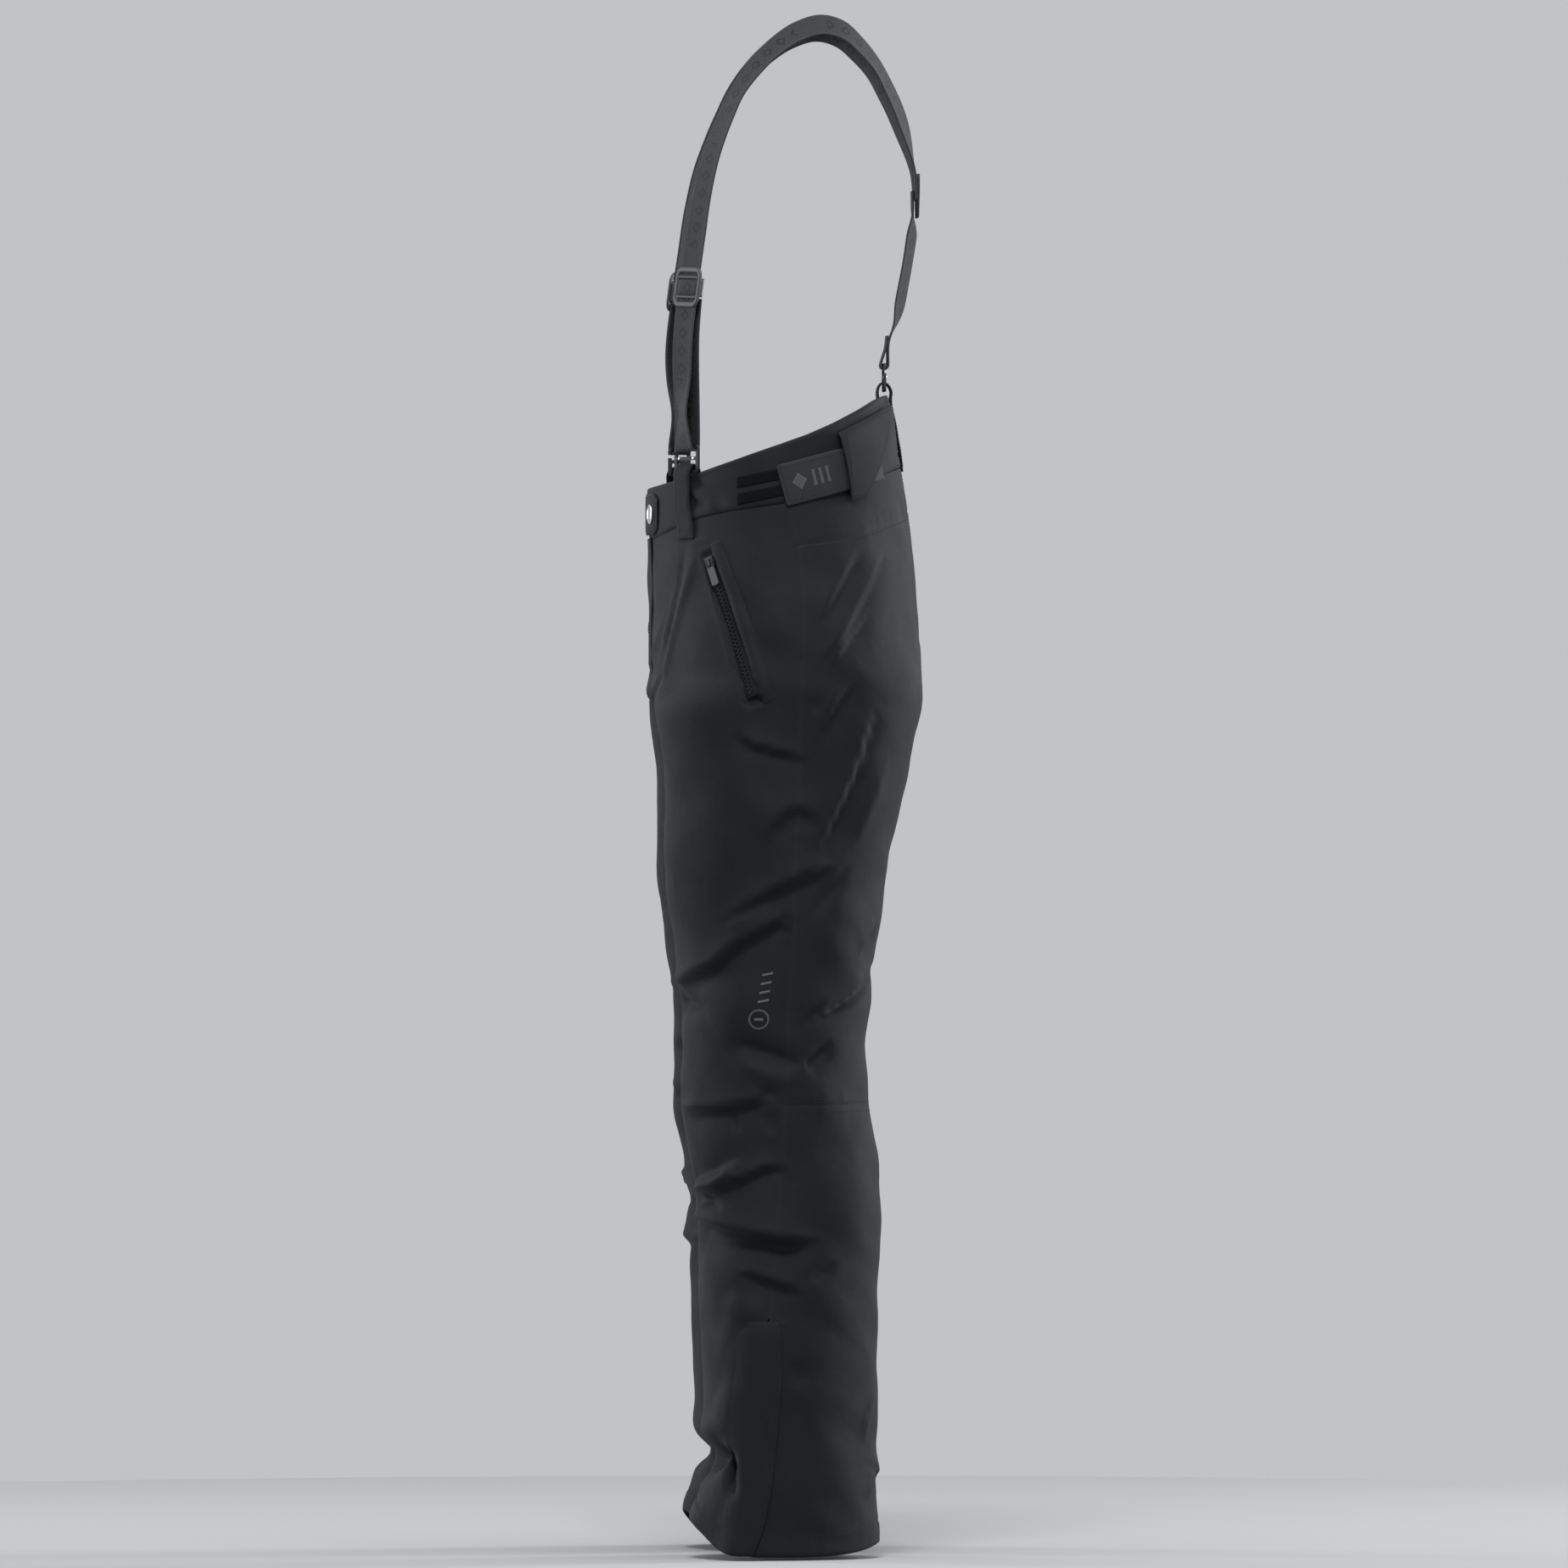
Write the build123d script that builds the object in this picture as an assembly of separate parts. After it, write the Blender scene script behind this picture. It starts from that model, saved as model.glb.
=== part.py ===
from build123d import *
import math
import os

# Ski pants with braces. Millimetres. +Z up, the wearer faces -Y, the wearer's left is +X.
# Origin: centre of the waist opening, at the height of the side of the waist seam.

# ---------------------------------------------------------------- driving dimensions
PANEL_T = 4.0  # quilted outer fabric, insulation and backing
BAND_T = PANEL_T  # waistband
LINING_T = 1.0
LINING_OFF_HIP = 8.8  # lining's outer face below the garment's outer surface
LINING_OFF_BAG = 12.6  # and behind the pocket bags
LINING_OFF_LEG = 8.8  # and down the legs
WEB_W = 30.0  # braces webbing
WEB_T = 2.0
LOOP_W = 26.0  # belt loops
LOOP_T = 1.8
KNEE_Z = -633.0  # knee seam
ANKLE_ZIP_TOP = -846.0
ANKLE_ZIP_LOW = -1046.0
FLY_TOP = -98.0
FLY_LOW = -216.0
POCKET_TOP = (-75.0, -108.0)  # y, z
POCKET_LOW = (-35.0, -243.0)
SNAP_X = 34.0
SNAP_Z = -67.0
CHAIN_W = 5.0  # zip teeth
CHAIN_T = 2.2
TAPE_T = 1.0
SLIDER_L = 11.0
PULL_L = 24.0

# ---------------------------------------------------------------- body surface of the garment
# Every soft part follows one surface. phi runs round half of the garment: 0 at the centre front (or the inseam
# of a leg), 0.5 at the side seam, 1 at the centre back (or the inseam again). z is the height, in mm.
TAB_Z = [60, 20, -42, -92, -150, -184, -234, -283, -332, -381, -430, -480, -529, -578, -633, -690, -750, -824, -898, -947, -1000, -1046, -1075]
TAB_YF = [-130, -129.5, -128, -126, -124, -125, -125, -119, -115, -113, -111, -106, -101, -98, -99, -90, -84, -82, -79, -77, -80, -84, -86]
TAB_YB = [100, 108, 119, 126, 131, 133, 132, 124, 113, 103, 93, 86, 83, 77, 80, 88, 91, 88, 87, 87, 89, 89, 88]
TAB_YS = [-6, -6, -4, 8, 14, 14, 12, 10, 9, 7, 5, 3, 1, -1, -3, -7, -12, -18, -27, -32, -37, -42, -45]
TAB_XO = [156, 158, 164, 172, 185, 191, 194, 192, 190.5, 189, 187.5, 186, 184.5, 184, 184, 185, 187, 189.5, 192, 193.5, 195, 196.5, 197]
TAB_XI = [0, 0, 0, 0, 0, 0, 0.5, 2, 4, 7, 9.5, 12, 14, 16, 18.5, 21, 23.5, 27, 30, 32, 34.5, 36.5, 37.5]
TAB_PF = [1.75, 1.75, 1.78, 1.95, 2.1, 2.15, 2.2, 2.2, 2.2, 2.2, 2.15, 2.1, 2.1, 2.1, 2.1, 2.1, 2.1, 2.1, 2.1, 2.1, 2.1, 2.1, 2.1]
TAB_PB = [2.1, 2.1, 2.15, 2.2, 2.25, 2.3, 2.3, 2.25, 2.2, 2.2, 2.15, 2.1, 2.1, 2.1, 2.1, 2.1, 2.1, 2.1, 2.1, 2.1, 2.1, 2.1, 2.1]


def tab(values, z):
    """Smooth (monotone cubic) reading of a table of heights."""
    zs = TAB_Z
    if z >= zs[0]:
        return values[0]
    if z <= zs[-1]:
        return values[-1]
    for i in range(len(zs) - 1):
        if zs[i] >= z >= zs[i + 1]:
            break
    h = zs[i + 1] - zs[i]
    d = (values[i + 1] - values[i]) / h

    def slope(k):
        if k == 0 or k == len(zs) - 1:
            return 0.0 if k else (values[1] - values[0]) / (zs[1] - zs[0])
        a = (values[k] - values[k - 1]) / (zs[k] - zs[k - 1])
        b = (values[k + 1] - values[k]) / (zs[k + 1] - zs[k])
        return 0.0 if a * b <= 0 else 2 * a * b / (a + b)

    m0, m1 = slope(i), slope(i + 1)
    t = (z - zs[i]) / h
    return (
        (2 * t**3 - 3 * t**2 + 1) * values[i]
        + (t**3 - 2 * t**2 + t) * h * m0
        + (-2 * t**3 + 3 * t**2) * values[i + 1]
        + (t**3 - t**2) * h * m1
    )


def ease(t):
    t = min(1.0, max(0.0, t))
    return t * t * (3 - 2 * t)


def legness(phi, z):
    """0 on the hips, 1 on a leg: how far a section has closed into a leg's own loop."""
    b = ease(phi)
    hi = -222 + 42 * b
    lo = -304 - 16 * b
    return ease((hi - z) / (hi - lo))


def surf(phi, z):
    """A point on the garment's outer surface, left half, without any fold."""
    yf, yb, ys, xo, xi, pf, pb = (tab(t, z) for t in (TAB_YF, TAB_YB, TAB_YS, TAB_XO, TAB_XI, TAB_PF, TAB_PB))
    w = legness(phi, z)
    th = math.pi * phi
    c, s = math.cos(th), max(0.0, math.sin(th))
    p = pf if c > 0 else pb
    r = (ys - yf) if c > 0 else (yb - ys)
    hx = xo * s ** (2 / p)
    hy = ys - math.copysign(abs(c) ** (2 / p), c) * r
    ps = 2 * math.pi * phi
    c2, s2 = math.cos(ps), math.sin(ps)
    p2 = pf if s2 > 0 else pb
    r2 = (ys - yf) if s2 > 0 else (yb - ys)
    cx, rx = (xo + xi) / 2, (xo - xi) / 2
    lx = cx - rx * math.copysign(abs(c2) ** (2 / 2.1), c2)
    ly = ys - math.copysign(abs(s2) ** (2 / p2), s2) * r2
    return (1 - w) * hx + w * lx, (1 - w) * hy + w * ly, z


def normal(phi, z):
    """The outward normal there."""
    e, f = 0.004, 3.0
    if legness(phi, z) > 0.999 and (phi < e or phi > 1 - e):
        phi = 0.0
        a, b = surf(e, z), surf(1 - e, z)
    else:
        a, b = surf(min(1, phi + e), z), surf(max(0, phi - e), z)
    c, d = surf(phi, z + f), surf(phi, z - f)
    u = [a[i] - b[i] for i in range(3)]
    v = [c[i] - d[i] for i in range(3)]
    n = [u[1] * v[2] - u[2] * v[1], u[2] * v[0] - u[0] * v[2], u[0] * v[1] - u[1] * v[0]]
    if (phi < 1e-6 or phi > 1 - 1e-6) and legness(phi, z) <= 0.999:
        n[0] = 0.0
    k = math.sqrt(sum(x * x for x in n)) or 1.0
    return n[0] / k, n[1] / k, n[2] / k


def lerp(xs, ys, x):
    if x <= xs[0]:
        return ys[0]
    for i in range(len(xs) - 1):
        if x <= xs[i + 1]:
            t = (x - xs[i]) / (xs[i + 1] - xs[i])
            return ys[i] + (ys[i + 1] - ys[i]) * t
    return ys[-1]


def waist_y(phi):
    return surf(phi, -40)[1]


def band_top(phi):
    return lerp([-128, -100, -57, -16, 25, 66, 92, 110, 119], [-42, -34, -19, -5, 8, 24, 36, 45, 48], waist_y(phi))


def band_bottom(phi):
    return lerp([-128, -100, -84, -57, -16, 25, 66, 98, 119], [-92, -78, -72, -66, -60, -53, -44, -29, -22], waist_y(phi))


def yoke_bottom(phi):
    return lerp([0.5, 0.62, 0.8, 1.0], [-98, -92, -74, -62], phi)


def hem(phi):
    """Lower edge of a leg: lifted at the front over the boot, a little at the back."""
    if phi < 1e-9 or phi > 1 - 1e-9:
        return -1066.0
    front = math.exp(-(((phi - 0.27) / 0.10) ** 2))
    back = math.exp(-(((phi - 0.76) / 0.10) ** 2))
    return -1066 + 34 * front + 13 * back


def phi_at_y(y, z, lo, hi):
    """The phi between lo and hi where the surface passes through y at height z."""
    a, b = lo, hi
    fa = surf(a, z)[1] - y
    for _ in range(60):
        m = (a + b) / 2
        fm = surf(m, z)[1] - y
        if (fm > 0) == (fa > 0):
            a, fa = m, fm
        else:
            b = m
    return (a + b) / 2


# ---------------------------------------------------------------- solids out of point grids
def add(a, b, k=1.0):
    return (a[0] + k * b[0], a[1] + k * b[1], a[2] + k * b[2])


def sub(a, b):
    return (a[0] - b[0], a[1] - b[1], a[2] - b[2])


def dot(a, b):
    return a[0] * b[0] + a[1] * b[1] + a[2] * b[2]


def cross(a, b):
    return (a[1] * b[2] - a[2] * b[1], a[2] * b[0] - a[0] * b[2], a[0] * b[1] - a[1] * b[0])


def unit(a):
    k = math.sqrt(dot(a, a))
    return (a[0] / k, a[1] / k, a[2] / k)


def slab(outer, inner, wrap=False):
    """A closed solid between two grids of points; the grid closes on itself sideways with wrap."""
    rows, cols = len(outer), len(outer[0])
    faces = []

    def tri(a, b, c):
        if min(math.dist(a, b), math.dist(b, c), math.dist(a, c)) > 1e-5:
            faces.append(Face(Wire.make_polygon([Vector(*a), Vector(*b), Vector(*c)], close=True)))

    def quad(a, b, c, d):
        # the diagonal is the same whichever panel draws the quad, so that neighbours meet face to face
        ka, kb = min(key(a), key(c)), min(key(b), key(d))
        if ka < kb:
            tri(a, b, c)
            tri(a, c, d)
        else:
            tri(b, c, d)
            tri(b, d, a)

    def key(p):
        return (round(p[2], 3), round(p[1], 3), round(p[0], 3))

    last = cols if wrap else cols - 1
    for i in range(rows - 1):
        for j in range(last):
            k = (j + 1) % cols
            quad(outer[i][j], outer[i + 1][j], outer[i + 1][k], outer[i][k])
            quad(inner[i][j], inner[i][k], inner[i + 1][k], inner[i + 1][j])
    for j in range(last):
        k = (j + 1) % cols
        quad(outer[0][j], outer[0][k], inner[0][k], inner[0][j])
        quad(outer[-1][k], outer[-1][j], inner[-1][j], inner[-1][k])
    if not wrap:
        for i in range(rows - 1):
            quad(outer[i + 1][0], outer[i][0], inner[i][0], inner[i + 1][0])
            quad(outer[i][-1], outer[i + 1][-1], inner[i + 1][-1], inner[i][-1])
    s = Solid(Shell(faces))
    if s.volume < 0:
        s = Solid(s.wrapped.Reversed())
    return s


def grid(phis, rows, off):
    """Points on the garment surface, off mm below it. rows are heights, or functions of phi."""
    out = []
    for i, r in enumerate(rows):
        line = []
        for p in phis:
            q = p(i) if callable(p) else p
            z = r(q) if callable(r) else r
            o = off(q, z) if callable(off) else off
            line.append(add(surf(q, z), normal(q, z), -o))
        out.append(line)
    return out


def shell_panel(phis, rows, off0, off1):
    return slab(grid(phis, rows, off0), grid(phis, rows, off1))


def spread(a, b, n):
    return [a + (b - a) * i / n for i in range(n + 1)]


def both(name, solid):
    """The left piece and its mirror image on the right."""
    PARTS["left_" + name] = solid
    PARTS["right_" + name] = mirror(solid, about=Plane.YZ)


def prism(profile, plane, depth):
    """A polygon drawn in a plane, extruded depth mm both ways along the plane's normal."""
    f = Face(Wire.make_polygon([plane.from_local_coords(Vector(a, b, 0)) for a, b in profile], close=True))
    return extrude(f, amount=depth, dir=plane.z_dir, both=True)


def solid_of(shape):
    s = shape.solids()
    assert len(s) == 1, len(s)
    return s[0]


PARTS = {}

# ---------------------------------------------------------------- leg and hip panels
ROWS_TOP = [-150, -190, -222, -245, -268, -290, -320, -365, -420, -480, -540, -590, KNEE_Z]
ROWS_LOW = [KNEE_Z, -690, -750, -805, ANKLE_ZIP_TOP, -870, -915, -960, -1005, -1024, hem]
FRONT = spread(0.0, 0.5, 8)
BACK = spread(0.5, 1.0, 8)


def yoke_line(phi):
    return yoke_bottom(phi) if phi >= 0.5 else lerp([0, 0.5], [-122, -98], phi)


def fly_edge(z):
    """phi of the front panel's centre edge: 5 mm clear of the middle beside the fly zip."""
    if z < FLY_LOW - 6:
        return 0.0
    want = 5.0 * ease((z - FLY_LOW + 6) / 12)
    a, b = 0.0, 0.1
    for _ in range(50):
        m = (a + b) / 2
        if surf(m, z)[0] < want:
            a = m
        else:
            b = m
    return (a + b) / 2


rows = [band_bottom, yoke_line] + ROWS_TOP
fly_rows = [-92, -122, -150, -190, -222, -245]


def front_cols(k):
    base = FRONT[k]

    def col(i):
        if k > 1:
            return base
        e = fly_edge(fly_rows[i]) if i < 6 else 0.0
        return e if k == 0 else max(base, e + 0.02)

    return col


thigh_cols = [front_cols(k) for k in range(9)]
front_thigh = slab(grid(thigh_cols, rows, 0), grid(thigh_cols, rows, PANEL_T))
back_thigh = shell_panel(BACK, [yoke_line] + ROWS_TOP, 0, PANEL_T)

ZIP_GAP = 7.8  # half the ankle zip's opening
LOW_Z = [KNEE_Z, -690, -750, -805, ANKLE_ZIP_TOP, -870, -915, -960, -1005, -1024, -1066]


def low_cols(base, sign):
    def col(b):
        if abs(b - 0.5) > 1e-9:
            return lambda i: b
        return lambda i: b if i < 4 else phi_at_y(tab(TAB_YS, LOW_Z[i]) + sign * ZIP_GAP, LOW_Z[i], 0.3, 0.7)

    return [col(b) for b in base]


shin_cols, calf_cols = low_cols(FRONT, -1), low_cols(BACK, 1)
shin = slab(grid(shin_cols, ROWS_LOW, 0), grid(shin_cols, ROWS_LOW, PANEL_T))
calf = slab(grid(calf_cols, ROWS_LOW, 0), grid(calf_cols, ROWS_LOW, PANEL_T))


def ring(phis, rows, off):
    """A grid over the right half, then the left half, meeting at the centre back."""
    g = grid(phis, rows, off)
    return [[(-p[0], p[1], p[2]) for p in line[:-1]] + line[::-1] for line in g]


yoke = slab(ring(BACK, [band_bottom, yoke_line], 0), ring(BACK, [band_bottom, yoke_line], PANEL_T))

# ---------------------------------------------------------------- waistband
band_phis = [0.0022, fly_edge(-92)] + FRONT[1:] + BACK[1:]
band_rows = [band_top, lambda p: (band_top(p) + band_bottom(p)) / 2, band_bottom]
band = slab(ring(band_phis, band_rows, 0), ring(band_phis, band_rows, BAND_T))
PARTS["waistband"] = band
PARTS["back_yoke"] = yoke
both("back_thigh_panel", back_thigh)
both("shin_panel", shin)
both("calf_panel", calf)
both("front_thigh_panel", front_thigh)

# ---------------------------------------------------------------- lining and snow gaiters


def lining_off(phi, z):
    plain = lerp([-1100, -400, -330, 60], [LINING_OFF_LEG, LINING_OFF_LEG, LINING_OFF_HIP, LINING_OFF_HIP], z)
    deep = lerp([-400, -325, -110, -96], [0, 1, 1, 0], z) * lerp([0.12, 0.2, 0.53, 0.6], [0, 1, 1, 0], phi)
    return plain + (LINING_OFF_BAG - plain) * deep


lining_rows = [lambda p: band_bottom(p) - 4, lambda p: yoke_line(p) - 2] + ROWS_TOP[:8] + [-420, -540, KNEE_Z, -750, -850, -950, -1030]
lining_phis = [0.006] + spread(0.0, 1.0, 16)[1:-1] + [0.994]
both(
    "lining",
    slab(grid(lining_phis, lining_rows, lining_off), grid(lining_phis, lining_rows, lambda p, z: lining_off(p, z) + LINING_T)),
)


def gaiter_off(phi, z):
    return lerp([-1044, -1030, -960, -858], [25, 22, 15, 12], z)


gaiter_rows = [-858, -900, -960, -1000, -1030, -1044]
gaiter_phis = spread(0.0, 1.0, 16)[:-1]
both(
    "snow_gaiter",
    slab(grid(gaiter_phis, gaiter_rows, gaiter_off), grid(gaiter_phis, gaiter_rows, lambda p, z: gaiter_off(p, z) + 1.4), wrap=True),
)

# ---------------------------------------------------------------- zips
# Zip frame: x from the closed end to the open end, y across, z out of the garment, 0 at the underside of the tape.


def zip_frame(a, b, out, lift):
    """Plane at a, x towards b, z as near to out as can be, raised by lift."""
    u = unit(sub(b, a))
    n = unit(add(out, u, -dot(out, u)))
    return Plane(origin=Vector(*add(a, n, lift)), x_dir=Vector(*u), z_dir=Vector(*n))


def boxed(x0, x1, y0, y1, z0, z1):
    return Pos((x0 + x1) / 2, (y0 + y1) / 2, (z0 + z1) / 2) * Box(x1 - x0, y1 - y0, z1 - z0)


RIDGE_TOP = TAPE_T + 1.6
PLATE_LOW = RIDGE_TOP + 0.35
PLATE_TOP = PLATE_LOW + 1.6
PULL_AXIS_Z = PLATE_TOP + 0.95


def zip_chain(length, tape_w):
    tape = boxed(0, length, -tape_w / 2, tape_w / 2, 0, TAPE_T)
    teeth = boxed(1.5, length - 1.5, -CHAIN_W / 2, CHAIN_W / 2, TAPE_T, RIDGE_TOP)
    return solid_of(tape + teeth)


def zip_slider(x):
    top = boxed(x - SLIDER_L / 2, x + SLIDER_L / 2, -4.5, 4.5, PLATE_LOW, PLATE_TOP)
    top = fillet(top.edges().filter_by(Axis.Z), 1.8)
    body = top
    for s in (-1, 1):
        body += boxed(x - 4.2, x + 4.2, *sorted((s * 2.95, s * 4.5)), TAPE_T + 0.4, PLATE_LOW + 0.2)
    for s in (-1, 1):
        body += boxed(*sorted((x + s * 2.3, x + s * 3.9)), -1.1, 1.1, PLATE_TOP - 0.2, PULL_AXIS_Z + 1.9)
    body += boxed(x - 3.9, x + 3.9, -1.1, 1.1, PULL_AXIS_Z + 0.85, PULL_AXIS_Z + 1.9)
    return solid_of(body)


def zip_pull(x, side):
    """Hangs from the slider's bridge towards +x (side 1) or -x (side -1)."""
    z = PULL_AXIS_Z
    bar = Pos(x, 0, z) * Rot(90, 0, 0) * Cylinder(0.65, 6.4)
    arm = bar
    for s in (-1, 1):
        arm += boxed(*sorted((x - side * 0.65, x + side * 6.0)), *sorted((s * 1.8, s * 3.4)), z - 0.65, z + 0.65)
    plate = boxed(*sorted((x + side * 5.0, x + side * PULL_L)), -3.6, 3.6, z - 0.7, z + 0.7)
    plate = fillet(plate.edges().filter_by(Axis.Z), 1.6)
    return solid_of(arm + plate)


def place(plane, solid):
    return plane.location * solid


# fly
fly_a, fly_b = surf(0, FLY_TOP), surf(0, FLY_LOW)
FLY = zip_frame(fly_a, fly_b, (0, -1, 0), -7.4)
FLY_LEN = math.dist(fly_a, fly_b)
PARTS["fly_zip_chain"] = place(FLY, zip_chain(FLY_LEN, 22.0))
PARTS["fly_zip_slider"] = place(FLY, zip_slider(9.0))
PARTS["fly_zip_pull"] = place(FLY, zip_pull(9.0, 1))

# hand pockets
pa = surf(phi_at_y(POCKET_TOP[0], POCKET_TOP[1], 0.1, 0.5), POCKET_TOP[1])
pb = surf(phi_at_y(POCKET_LOW[0], POCKET_LOW[1], 0.1, 0.5), POCKET_LOW[1])
POCKET_LEN = math.dist(pa, pb)
POCKET = zip_frame(pa, pb, normal(0.36, -175), -1.3)
slot = place(POCKET, boxed(-2, POCKET_LEN + 2, -7.6, 7.6, -18, 18))
PARTS["left_front_thigh_panel"] = solid_of(PARTS["left_front_thigh_panel"] - slot)
PARTS["right_front_thigh_panel"] = mirror(PARTS["left_front_thigh_panel"], about=Plane.YZ)
both("pocket_zip_chain", place(POCKET, zip_chain(POCKET_LEN, 13.0)))
both("pocket_zip_slider", place(POCKET, zip_slider(8.0)))
both("pocket_zip_pull", place(POCKET, zip_pull(8.0, 1)))


def on_pocket(u, v, off):
    """The garment surface u mm down the pocket's line and v mm behind it, off mm out."""
    p = POCKET.from_local_coords(Vector(u, v, 0))
    phi = phi_at_y(p.Y, p.Z, 0.03, 0.5)
    return add(surf(phi, p.Z), normal(phi, p.Z), off)


welt_u = spread(-7.0, POCKET_LEN + 9.0, 12)
BEHIND = 1 if POCKET.from_local_coords(Vector(0, 1, 0)).Y > POCKET.from_local_coords(Vector(0, 0, 0)).Y else -1
welt_v = [BEHIND * (9.2 + 3.6 * k) for k in range(4)]
both("pocket_welt", slab([[on_pocket(u, v, 3.0) for v in welt_v] for u in welt_u], [[on_pocket(u, v, 1.2) for v in welt_v] for u in welt_u]))

bag_phis = spread(0.255, 0.485, 10)
bag_rows = [lambda p: -118 - 60 * max(0.0, p - 0.36) / 0.12, -170, -200, -230, -260, -290, lambda p: -313 + 12 * ((p - 0.37) / 0.115) ** 2]
both("pocket_bag", slab(grid(bag_phis, bag_rows, 8.8), grid(bag_phis, bag_rows, 11.2)))

# ankle side zips
aa, ab = surf(0.5, ANKLE_ZIP_TOP), surf(0.5, ANKLE_ZIP_LOW)
ANKLE = zip_frame(ab, aa, (1, 0, 0), -7.4)
ANKLE_LEN = math.dist(aa, ab)
ANKLE_START = 24.0
both("ankle_zip_chain", place(ANKLE, zip_chain(ANKLE_LEN - 4, 13.0)))
both("ankle_zip_slider", place(ANKLE, zip_slider(ANKLE_START)))
both("ankle_zip_pull", place(ANKLE, zip_pull(ANKLE_START, -1)))

# ---------------------------------------------------------------- flaps over the zips
FLY_HINGE_X = -24.0
fy = fly_a[1]
fly_profile_in = [(-24.0, fy - 0.6), (-13, fy - 1.9), (13, fy - 1.9), (22, fy - 0.8)]
fly_profile_out = [(-24.0, fy - 2.4), (-13, fy - 3.7), (13, fy - 3.7), (22, fy - 2.6)]
fly_z = [-96.5, -140, -180, -220]
PARTS["fly_flap"] = slab(
    [[(x, y, z) for x, y in fly_profile_out] for z in fly_z],
    [[(x, y, z) for x, y in fly_profile_in] for z in fly_z],
)

AF_U = [-2.0, 10, 40, 80, 120, 160, 190, 206]
AF_FREE = [13, 16, 21, 23, 24, 22, 17, 13]
AF_HINGE_V = 13.0
FRONTWARD = 1 if ANKLE.from_local_coords(Vector(0, 1, 0)).Y < ANKLE.from_local_coords(Vector(0, 0, 0)).Y else -1


def flap_n(v):
    """Height of the flap's inner face over the zip frame's zero."""
    return 7.4 + (1.9 if abs(v) <= 8 else 1.9 - (v * v - 64) / 180.0 * (1 if abs(v) < 20 else 1.0))


def ankle_flap_grid(extra):
    out = []
    for u, free in zip(AF_U, AF_FREE):
        vs = [AF_HINGE_V, 7, 0, -7, -0.5 * (7 + free), -free]
        out.append([tuple(ANKLE.from_local_coords(Vector(u, FRONTWARD * v, flap_n(v) + extra))) for v in vs])
    return out


both("ankle_flap", slab(ankle_flap_grid(1.8), ankle_flap_grid(0.0)))

# ---------------------------------------------------------------- belt loops


def strip(points, t):
    """Outline of a strip t thick along a bent line."""
    left, right = [], []
    for i, p in enumerate(points):
        a = points[max(0, i - 1)]
        b = points[min(len(points) - 1, i + 1)]
        d0 = (p[0] - a[0], p[1] - a[1])
        d1 = (b[0] - p[0], b[1] - p[1])
        l0, l1 = math.hypot(*d0), math.hypot(*d1)
        if l0 < 1e-9:
            d0, l0 = d1, l1
        if l1 < 1e-9:
            d1, l1 = d0, l0
        n0, n1 = (-d0[1] / l0, d0[0] / l0), (-d1[1] / l1, d1[0] / l1)
        m = (n0[0] + n1[0], n0[1] + n1[1])
        k = t / 2 / ((m[0] * n0[0] + m[1] * n0[1]) / math.hypot(*m)) / math.hypot(*m)
        left.append((p[0] + m[0] * k, p[1] + m[1] * k))
        right.append((p[0] - m[0] * k, p[1] - m[1] * k))
    return left + right[::-1]


def loop_plane(phi):
    """x out of the waist, y up, origin on the waistband's outer face at its top edge."""
    z = band_top(phi)
    n = normal(phi, z)
    k = math.hypot(n[0], n[1])
    n = (n[0] / k, n[1] / k, 0.0)
    return Plane(origin=Vector(*surf(phi, z)), x_dir=Vector(*n), z_dir=Vector(n[1], -n[0], 0))


def surf_d(plane, phi, h):
    z = plane.origin.Z + h
    p = surf(phi, z)
    return (p[0] - plane.origin.X) * plane.x_dir.X + (p[1] - plane.origin.Y) * plane.x_dir.Y


def belt_loop(phi):
    pl = loop_plane(phi)
    low = band_bottom(phi) - pl.origin.Z
    d = [(surf_d(pl, phi, h) + g, h) for h, g in ((low + 2, 2.0), (low + 12, 2.4), (low * 0.5, 4.2), (-4, 4.6))]
    path = d + [(4.2, 4), (2.2, 9), (-1.0, 12), (-5.0, 12), (-7.6, 9), (-8.9, 4), (surf_d(pl, phi, -8) - 8.9, -8), (surf_d(pl, phi, -24) - 8.7, -24)]
    return solid_of(prism(strip(path, LOOP_T), pl, LOOP_W / 2))


LOOP_PHI = 0.222
both("front_belt_loop", belt_loop(LOOP_PHI))
PARTS["back_belt_loop"] = belt_loop(1.0)

# ---------------------------------------------------------------- brace hooks
BAR = (-2.4, 29.7)  # the webbing bar in the loop's plane


def hook(phi):
    """A flat open ring: its lower bar runs under the belt loop, the webbing turns round its upper bar."""
    pl = loop_plane(phi)
    d = BAR[0]

    def bar(h0, h1, w, t=1.2):
        return prism([(d - t, h0), (d + t, h0), (d + t, h1), (d - t, h1)], pl, w)

    side = Plane(origin=pl.from_local_coords(Vector(d, 17.8, 0)), x_dir=pl.z_dir, z_dir=pl.x_dir)
    plate = side.location * extrude(RectangleRounded(39, 27.4, 4), 1.2, both=True)
    plate -= bar(7.2, 16.6, 15.5, 3)
    plate -= bar(20, 28, 16, 3)
    plate -= side.location * Pos(18, -5.5, 0) * Box(8, 3, 6)
    return solid_of(plate)


both("front_hook", hook(LOOP_PHI))
PARTS["back_hook"] = hook(1.0)

# ---------------------------------------------------------------- braces


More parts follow.
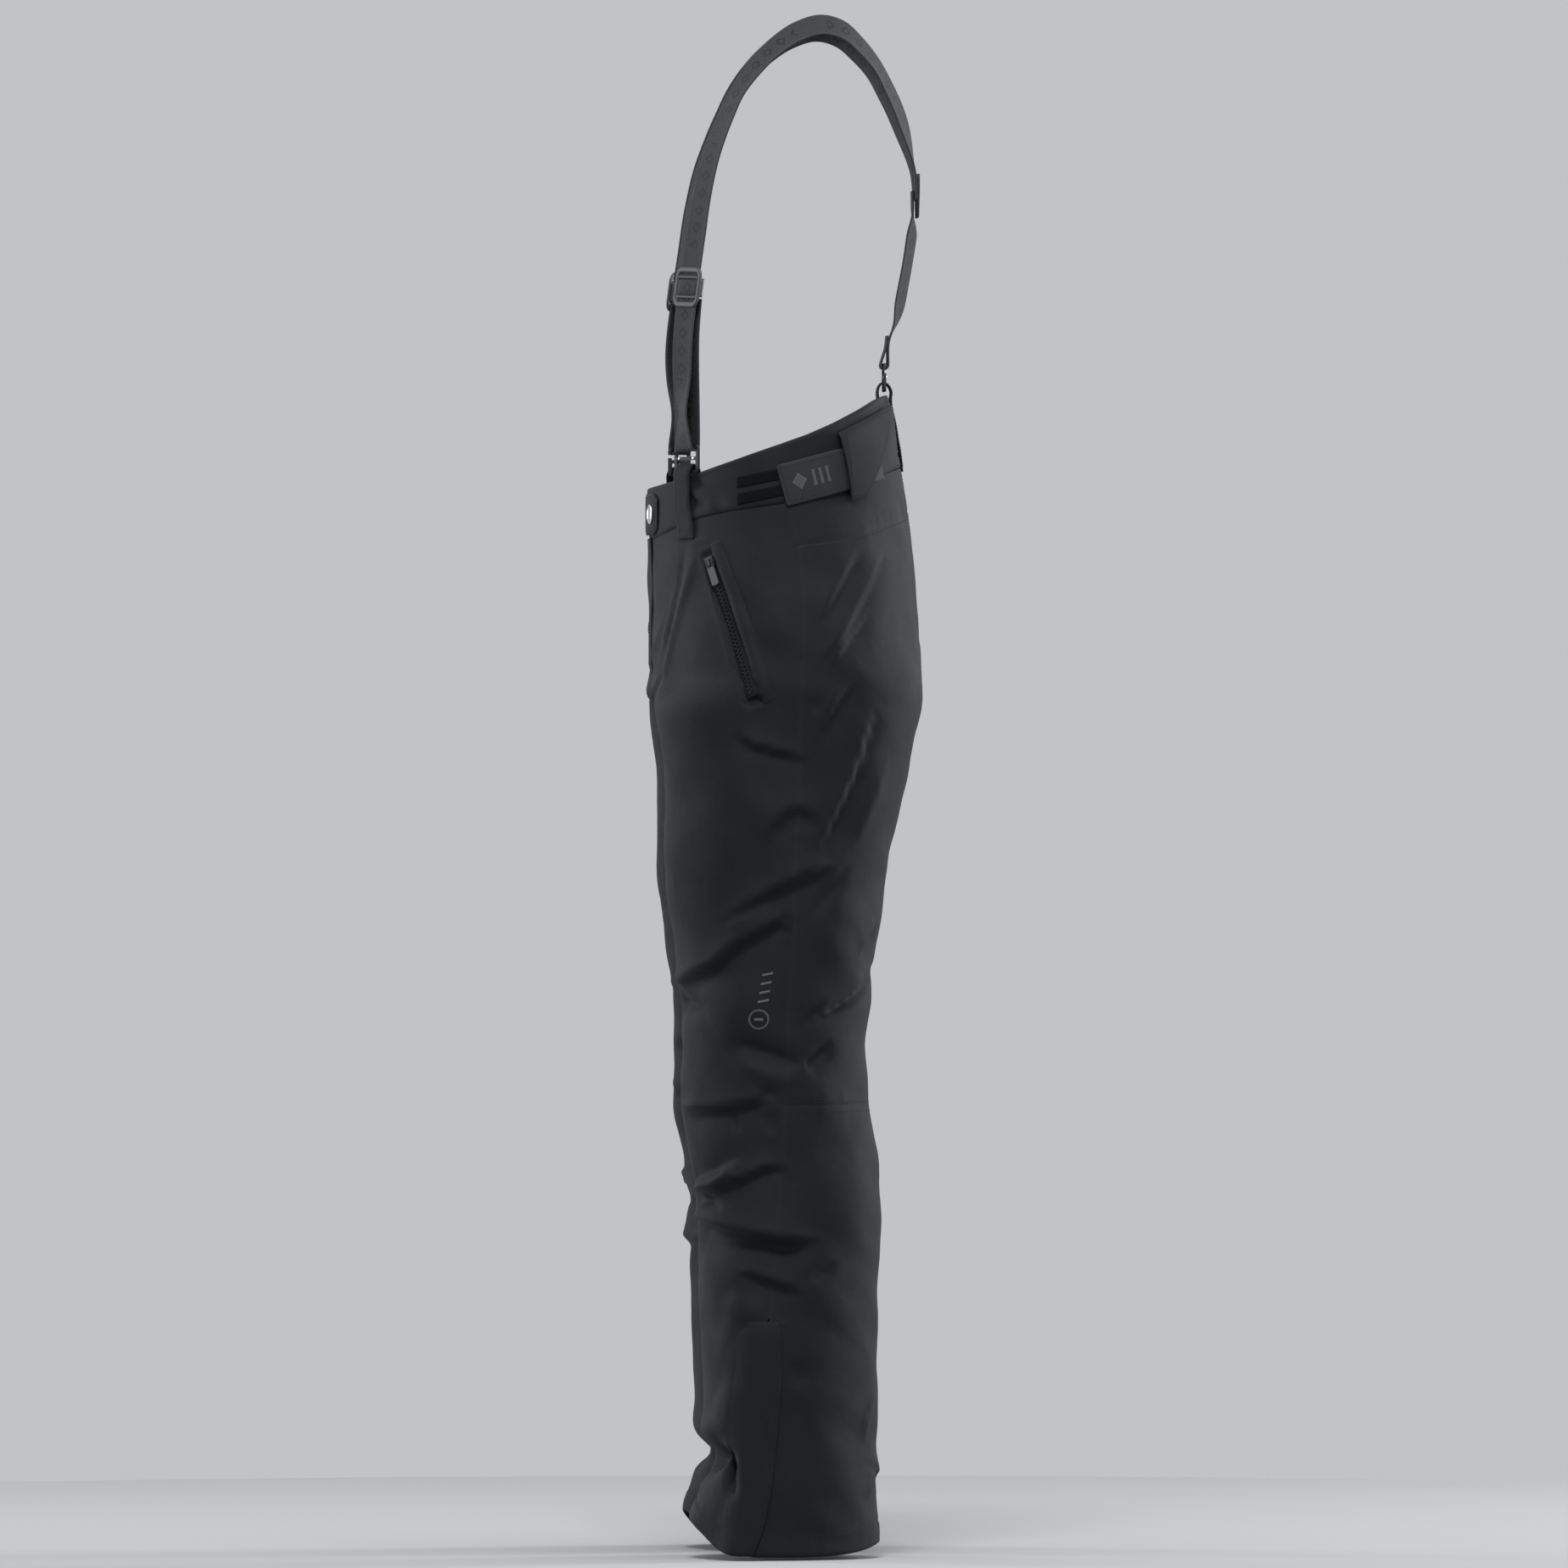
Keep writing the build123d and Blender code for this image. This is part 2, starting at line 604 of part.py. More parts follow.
def band_solid(points, widths):
    """Webbing along a line of points; widths gives each point's wanted sideways direction."""
    outer, inner = [], []
    for i, p in enumerate(points):
        a, b = points[max(0, i - 1)], points[min(len(points) - 1, i + 1)]
        t = unit(sub(b, a))
        w = unit(add(widths[i], t, -dot(widths[i], t)))
        n = cross(t, w)
        turn = 1.0
        if 0 < i < len(points) - 1:
            c = dot(unit(sub(p, a)), unit(sub(b, p)))
            turn = 1 / math.sqrt(max(0.3, (1 + c) / 2))
        outer.append([add(add(p, w, -WEB_W / 2), n, WEB_T / 2 * turn), add(add(p, w, WEB_W / 2), n, WEB_T / 2 * turn)])
        inner.append([add(add(p, w, -WEB_W / 2), n, -WEB_T / 2 * turn), add(add(p, w, WEB_W / 2), n, -WEB_T / 2 * turn)])
    return slab(outer, inner)


def hook_wrap(phi):
    """The webbing's turn round the hook's bar, from the inner run to the outer one."""
    pl = loop_plane(phi)
    pts = []
    for k in range(7):
        a = math.radians(180 + 30 * k)
        pts.append(tuple(pl.from_local_coords(Vector(BAR[0] + 3.7 * math.cos(a), BAR[1] + 3.7 * math.sin(a), 0))))
    t = pl.z_dir
    return pts, (t.X, t.Y, t.Z)


wrap, front_w = hook_wrap(LOOP_PHI)
if front_w[0] < 0:
    front_w = (-front_w[0], -front_w[1], 0.0)
ADJ_LOW = (108.0, -98.6, 98.0)
ADJ_HIGH = (104.2, -84.8, 205.0)
RUN = [(101.5, -80.0, 236), (98.5, -73.5, 266), (95.5, -65.5, 291), (92, -55.5, 316), (88.5, -43.5, 341), (84.5, -27.5, 363), (80.5, -8.5, 382), (77, 13, 396.5), (74, 37, 403.5)]
RUN += [(70.5, 58, 398), (66, 75, 383), (60, 90, 365), (53.5, 101, 345), (46, 111, 324), (38.5, 119, 303), (31, 124.5, 284), (24, 128, 267), (18.5, 129.5, 251)]
w_in, w_out = wrap[0], wrap[-1]
path = [(103.6, -93.2, 96.0), (w_in[0] + 2.5, w_in[1] - 0.6, 46.0)] + wrap + [(w_out[0] + 2.2, w_out[1] - 1.2, 28), (106.2, -99.0, 64)] + [ADJ_LOW, ADJ_HIGH] + RUN
W_FRONT = front_w
W_TOP = (0.77, 0.0, -0.64)
W_BACK = (0.94, -0.30, -0.2)
W_END = (1.0, 0.0, -0.25)


def wanted(p):
    if p[1] < 37:
        t = ease((p[2] - 205) / 185)
        return tuple(W_FRONT[k] * (1 - t) + W_TOP[k] * t for k in range(3))
    t, e = ease((403 - p[2]) / 80), ease((318 - p[2]) / 55)
    a = tuple(W_TOP[k] * (1 - t) + W_BACK[k] * t for k in range(3))
    return tuple(a[k] * (1 - e) + W_END[k] * e for k in range(3))


both("shoulder_strap", band_solid(path, [wanted(p) for p in path]))

wrap_b, back_w = hook_wrap(1.0)
yb0 = wrap_b[-1][1]
back_path = [(0, yb0 - 3.6, 128.0)] + wrap_b + [(0, yb0 + 0.6, 100), (0, 112.4, 122), (0, 118.4, 152), (0, 124.2, 184), (0, 127.6, 208), (0, 129.5, 230)]
back_w = (1.0, 0.0, 0.0)
PARTS["back_strap"] = band_solid(back_path, [back_w] * len(back_path))

jf = Face(Wire.make_polygon([Vector(x, 132.4, z) for x, z in ((-17, 220), (17, 220), (31, 248), (31, 262), (-31, 262), (-31, 248))], close=True))
patch = extrude(jf, amount=1.8, dir=(0, 1, 0))
PARTS["strap_junction"] = solid_of(fillet(patch.edges().filter_by(Axis.Y), 4))

# ---------------------------------------------------------------- brace length adjusters
adj_t = unit(sub(ADJ_HIGH, ADJ_LOW))
adj_w = unit(add(W_FRONT, adj_t, -dot(W_FRONT, adj_t)))
adj_n = cross(adj_w, adj_t)
if adj_n[1] > 0:
    adj_n = tuple(-c for c in adj_n)
adj_mid = add(ADJ_LOW, sub(ADJ_HIGH, ADJ_LOW), 0.485)
ADJ = Plane(origin=Vector(*adj_mid), x_dir=Vector(*adj_t), z_dir=Vector(*adj_n))
buckle = boxed(-16.5, 16.5, -19, 19, 1.5, 3.9)
buckle -= boxed(-12.2, 12.2, -16, 16, 0, 6)
buckle = fillet(buckle.edges().filter_by(Axis.Z), 1.4)
for s in (-1, 1):
    buckle += boxed(-12, 12, *sorted((s * 16, s * 18.6)), -3.9, 2.0)
buckle += boxed(-3, 3, -18, 18, -3.9, -1.5)
both("strap_adjuster", place(ADJ, solid_of(buckle)))

# ---------------------------------------------------------------- waist closure
CL_Y, CL_R = 44.738, 171.781  # a circle through the front of the waistband


def sector(r0, r1, a0, a1, z0, z1):
    """Part of a ring about a vertical axis behind the front of the waist; angles from the centre front."""
    f = Face(Wire.make_polygon([Vector(r0, 0, z0), Vector(r1, 0, z0), Vector(r1, 0, z1), Vector(r0, 0, z1)], close=True))
    s = revolve(f, Axis.Z, a1 - a0)
    return Pos(0, CL_Y, 0) * Rot(0, 0, a0 - 90) * s


TAB_HINGE_X = -8.0


def front_angle(x):
    return math.degrees(math.asin(x / CL_R))


snap_a = front_angle(SNAP_X)
snap_n = (math.sin(math.radians(snap_a)), -math.cos(math.radians(snap_a)), 0)
snap_o = (CL_R * snap_n[0], CL_Y + CL_R * snap_n[1], SNAP_Z)
SNAP = Plane(origin=Vector(*snap_o), x_dir=Vector(0, 0, 1), z_dir=Vector(*snap_n))
tab_piece = sector(CL_R + 2.6, CL_R + 5.0, front_angle(TAB_HINGE_X), front_angle(52.0), -87, -47)
tab_piece -= place(SNAP, Pos(0, 0, 4) * Cylinder(2.6, 12))
PARTS["waistband_tab"] = solid_of(tab_piece)
cap = Pos(0, 0, 6.4) * Cylinder(9.5, 2.2)
cap = fillet(cap.edges().filter_by(GeomType.CIRCLE), 0.8)
cap += Pos(0, 0, 4.0) * Cylinder(2.4, 3.6)
cap += Pos(0, 0, 2.0) * (Cylinder(6.0, 0.9) - Cylinder(2.9, 0.9))
cap += Pos(0, 0, 2.35) * Cylinder(6.0, 0.3)
PARTS["snap_cap"] = place(SNAP, solid_of(cap))
stud = Pos(0, 0, 0.85) * Cylinder(5.6, 0.5) + Pos(0, 0, 1.45) * Cylinder(2.45, 0.9)
PARTS["snap_stud"] = place(SNAP, solid_of(stud))

# ---------------------------------------------------------------- waist adjusters
# They run round the side of the waist, 15 degrees out of level, on a circle about this axis.
WA_TILT = 15.0
WA_C, WA_R = (54.127, -49.609), 109.825
WA = Plane(origin=Vector(0, 40, -20), x_dir=Vector(1, 0, 0), z_dir=Vector(0, -math.sin(math.radians(WA_TILT)), math.cos(math.radians(WA_TILT))))


def wa_sector(r0, r1, y0, y1, lo, hi):
    """Part of a ring about the adjuster's axis; y0 and y1 are heights of the arc's ends along the waist."""
    a0 = math.degrees(math.asin((y0 - WA_C[1]) / WA_R))
    a1 = math.degrees(math.asin((y1 - WA_C[1]) / WA_R))
    f = Face(Wire.make_polygon([Vector(r0, 0, lo), Vector(r1, 0, lo), Vector(r1, 0, hi), Vector(r0, 0, hi)], close=True))
    s = revolve(f, Axis.Z, a1 - a0)
    return WA.location * Pos(WA_C[0], WA_C[1], 0) * Rot(0, 0, a0) * s


def wa_local(y):
    """Local y along the adjuster for a place y in the garment."""
    return (y - 40) * math.cos(math.radians(WA_TILT)) + (-42 + 0.268 * (y + 6) + 20) * math.sin(math.radians(WA_TILT))


FLAP_FROM, FLAP_TO, STRAP_TO = wa_local(-6), wa_local(47), wa_local(86)
PIVOT_GAP = 0.6
both("adjuster_flap", solid_of(wa_sector(WA_R + 3.6, WA_R + 5.6, FLAP_FROM, FLAP_TO - PIVOT_GAP, -20, 20)))
both("adjuster_strap", solid_of(wa_sector(WA_R + 3.6, WA_R + 5.6, FLAP_TO + PIVOT_GAP, STRAP_TO, -19, 19)))


def on_waist(y, z, off):
    phi = phi_at_y(y, z, 0.2, 0.98)
    return add(surf(phi, z), normal(phi, z), off)


pads = []
for h in (8.5, -6.5):
    ys = spread(-42, 8, 5)
    zs = [[-44.5 + h + 0.2 * (y + 6) + dz for dz in (5, -5)] for y in ys]
    pads.append(slab([[on_waist(y, z, 2.0) for z in zz] for y, zz in zip(ys, zs)], [[on_waist(y, z, 0.7) for z in zz] for y, zz in zip(ys, zs)]))
both("adjuster_pads", Compound(children=pads))

# a wide tapered loop that the adjuster's strap runs under
al_rows = 6
al_out, al_in = [], []
for i in range(al_rows + 1):
    t = i / al_rows
    y0, y1 = 47 + 12 * t**1.3, 101 - 28 * t
    zt = lambda y: lerp([45, 102], [8, 38], y)
    zb = lambda y: lerp([55, 75], [-59, -52], y)
    rowo, rowi = [], []
    for k in range(5):
        y = y0 + (y1 - y0) * k / 4
        z = zt(y) + (zb(y) - zt(y)) * t
        rise = 2.4 + 7.0 * math.sin(math.pi * t) ** 0.5
        rowo.append(on_waist(y, z, rise + 1.8))
        rowi.append(on_waist(y, z, rise))
    al_out.append(rowo)
    al_in.append(rowi)
both("adjuster_loop", slab(al_out, al_in))


os.makedirs("parts", exist_ok=True)
for name, shape in PARTS.items():
    shape.label = name
    export_step(shape, "parts/%s.step" % name)
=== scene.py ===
import math
import bpy
import numpy as np
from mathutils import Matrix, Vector


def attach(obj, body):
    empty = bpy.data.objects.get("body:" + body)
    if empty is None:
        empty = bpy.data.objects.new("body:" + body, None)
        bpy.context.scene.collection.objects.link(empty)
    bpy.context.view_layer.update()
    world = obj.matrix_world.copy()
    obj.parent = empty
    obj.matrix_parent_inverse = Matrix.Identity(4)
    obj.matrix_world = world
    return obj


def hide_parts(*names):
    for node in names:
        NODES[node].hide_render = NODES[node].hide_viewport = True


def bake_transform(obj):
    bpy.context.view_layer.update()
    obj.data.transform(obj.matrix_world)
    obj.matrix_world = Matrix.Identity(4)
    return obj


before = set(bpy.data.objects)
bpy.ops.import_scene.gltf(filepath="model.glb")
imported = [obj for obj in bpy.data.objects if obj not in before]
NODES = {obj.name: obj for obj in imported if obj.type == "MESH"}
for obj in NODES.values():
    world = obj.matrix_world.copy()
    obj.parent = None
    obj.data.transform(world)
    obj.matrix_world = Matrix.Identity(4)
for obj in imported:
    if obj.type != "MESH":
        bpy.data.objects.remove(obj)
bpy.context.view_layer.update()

# Ski pants with braces, built in the CAD frame: +Z up, the wearer faces -Y and their left is +X.
# Lengths in the helpers below are in millimetres; MM turns them into metres when a mesh is made.
MM = 0.001
SCENE = bpy.context.scene

# ---------------------------------------------------------------- the garment's surface
TAB_Z = [60, 20, -42, -92, -150, -184, -234, -283, -332, -381, -430, -480, -529, -578, -633, -690, -750, -824, -898, -947, -1000, -1046, -1075]
TAB_YF = [-130, -129.5, -128, -126, -124, -125, -125, -119, -115, -113, -111, -106, -101, -98, -99, -90, -84, -82, -79, -77, -80, -84, -86]
TAB_YB = [100, 108, 119, 126, 131, 133, 132, 124, 113, 103, 93, 86, 83, 77, 80, 88, 91, 88, 87, 87, 89, 89, 88]
TAB_YS = [-6, -6, -4, 8, 14, 14, 12, 10, 9, 7, 5, 3, 1, -1, -3, -7, -12, -18, -27, -32, -37, -42, -45]
TAB_XO = [156, 158, 164, 172, 185, 191, 194, 192, 190.5, 189, 187.5, 186, 184.5, 184, 184, 185, 187, 189.5, 192, 193.5, 195, 196.5, 197]
TAB_XI = [0, 0, 0, 0, 0, 0, 0.5, 2, 4, 7, 9.5, 12, 14, 16, 18.5, 21, 23.5, 27, 30, 32, 34.5, 36.5, 37.5]
TAB_PF = [1.75, 1.75, 1.78, 1.95, 2.1, 2.15, 2.2, 2.2, 2.2, 2.2, 2.15, 2.1, 2.1, 2.1, 2.1, 2.1, 2.1, 2.1, 2.1, 2.1, 2.1, 2.1, 2.1]
TAB_PB = [2.1, 2.1, 2.15, 2.2, 2.25, 2.3, 2.3, 2.25, 2.2, 2.2, 2.15, 2.1, 2.1, 2.1, 2.1, 2.1, 2.1, 2.1, 2.1, 2.1, 2.1, 2.1, 2.1]
KNEE_Z, ZIP_TOP, ZIP_LOW, FLY_LOW = -633.0, -846.0, -1046.0, -216.0


def tab(values, z):
    """Monotone cubic reading of a table of heights."""
    zs = TAB_Z
    if z >= zs[0]:
        return values[0]
    if z <= zs[-1]:
        return values[-1]
    i = next(k for k in range(len(zs) - 1) if zs[k] >= z >= zs[k + 1])
    h = zs[i + 1] - zs[i]

    def slope(k):
        if k == 0 or k == len(zs) - 1:
            return 0.0 if k else (values[1] - values[0]) / (zs[1] - zs[0])
        a = (values[k] - values[k - 1]) / (zs[k] - zs[k - 1])
        b = (values[k + 1] - values[k]) / (zs[k + 1] - zs[k])
        return 0.0 if a * b <= 0 else 2 * a * b / (a + b)

    m0, m1 = slope(i), slope(i + 1)
    t = (z - zs[i]) / h
    return (2 * t**3 - 3 * t**2 + 1) * values[i] + (t**3 - 2 * t**2 + t) * h * m0 + (-2 * t**3 + 3 * t**2) * values[i + 1] + (t**3 - t**2) * h * m1


ZT = np.arange(-1080.0, 61.0)
DENSE = [np.array([tab(t, z) for z in ZT]) for t in (TAB_YF, TAB_YB, TAB_YS, TAB_XO, TAB_XI, TAB_PF, TAB_PB)]


def ease(t):
    t = np.clip(t, 0, 1)
    return t * t * (3 - 2 * t)


def legness(phi, z):
    b = ease(phi)
    hi = -222 + 42 * b
    lo = -304 - 16 * b
    return ease((hi - z) / (hi - lo))


def plain_surf(phi, z):
    """The hips' and legs' ovals run together; phi runs 0 at the centre front (or inseam), 0.5 at the side, 1 at the back."""
    phi, z = np.broadcast_arrays(np.asarray(phi, float), np.asarray(z, float))
    yf, yb, ys, xo, xi, pf, pb = (np.interp(z, ZT, t) for t in DENSE)
    w = legness(phi, z)
    th = np.pi * phi
    c, s = np.cos(th), np.maximum(0.0, np.sin(th))
    p = np.where(c > 0, pf, pb)
    r = np.where(c > 0, ys - yf, yb - ys)
    hx = xo * s ** (2 / p)
    hy = ys - np.sign(c) * np.abs(c) ** (2 / p) * r
    ps = 2 * np.pi * phi
    c2, s2 = np.cos(ps), np.sin(ps)
    p2 = np.where(s2 > 0, pf, pb)
    r2 = np.where(s2 > 0, ys - yf, yb - ys)
    cx, rx = (xo + xi) / 2, (xo - xi) / 2
    lx = cx - rx * np.sign(c2) * np.abs(c2) ** (2 / 2.1)
    ly = ys - np.sign(s2) * np.abs(s2) ** (2 / p2) * r2
    return np.stack([(1 - w) * hx + w * lx, (1 - w) * hy + w * ly, z + 0 * phi], -1)


_q = plain_surf(np.linspace(0, 1, 241)[None, :], ZT[:, None])[..., 1]
KF = (DENSE[2] - DENSE[0]) / (DENSE[2] - _q.min(1))
KB = (DENSE[1] - DENSE[2]) / (_q.max(1) - DENSE[2])


def surf(phi, z):
    """Points on the garment's outer surface, left half, without folds. Where hips turn into legs the front and back are drawn out to the full outline."""
    p = plain_surf(phi, z)
    z = p[..., 2]
    yf, yb, ys = (np.interp(z, ZT, t) for t in DENSE[:3])
    d = p[..., 1] - ys
    k = np.where(d < 0, np.interp(z, ZT, KF), np.interp(z, ZT, KB))
    e = ease(np.abs(d) / (0.8 * np.where(d < 0, ys - yf, yb - ys)))
    p[..., 1] = ys + d * (1 + (k - 1) * e)
    return p


def unit(v):
    v = np.asarray(v, float)
    return v / np.maximum(1e-9, np.linalg.norm(v, axis=-1, keepdims=True))


def normal(phi, z):
    """The outward normal there."""
    phi, z = np.broadcast_arrays(np.asarray(phi, float), np.asarray(z, float))
    e, f = 0.004, 3.0
    edge = (phi < e) | (phi > 1 - e)
    leg = legness(phi, z) > 0.999
    a = surf(np.where(edge & leg, e, np.minimum(1, phi + e)), z)
    b = surf(np.where(edge & leg, 1 - e, np.maximum(0, phi - e)), z)
    q = np.where(edge & leg, 0.0, phi)
    n = np.cross(a - b, surf(q, z + f) - surf(q, z - f))
    flat = ((phi < 1e-6) | (phi > 1 - 1e-6)) & ~leg
    n[..., 0] = np.where(flat, 0.0, n[..., 0])
    return unit(n)


PH = np.linspace(0, 1, 801)
WAIST_Y = surf(PH, -40.0)[:, 1]


def waist_y(phi):
    return np.interp(phi, PH, WAIST_Y)


def band_top(phi):
    return np.interp(waist_y(phi), [-128, -100, -57, -16, 25, 66, 92, 110, 119], [-42, -34, -19, -5, 8, 24, 36, 45, 48])


def band_bottom(phi):
    return np.interp(waist_y(phi), [-128, -100, -84, -57, -16, 25, 66, 98, 119], [-92, -78, -72, -66, -60, -53, -44, -29, -22])


def yoke_line(phi):
    return np.interp(phi, [0, 0.5, 0.62, 0.8, 1.0], [-122, -98, -92, -74, -62])


def hem(phi):
    front = np.exp(-(((phi - 0.245) / 0.13) ** 2))
    back = np.exp(-(((phi - 0.76) / 0.10) ** 2))
    edge = ease(np.minimum(phi, 1 - phi) / 0.03)
    return -1066 + (34 * front + 13 * back) * edge


def phi_at_y(y, z, lo, hi):
    q = np.linspace(lo, hi, 600)
    return float(np.interp(y, surf(q, z)[:, 1], q))


def fly_edge(z):
    """phi of the front panel's centre edge, 5 mm clear of the middle beside the fly zip."""
    want = 5.4 * ease((z - FLY_LOW + 6) / 12)
    q = np.linspace(0, 0.1, 200)
    return float(np.interp(want, surf(q, z)[:, 0], q)) if want > 0 else 0.0


# ---------------------------------------------------------------- folds
UQ = np.linspace(0, 1, 1201)


def side_u(y, z):
    """Distance round the leg from the side seam, - to the front and + to the back, of a place seen from the side. Beyond the outline it runs on round the inside."""
    p = surf(UQ, z)
    s = np.concatenate([[0], np.cumsum(np.linalg.norm(np.diff(p, axis=0), axis=1))])
    s -= np.interp(0.5, UQ, s)
    a, b = int(np.argmin(p[:, 1])), int(np.argmax(p[:, 1]))
    ya, yb = p[a, 1], p[b, 1]
    if y < ya:
        return s[a] - (ya - y)
    if y > yb:
        return s[b] + (y - yb)
    return float(np.interp(y, p[a : b + 1, 1], s[a : b + 1]))


def smooth_line(pts, n):
    pts = np.asarray(pts, float)
    if len(pts) < 3:
        t = np.linspace(0, len(pts) - 1, n)
        return np.stack([np.interp(t, range(len(pts)), pts[:, k]) for k in range(2)], 1)
    ext = np.vstack([2 * pts[0] - pts[1], pts, 2 * pts[-1] - pts[-2]])
    out = []
    for t in np.linspace(0, len(pts) - 1 - 1e-6, n):
        i = int(t)
        f = t - i
        p0, p1, p2, p3 = ext[i], ext[i + 1], ext[i + 2], ext[i + 3]
        out.append(0.5 * (2 * p1 + (p2 - p0) * f + (2 * p0 - 5 * p1 + 4 * p2 - p3) * f * f + (3 * p1 - p0 - 3 * p2 + p3) * f**3))
    return np.array(out)


def to_uz(pts):
    """Side-view places (y, z) in mm as distance round from the side seam and height."""
    return [(side_u(y, z), z) for y, z in pts]


def line_field(U, Z, line):
    """Signed distance (+ above or to the front of the line) and place along the line, 0 to 1."""
    seg = np.diff(line, axis=0)
    ln = np.linalg.norm(seg, axis=1)
    cum = np.concatenate([[0], np.cumsum(ln)])
    best = np.full(U.shape, 1e9)
    sd = np.zeros(U.shape)
    tt = np.zeros(U.shape)
    for k in range(len(seg)):
        if ln[k] < 1e-6:
            continue
        s = seg[k] / ln[k]
        wu, wz = U - line[k, 0], Z - line[k, 1]
        t = wu * s[0] + wz * s[1]
        tc = np.clip(t, 0, ln[k])
        d = np.hypot(wu - tc * s[0], wz - tc * s[1])
        cr = s[0] * wz - s[1] * wu
        m = d < best
        best = np.where(m, d, best)
        sd = np.where(m, np.sign(cr) * d, sd)
        tt = np.where(m, (cum[k] + tc) / cum[-1], tt)
    return sd, tt, cum[-1]


def profile(kind, x):
    if kind == "r":
        return np.exp(-np.abs(x) ** 1.6)
    if kind == "v":
        return -np.exp(-np.abs(x) ** 1.35)
    if kind == "b":  # a broad round swelling
        return np.exp(-(x**2) / 1.6)
    if kind == "s":  # a lip: full above the line, tucked under it
        return np.tanh(x / 0.33) * np.exp(-((np.abs(x) / 1.5) ** 1.4)) * np.where(x > 0, 0.85, 1.0)
    if kind == "t":  # the same, turned over
        return -np.tanh(x / 0.33) * np.exp(-((np.abs(x) / 1.5) ** 1.4))
    return 0 * x


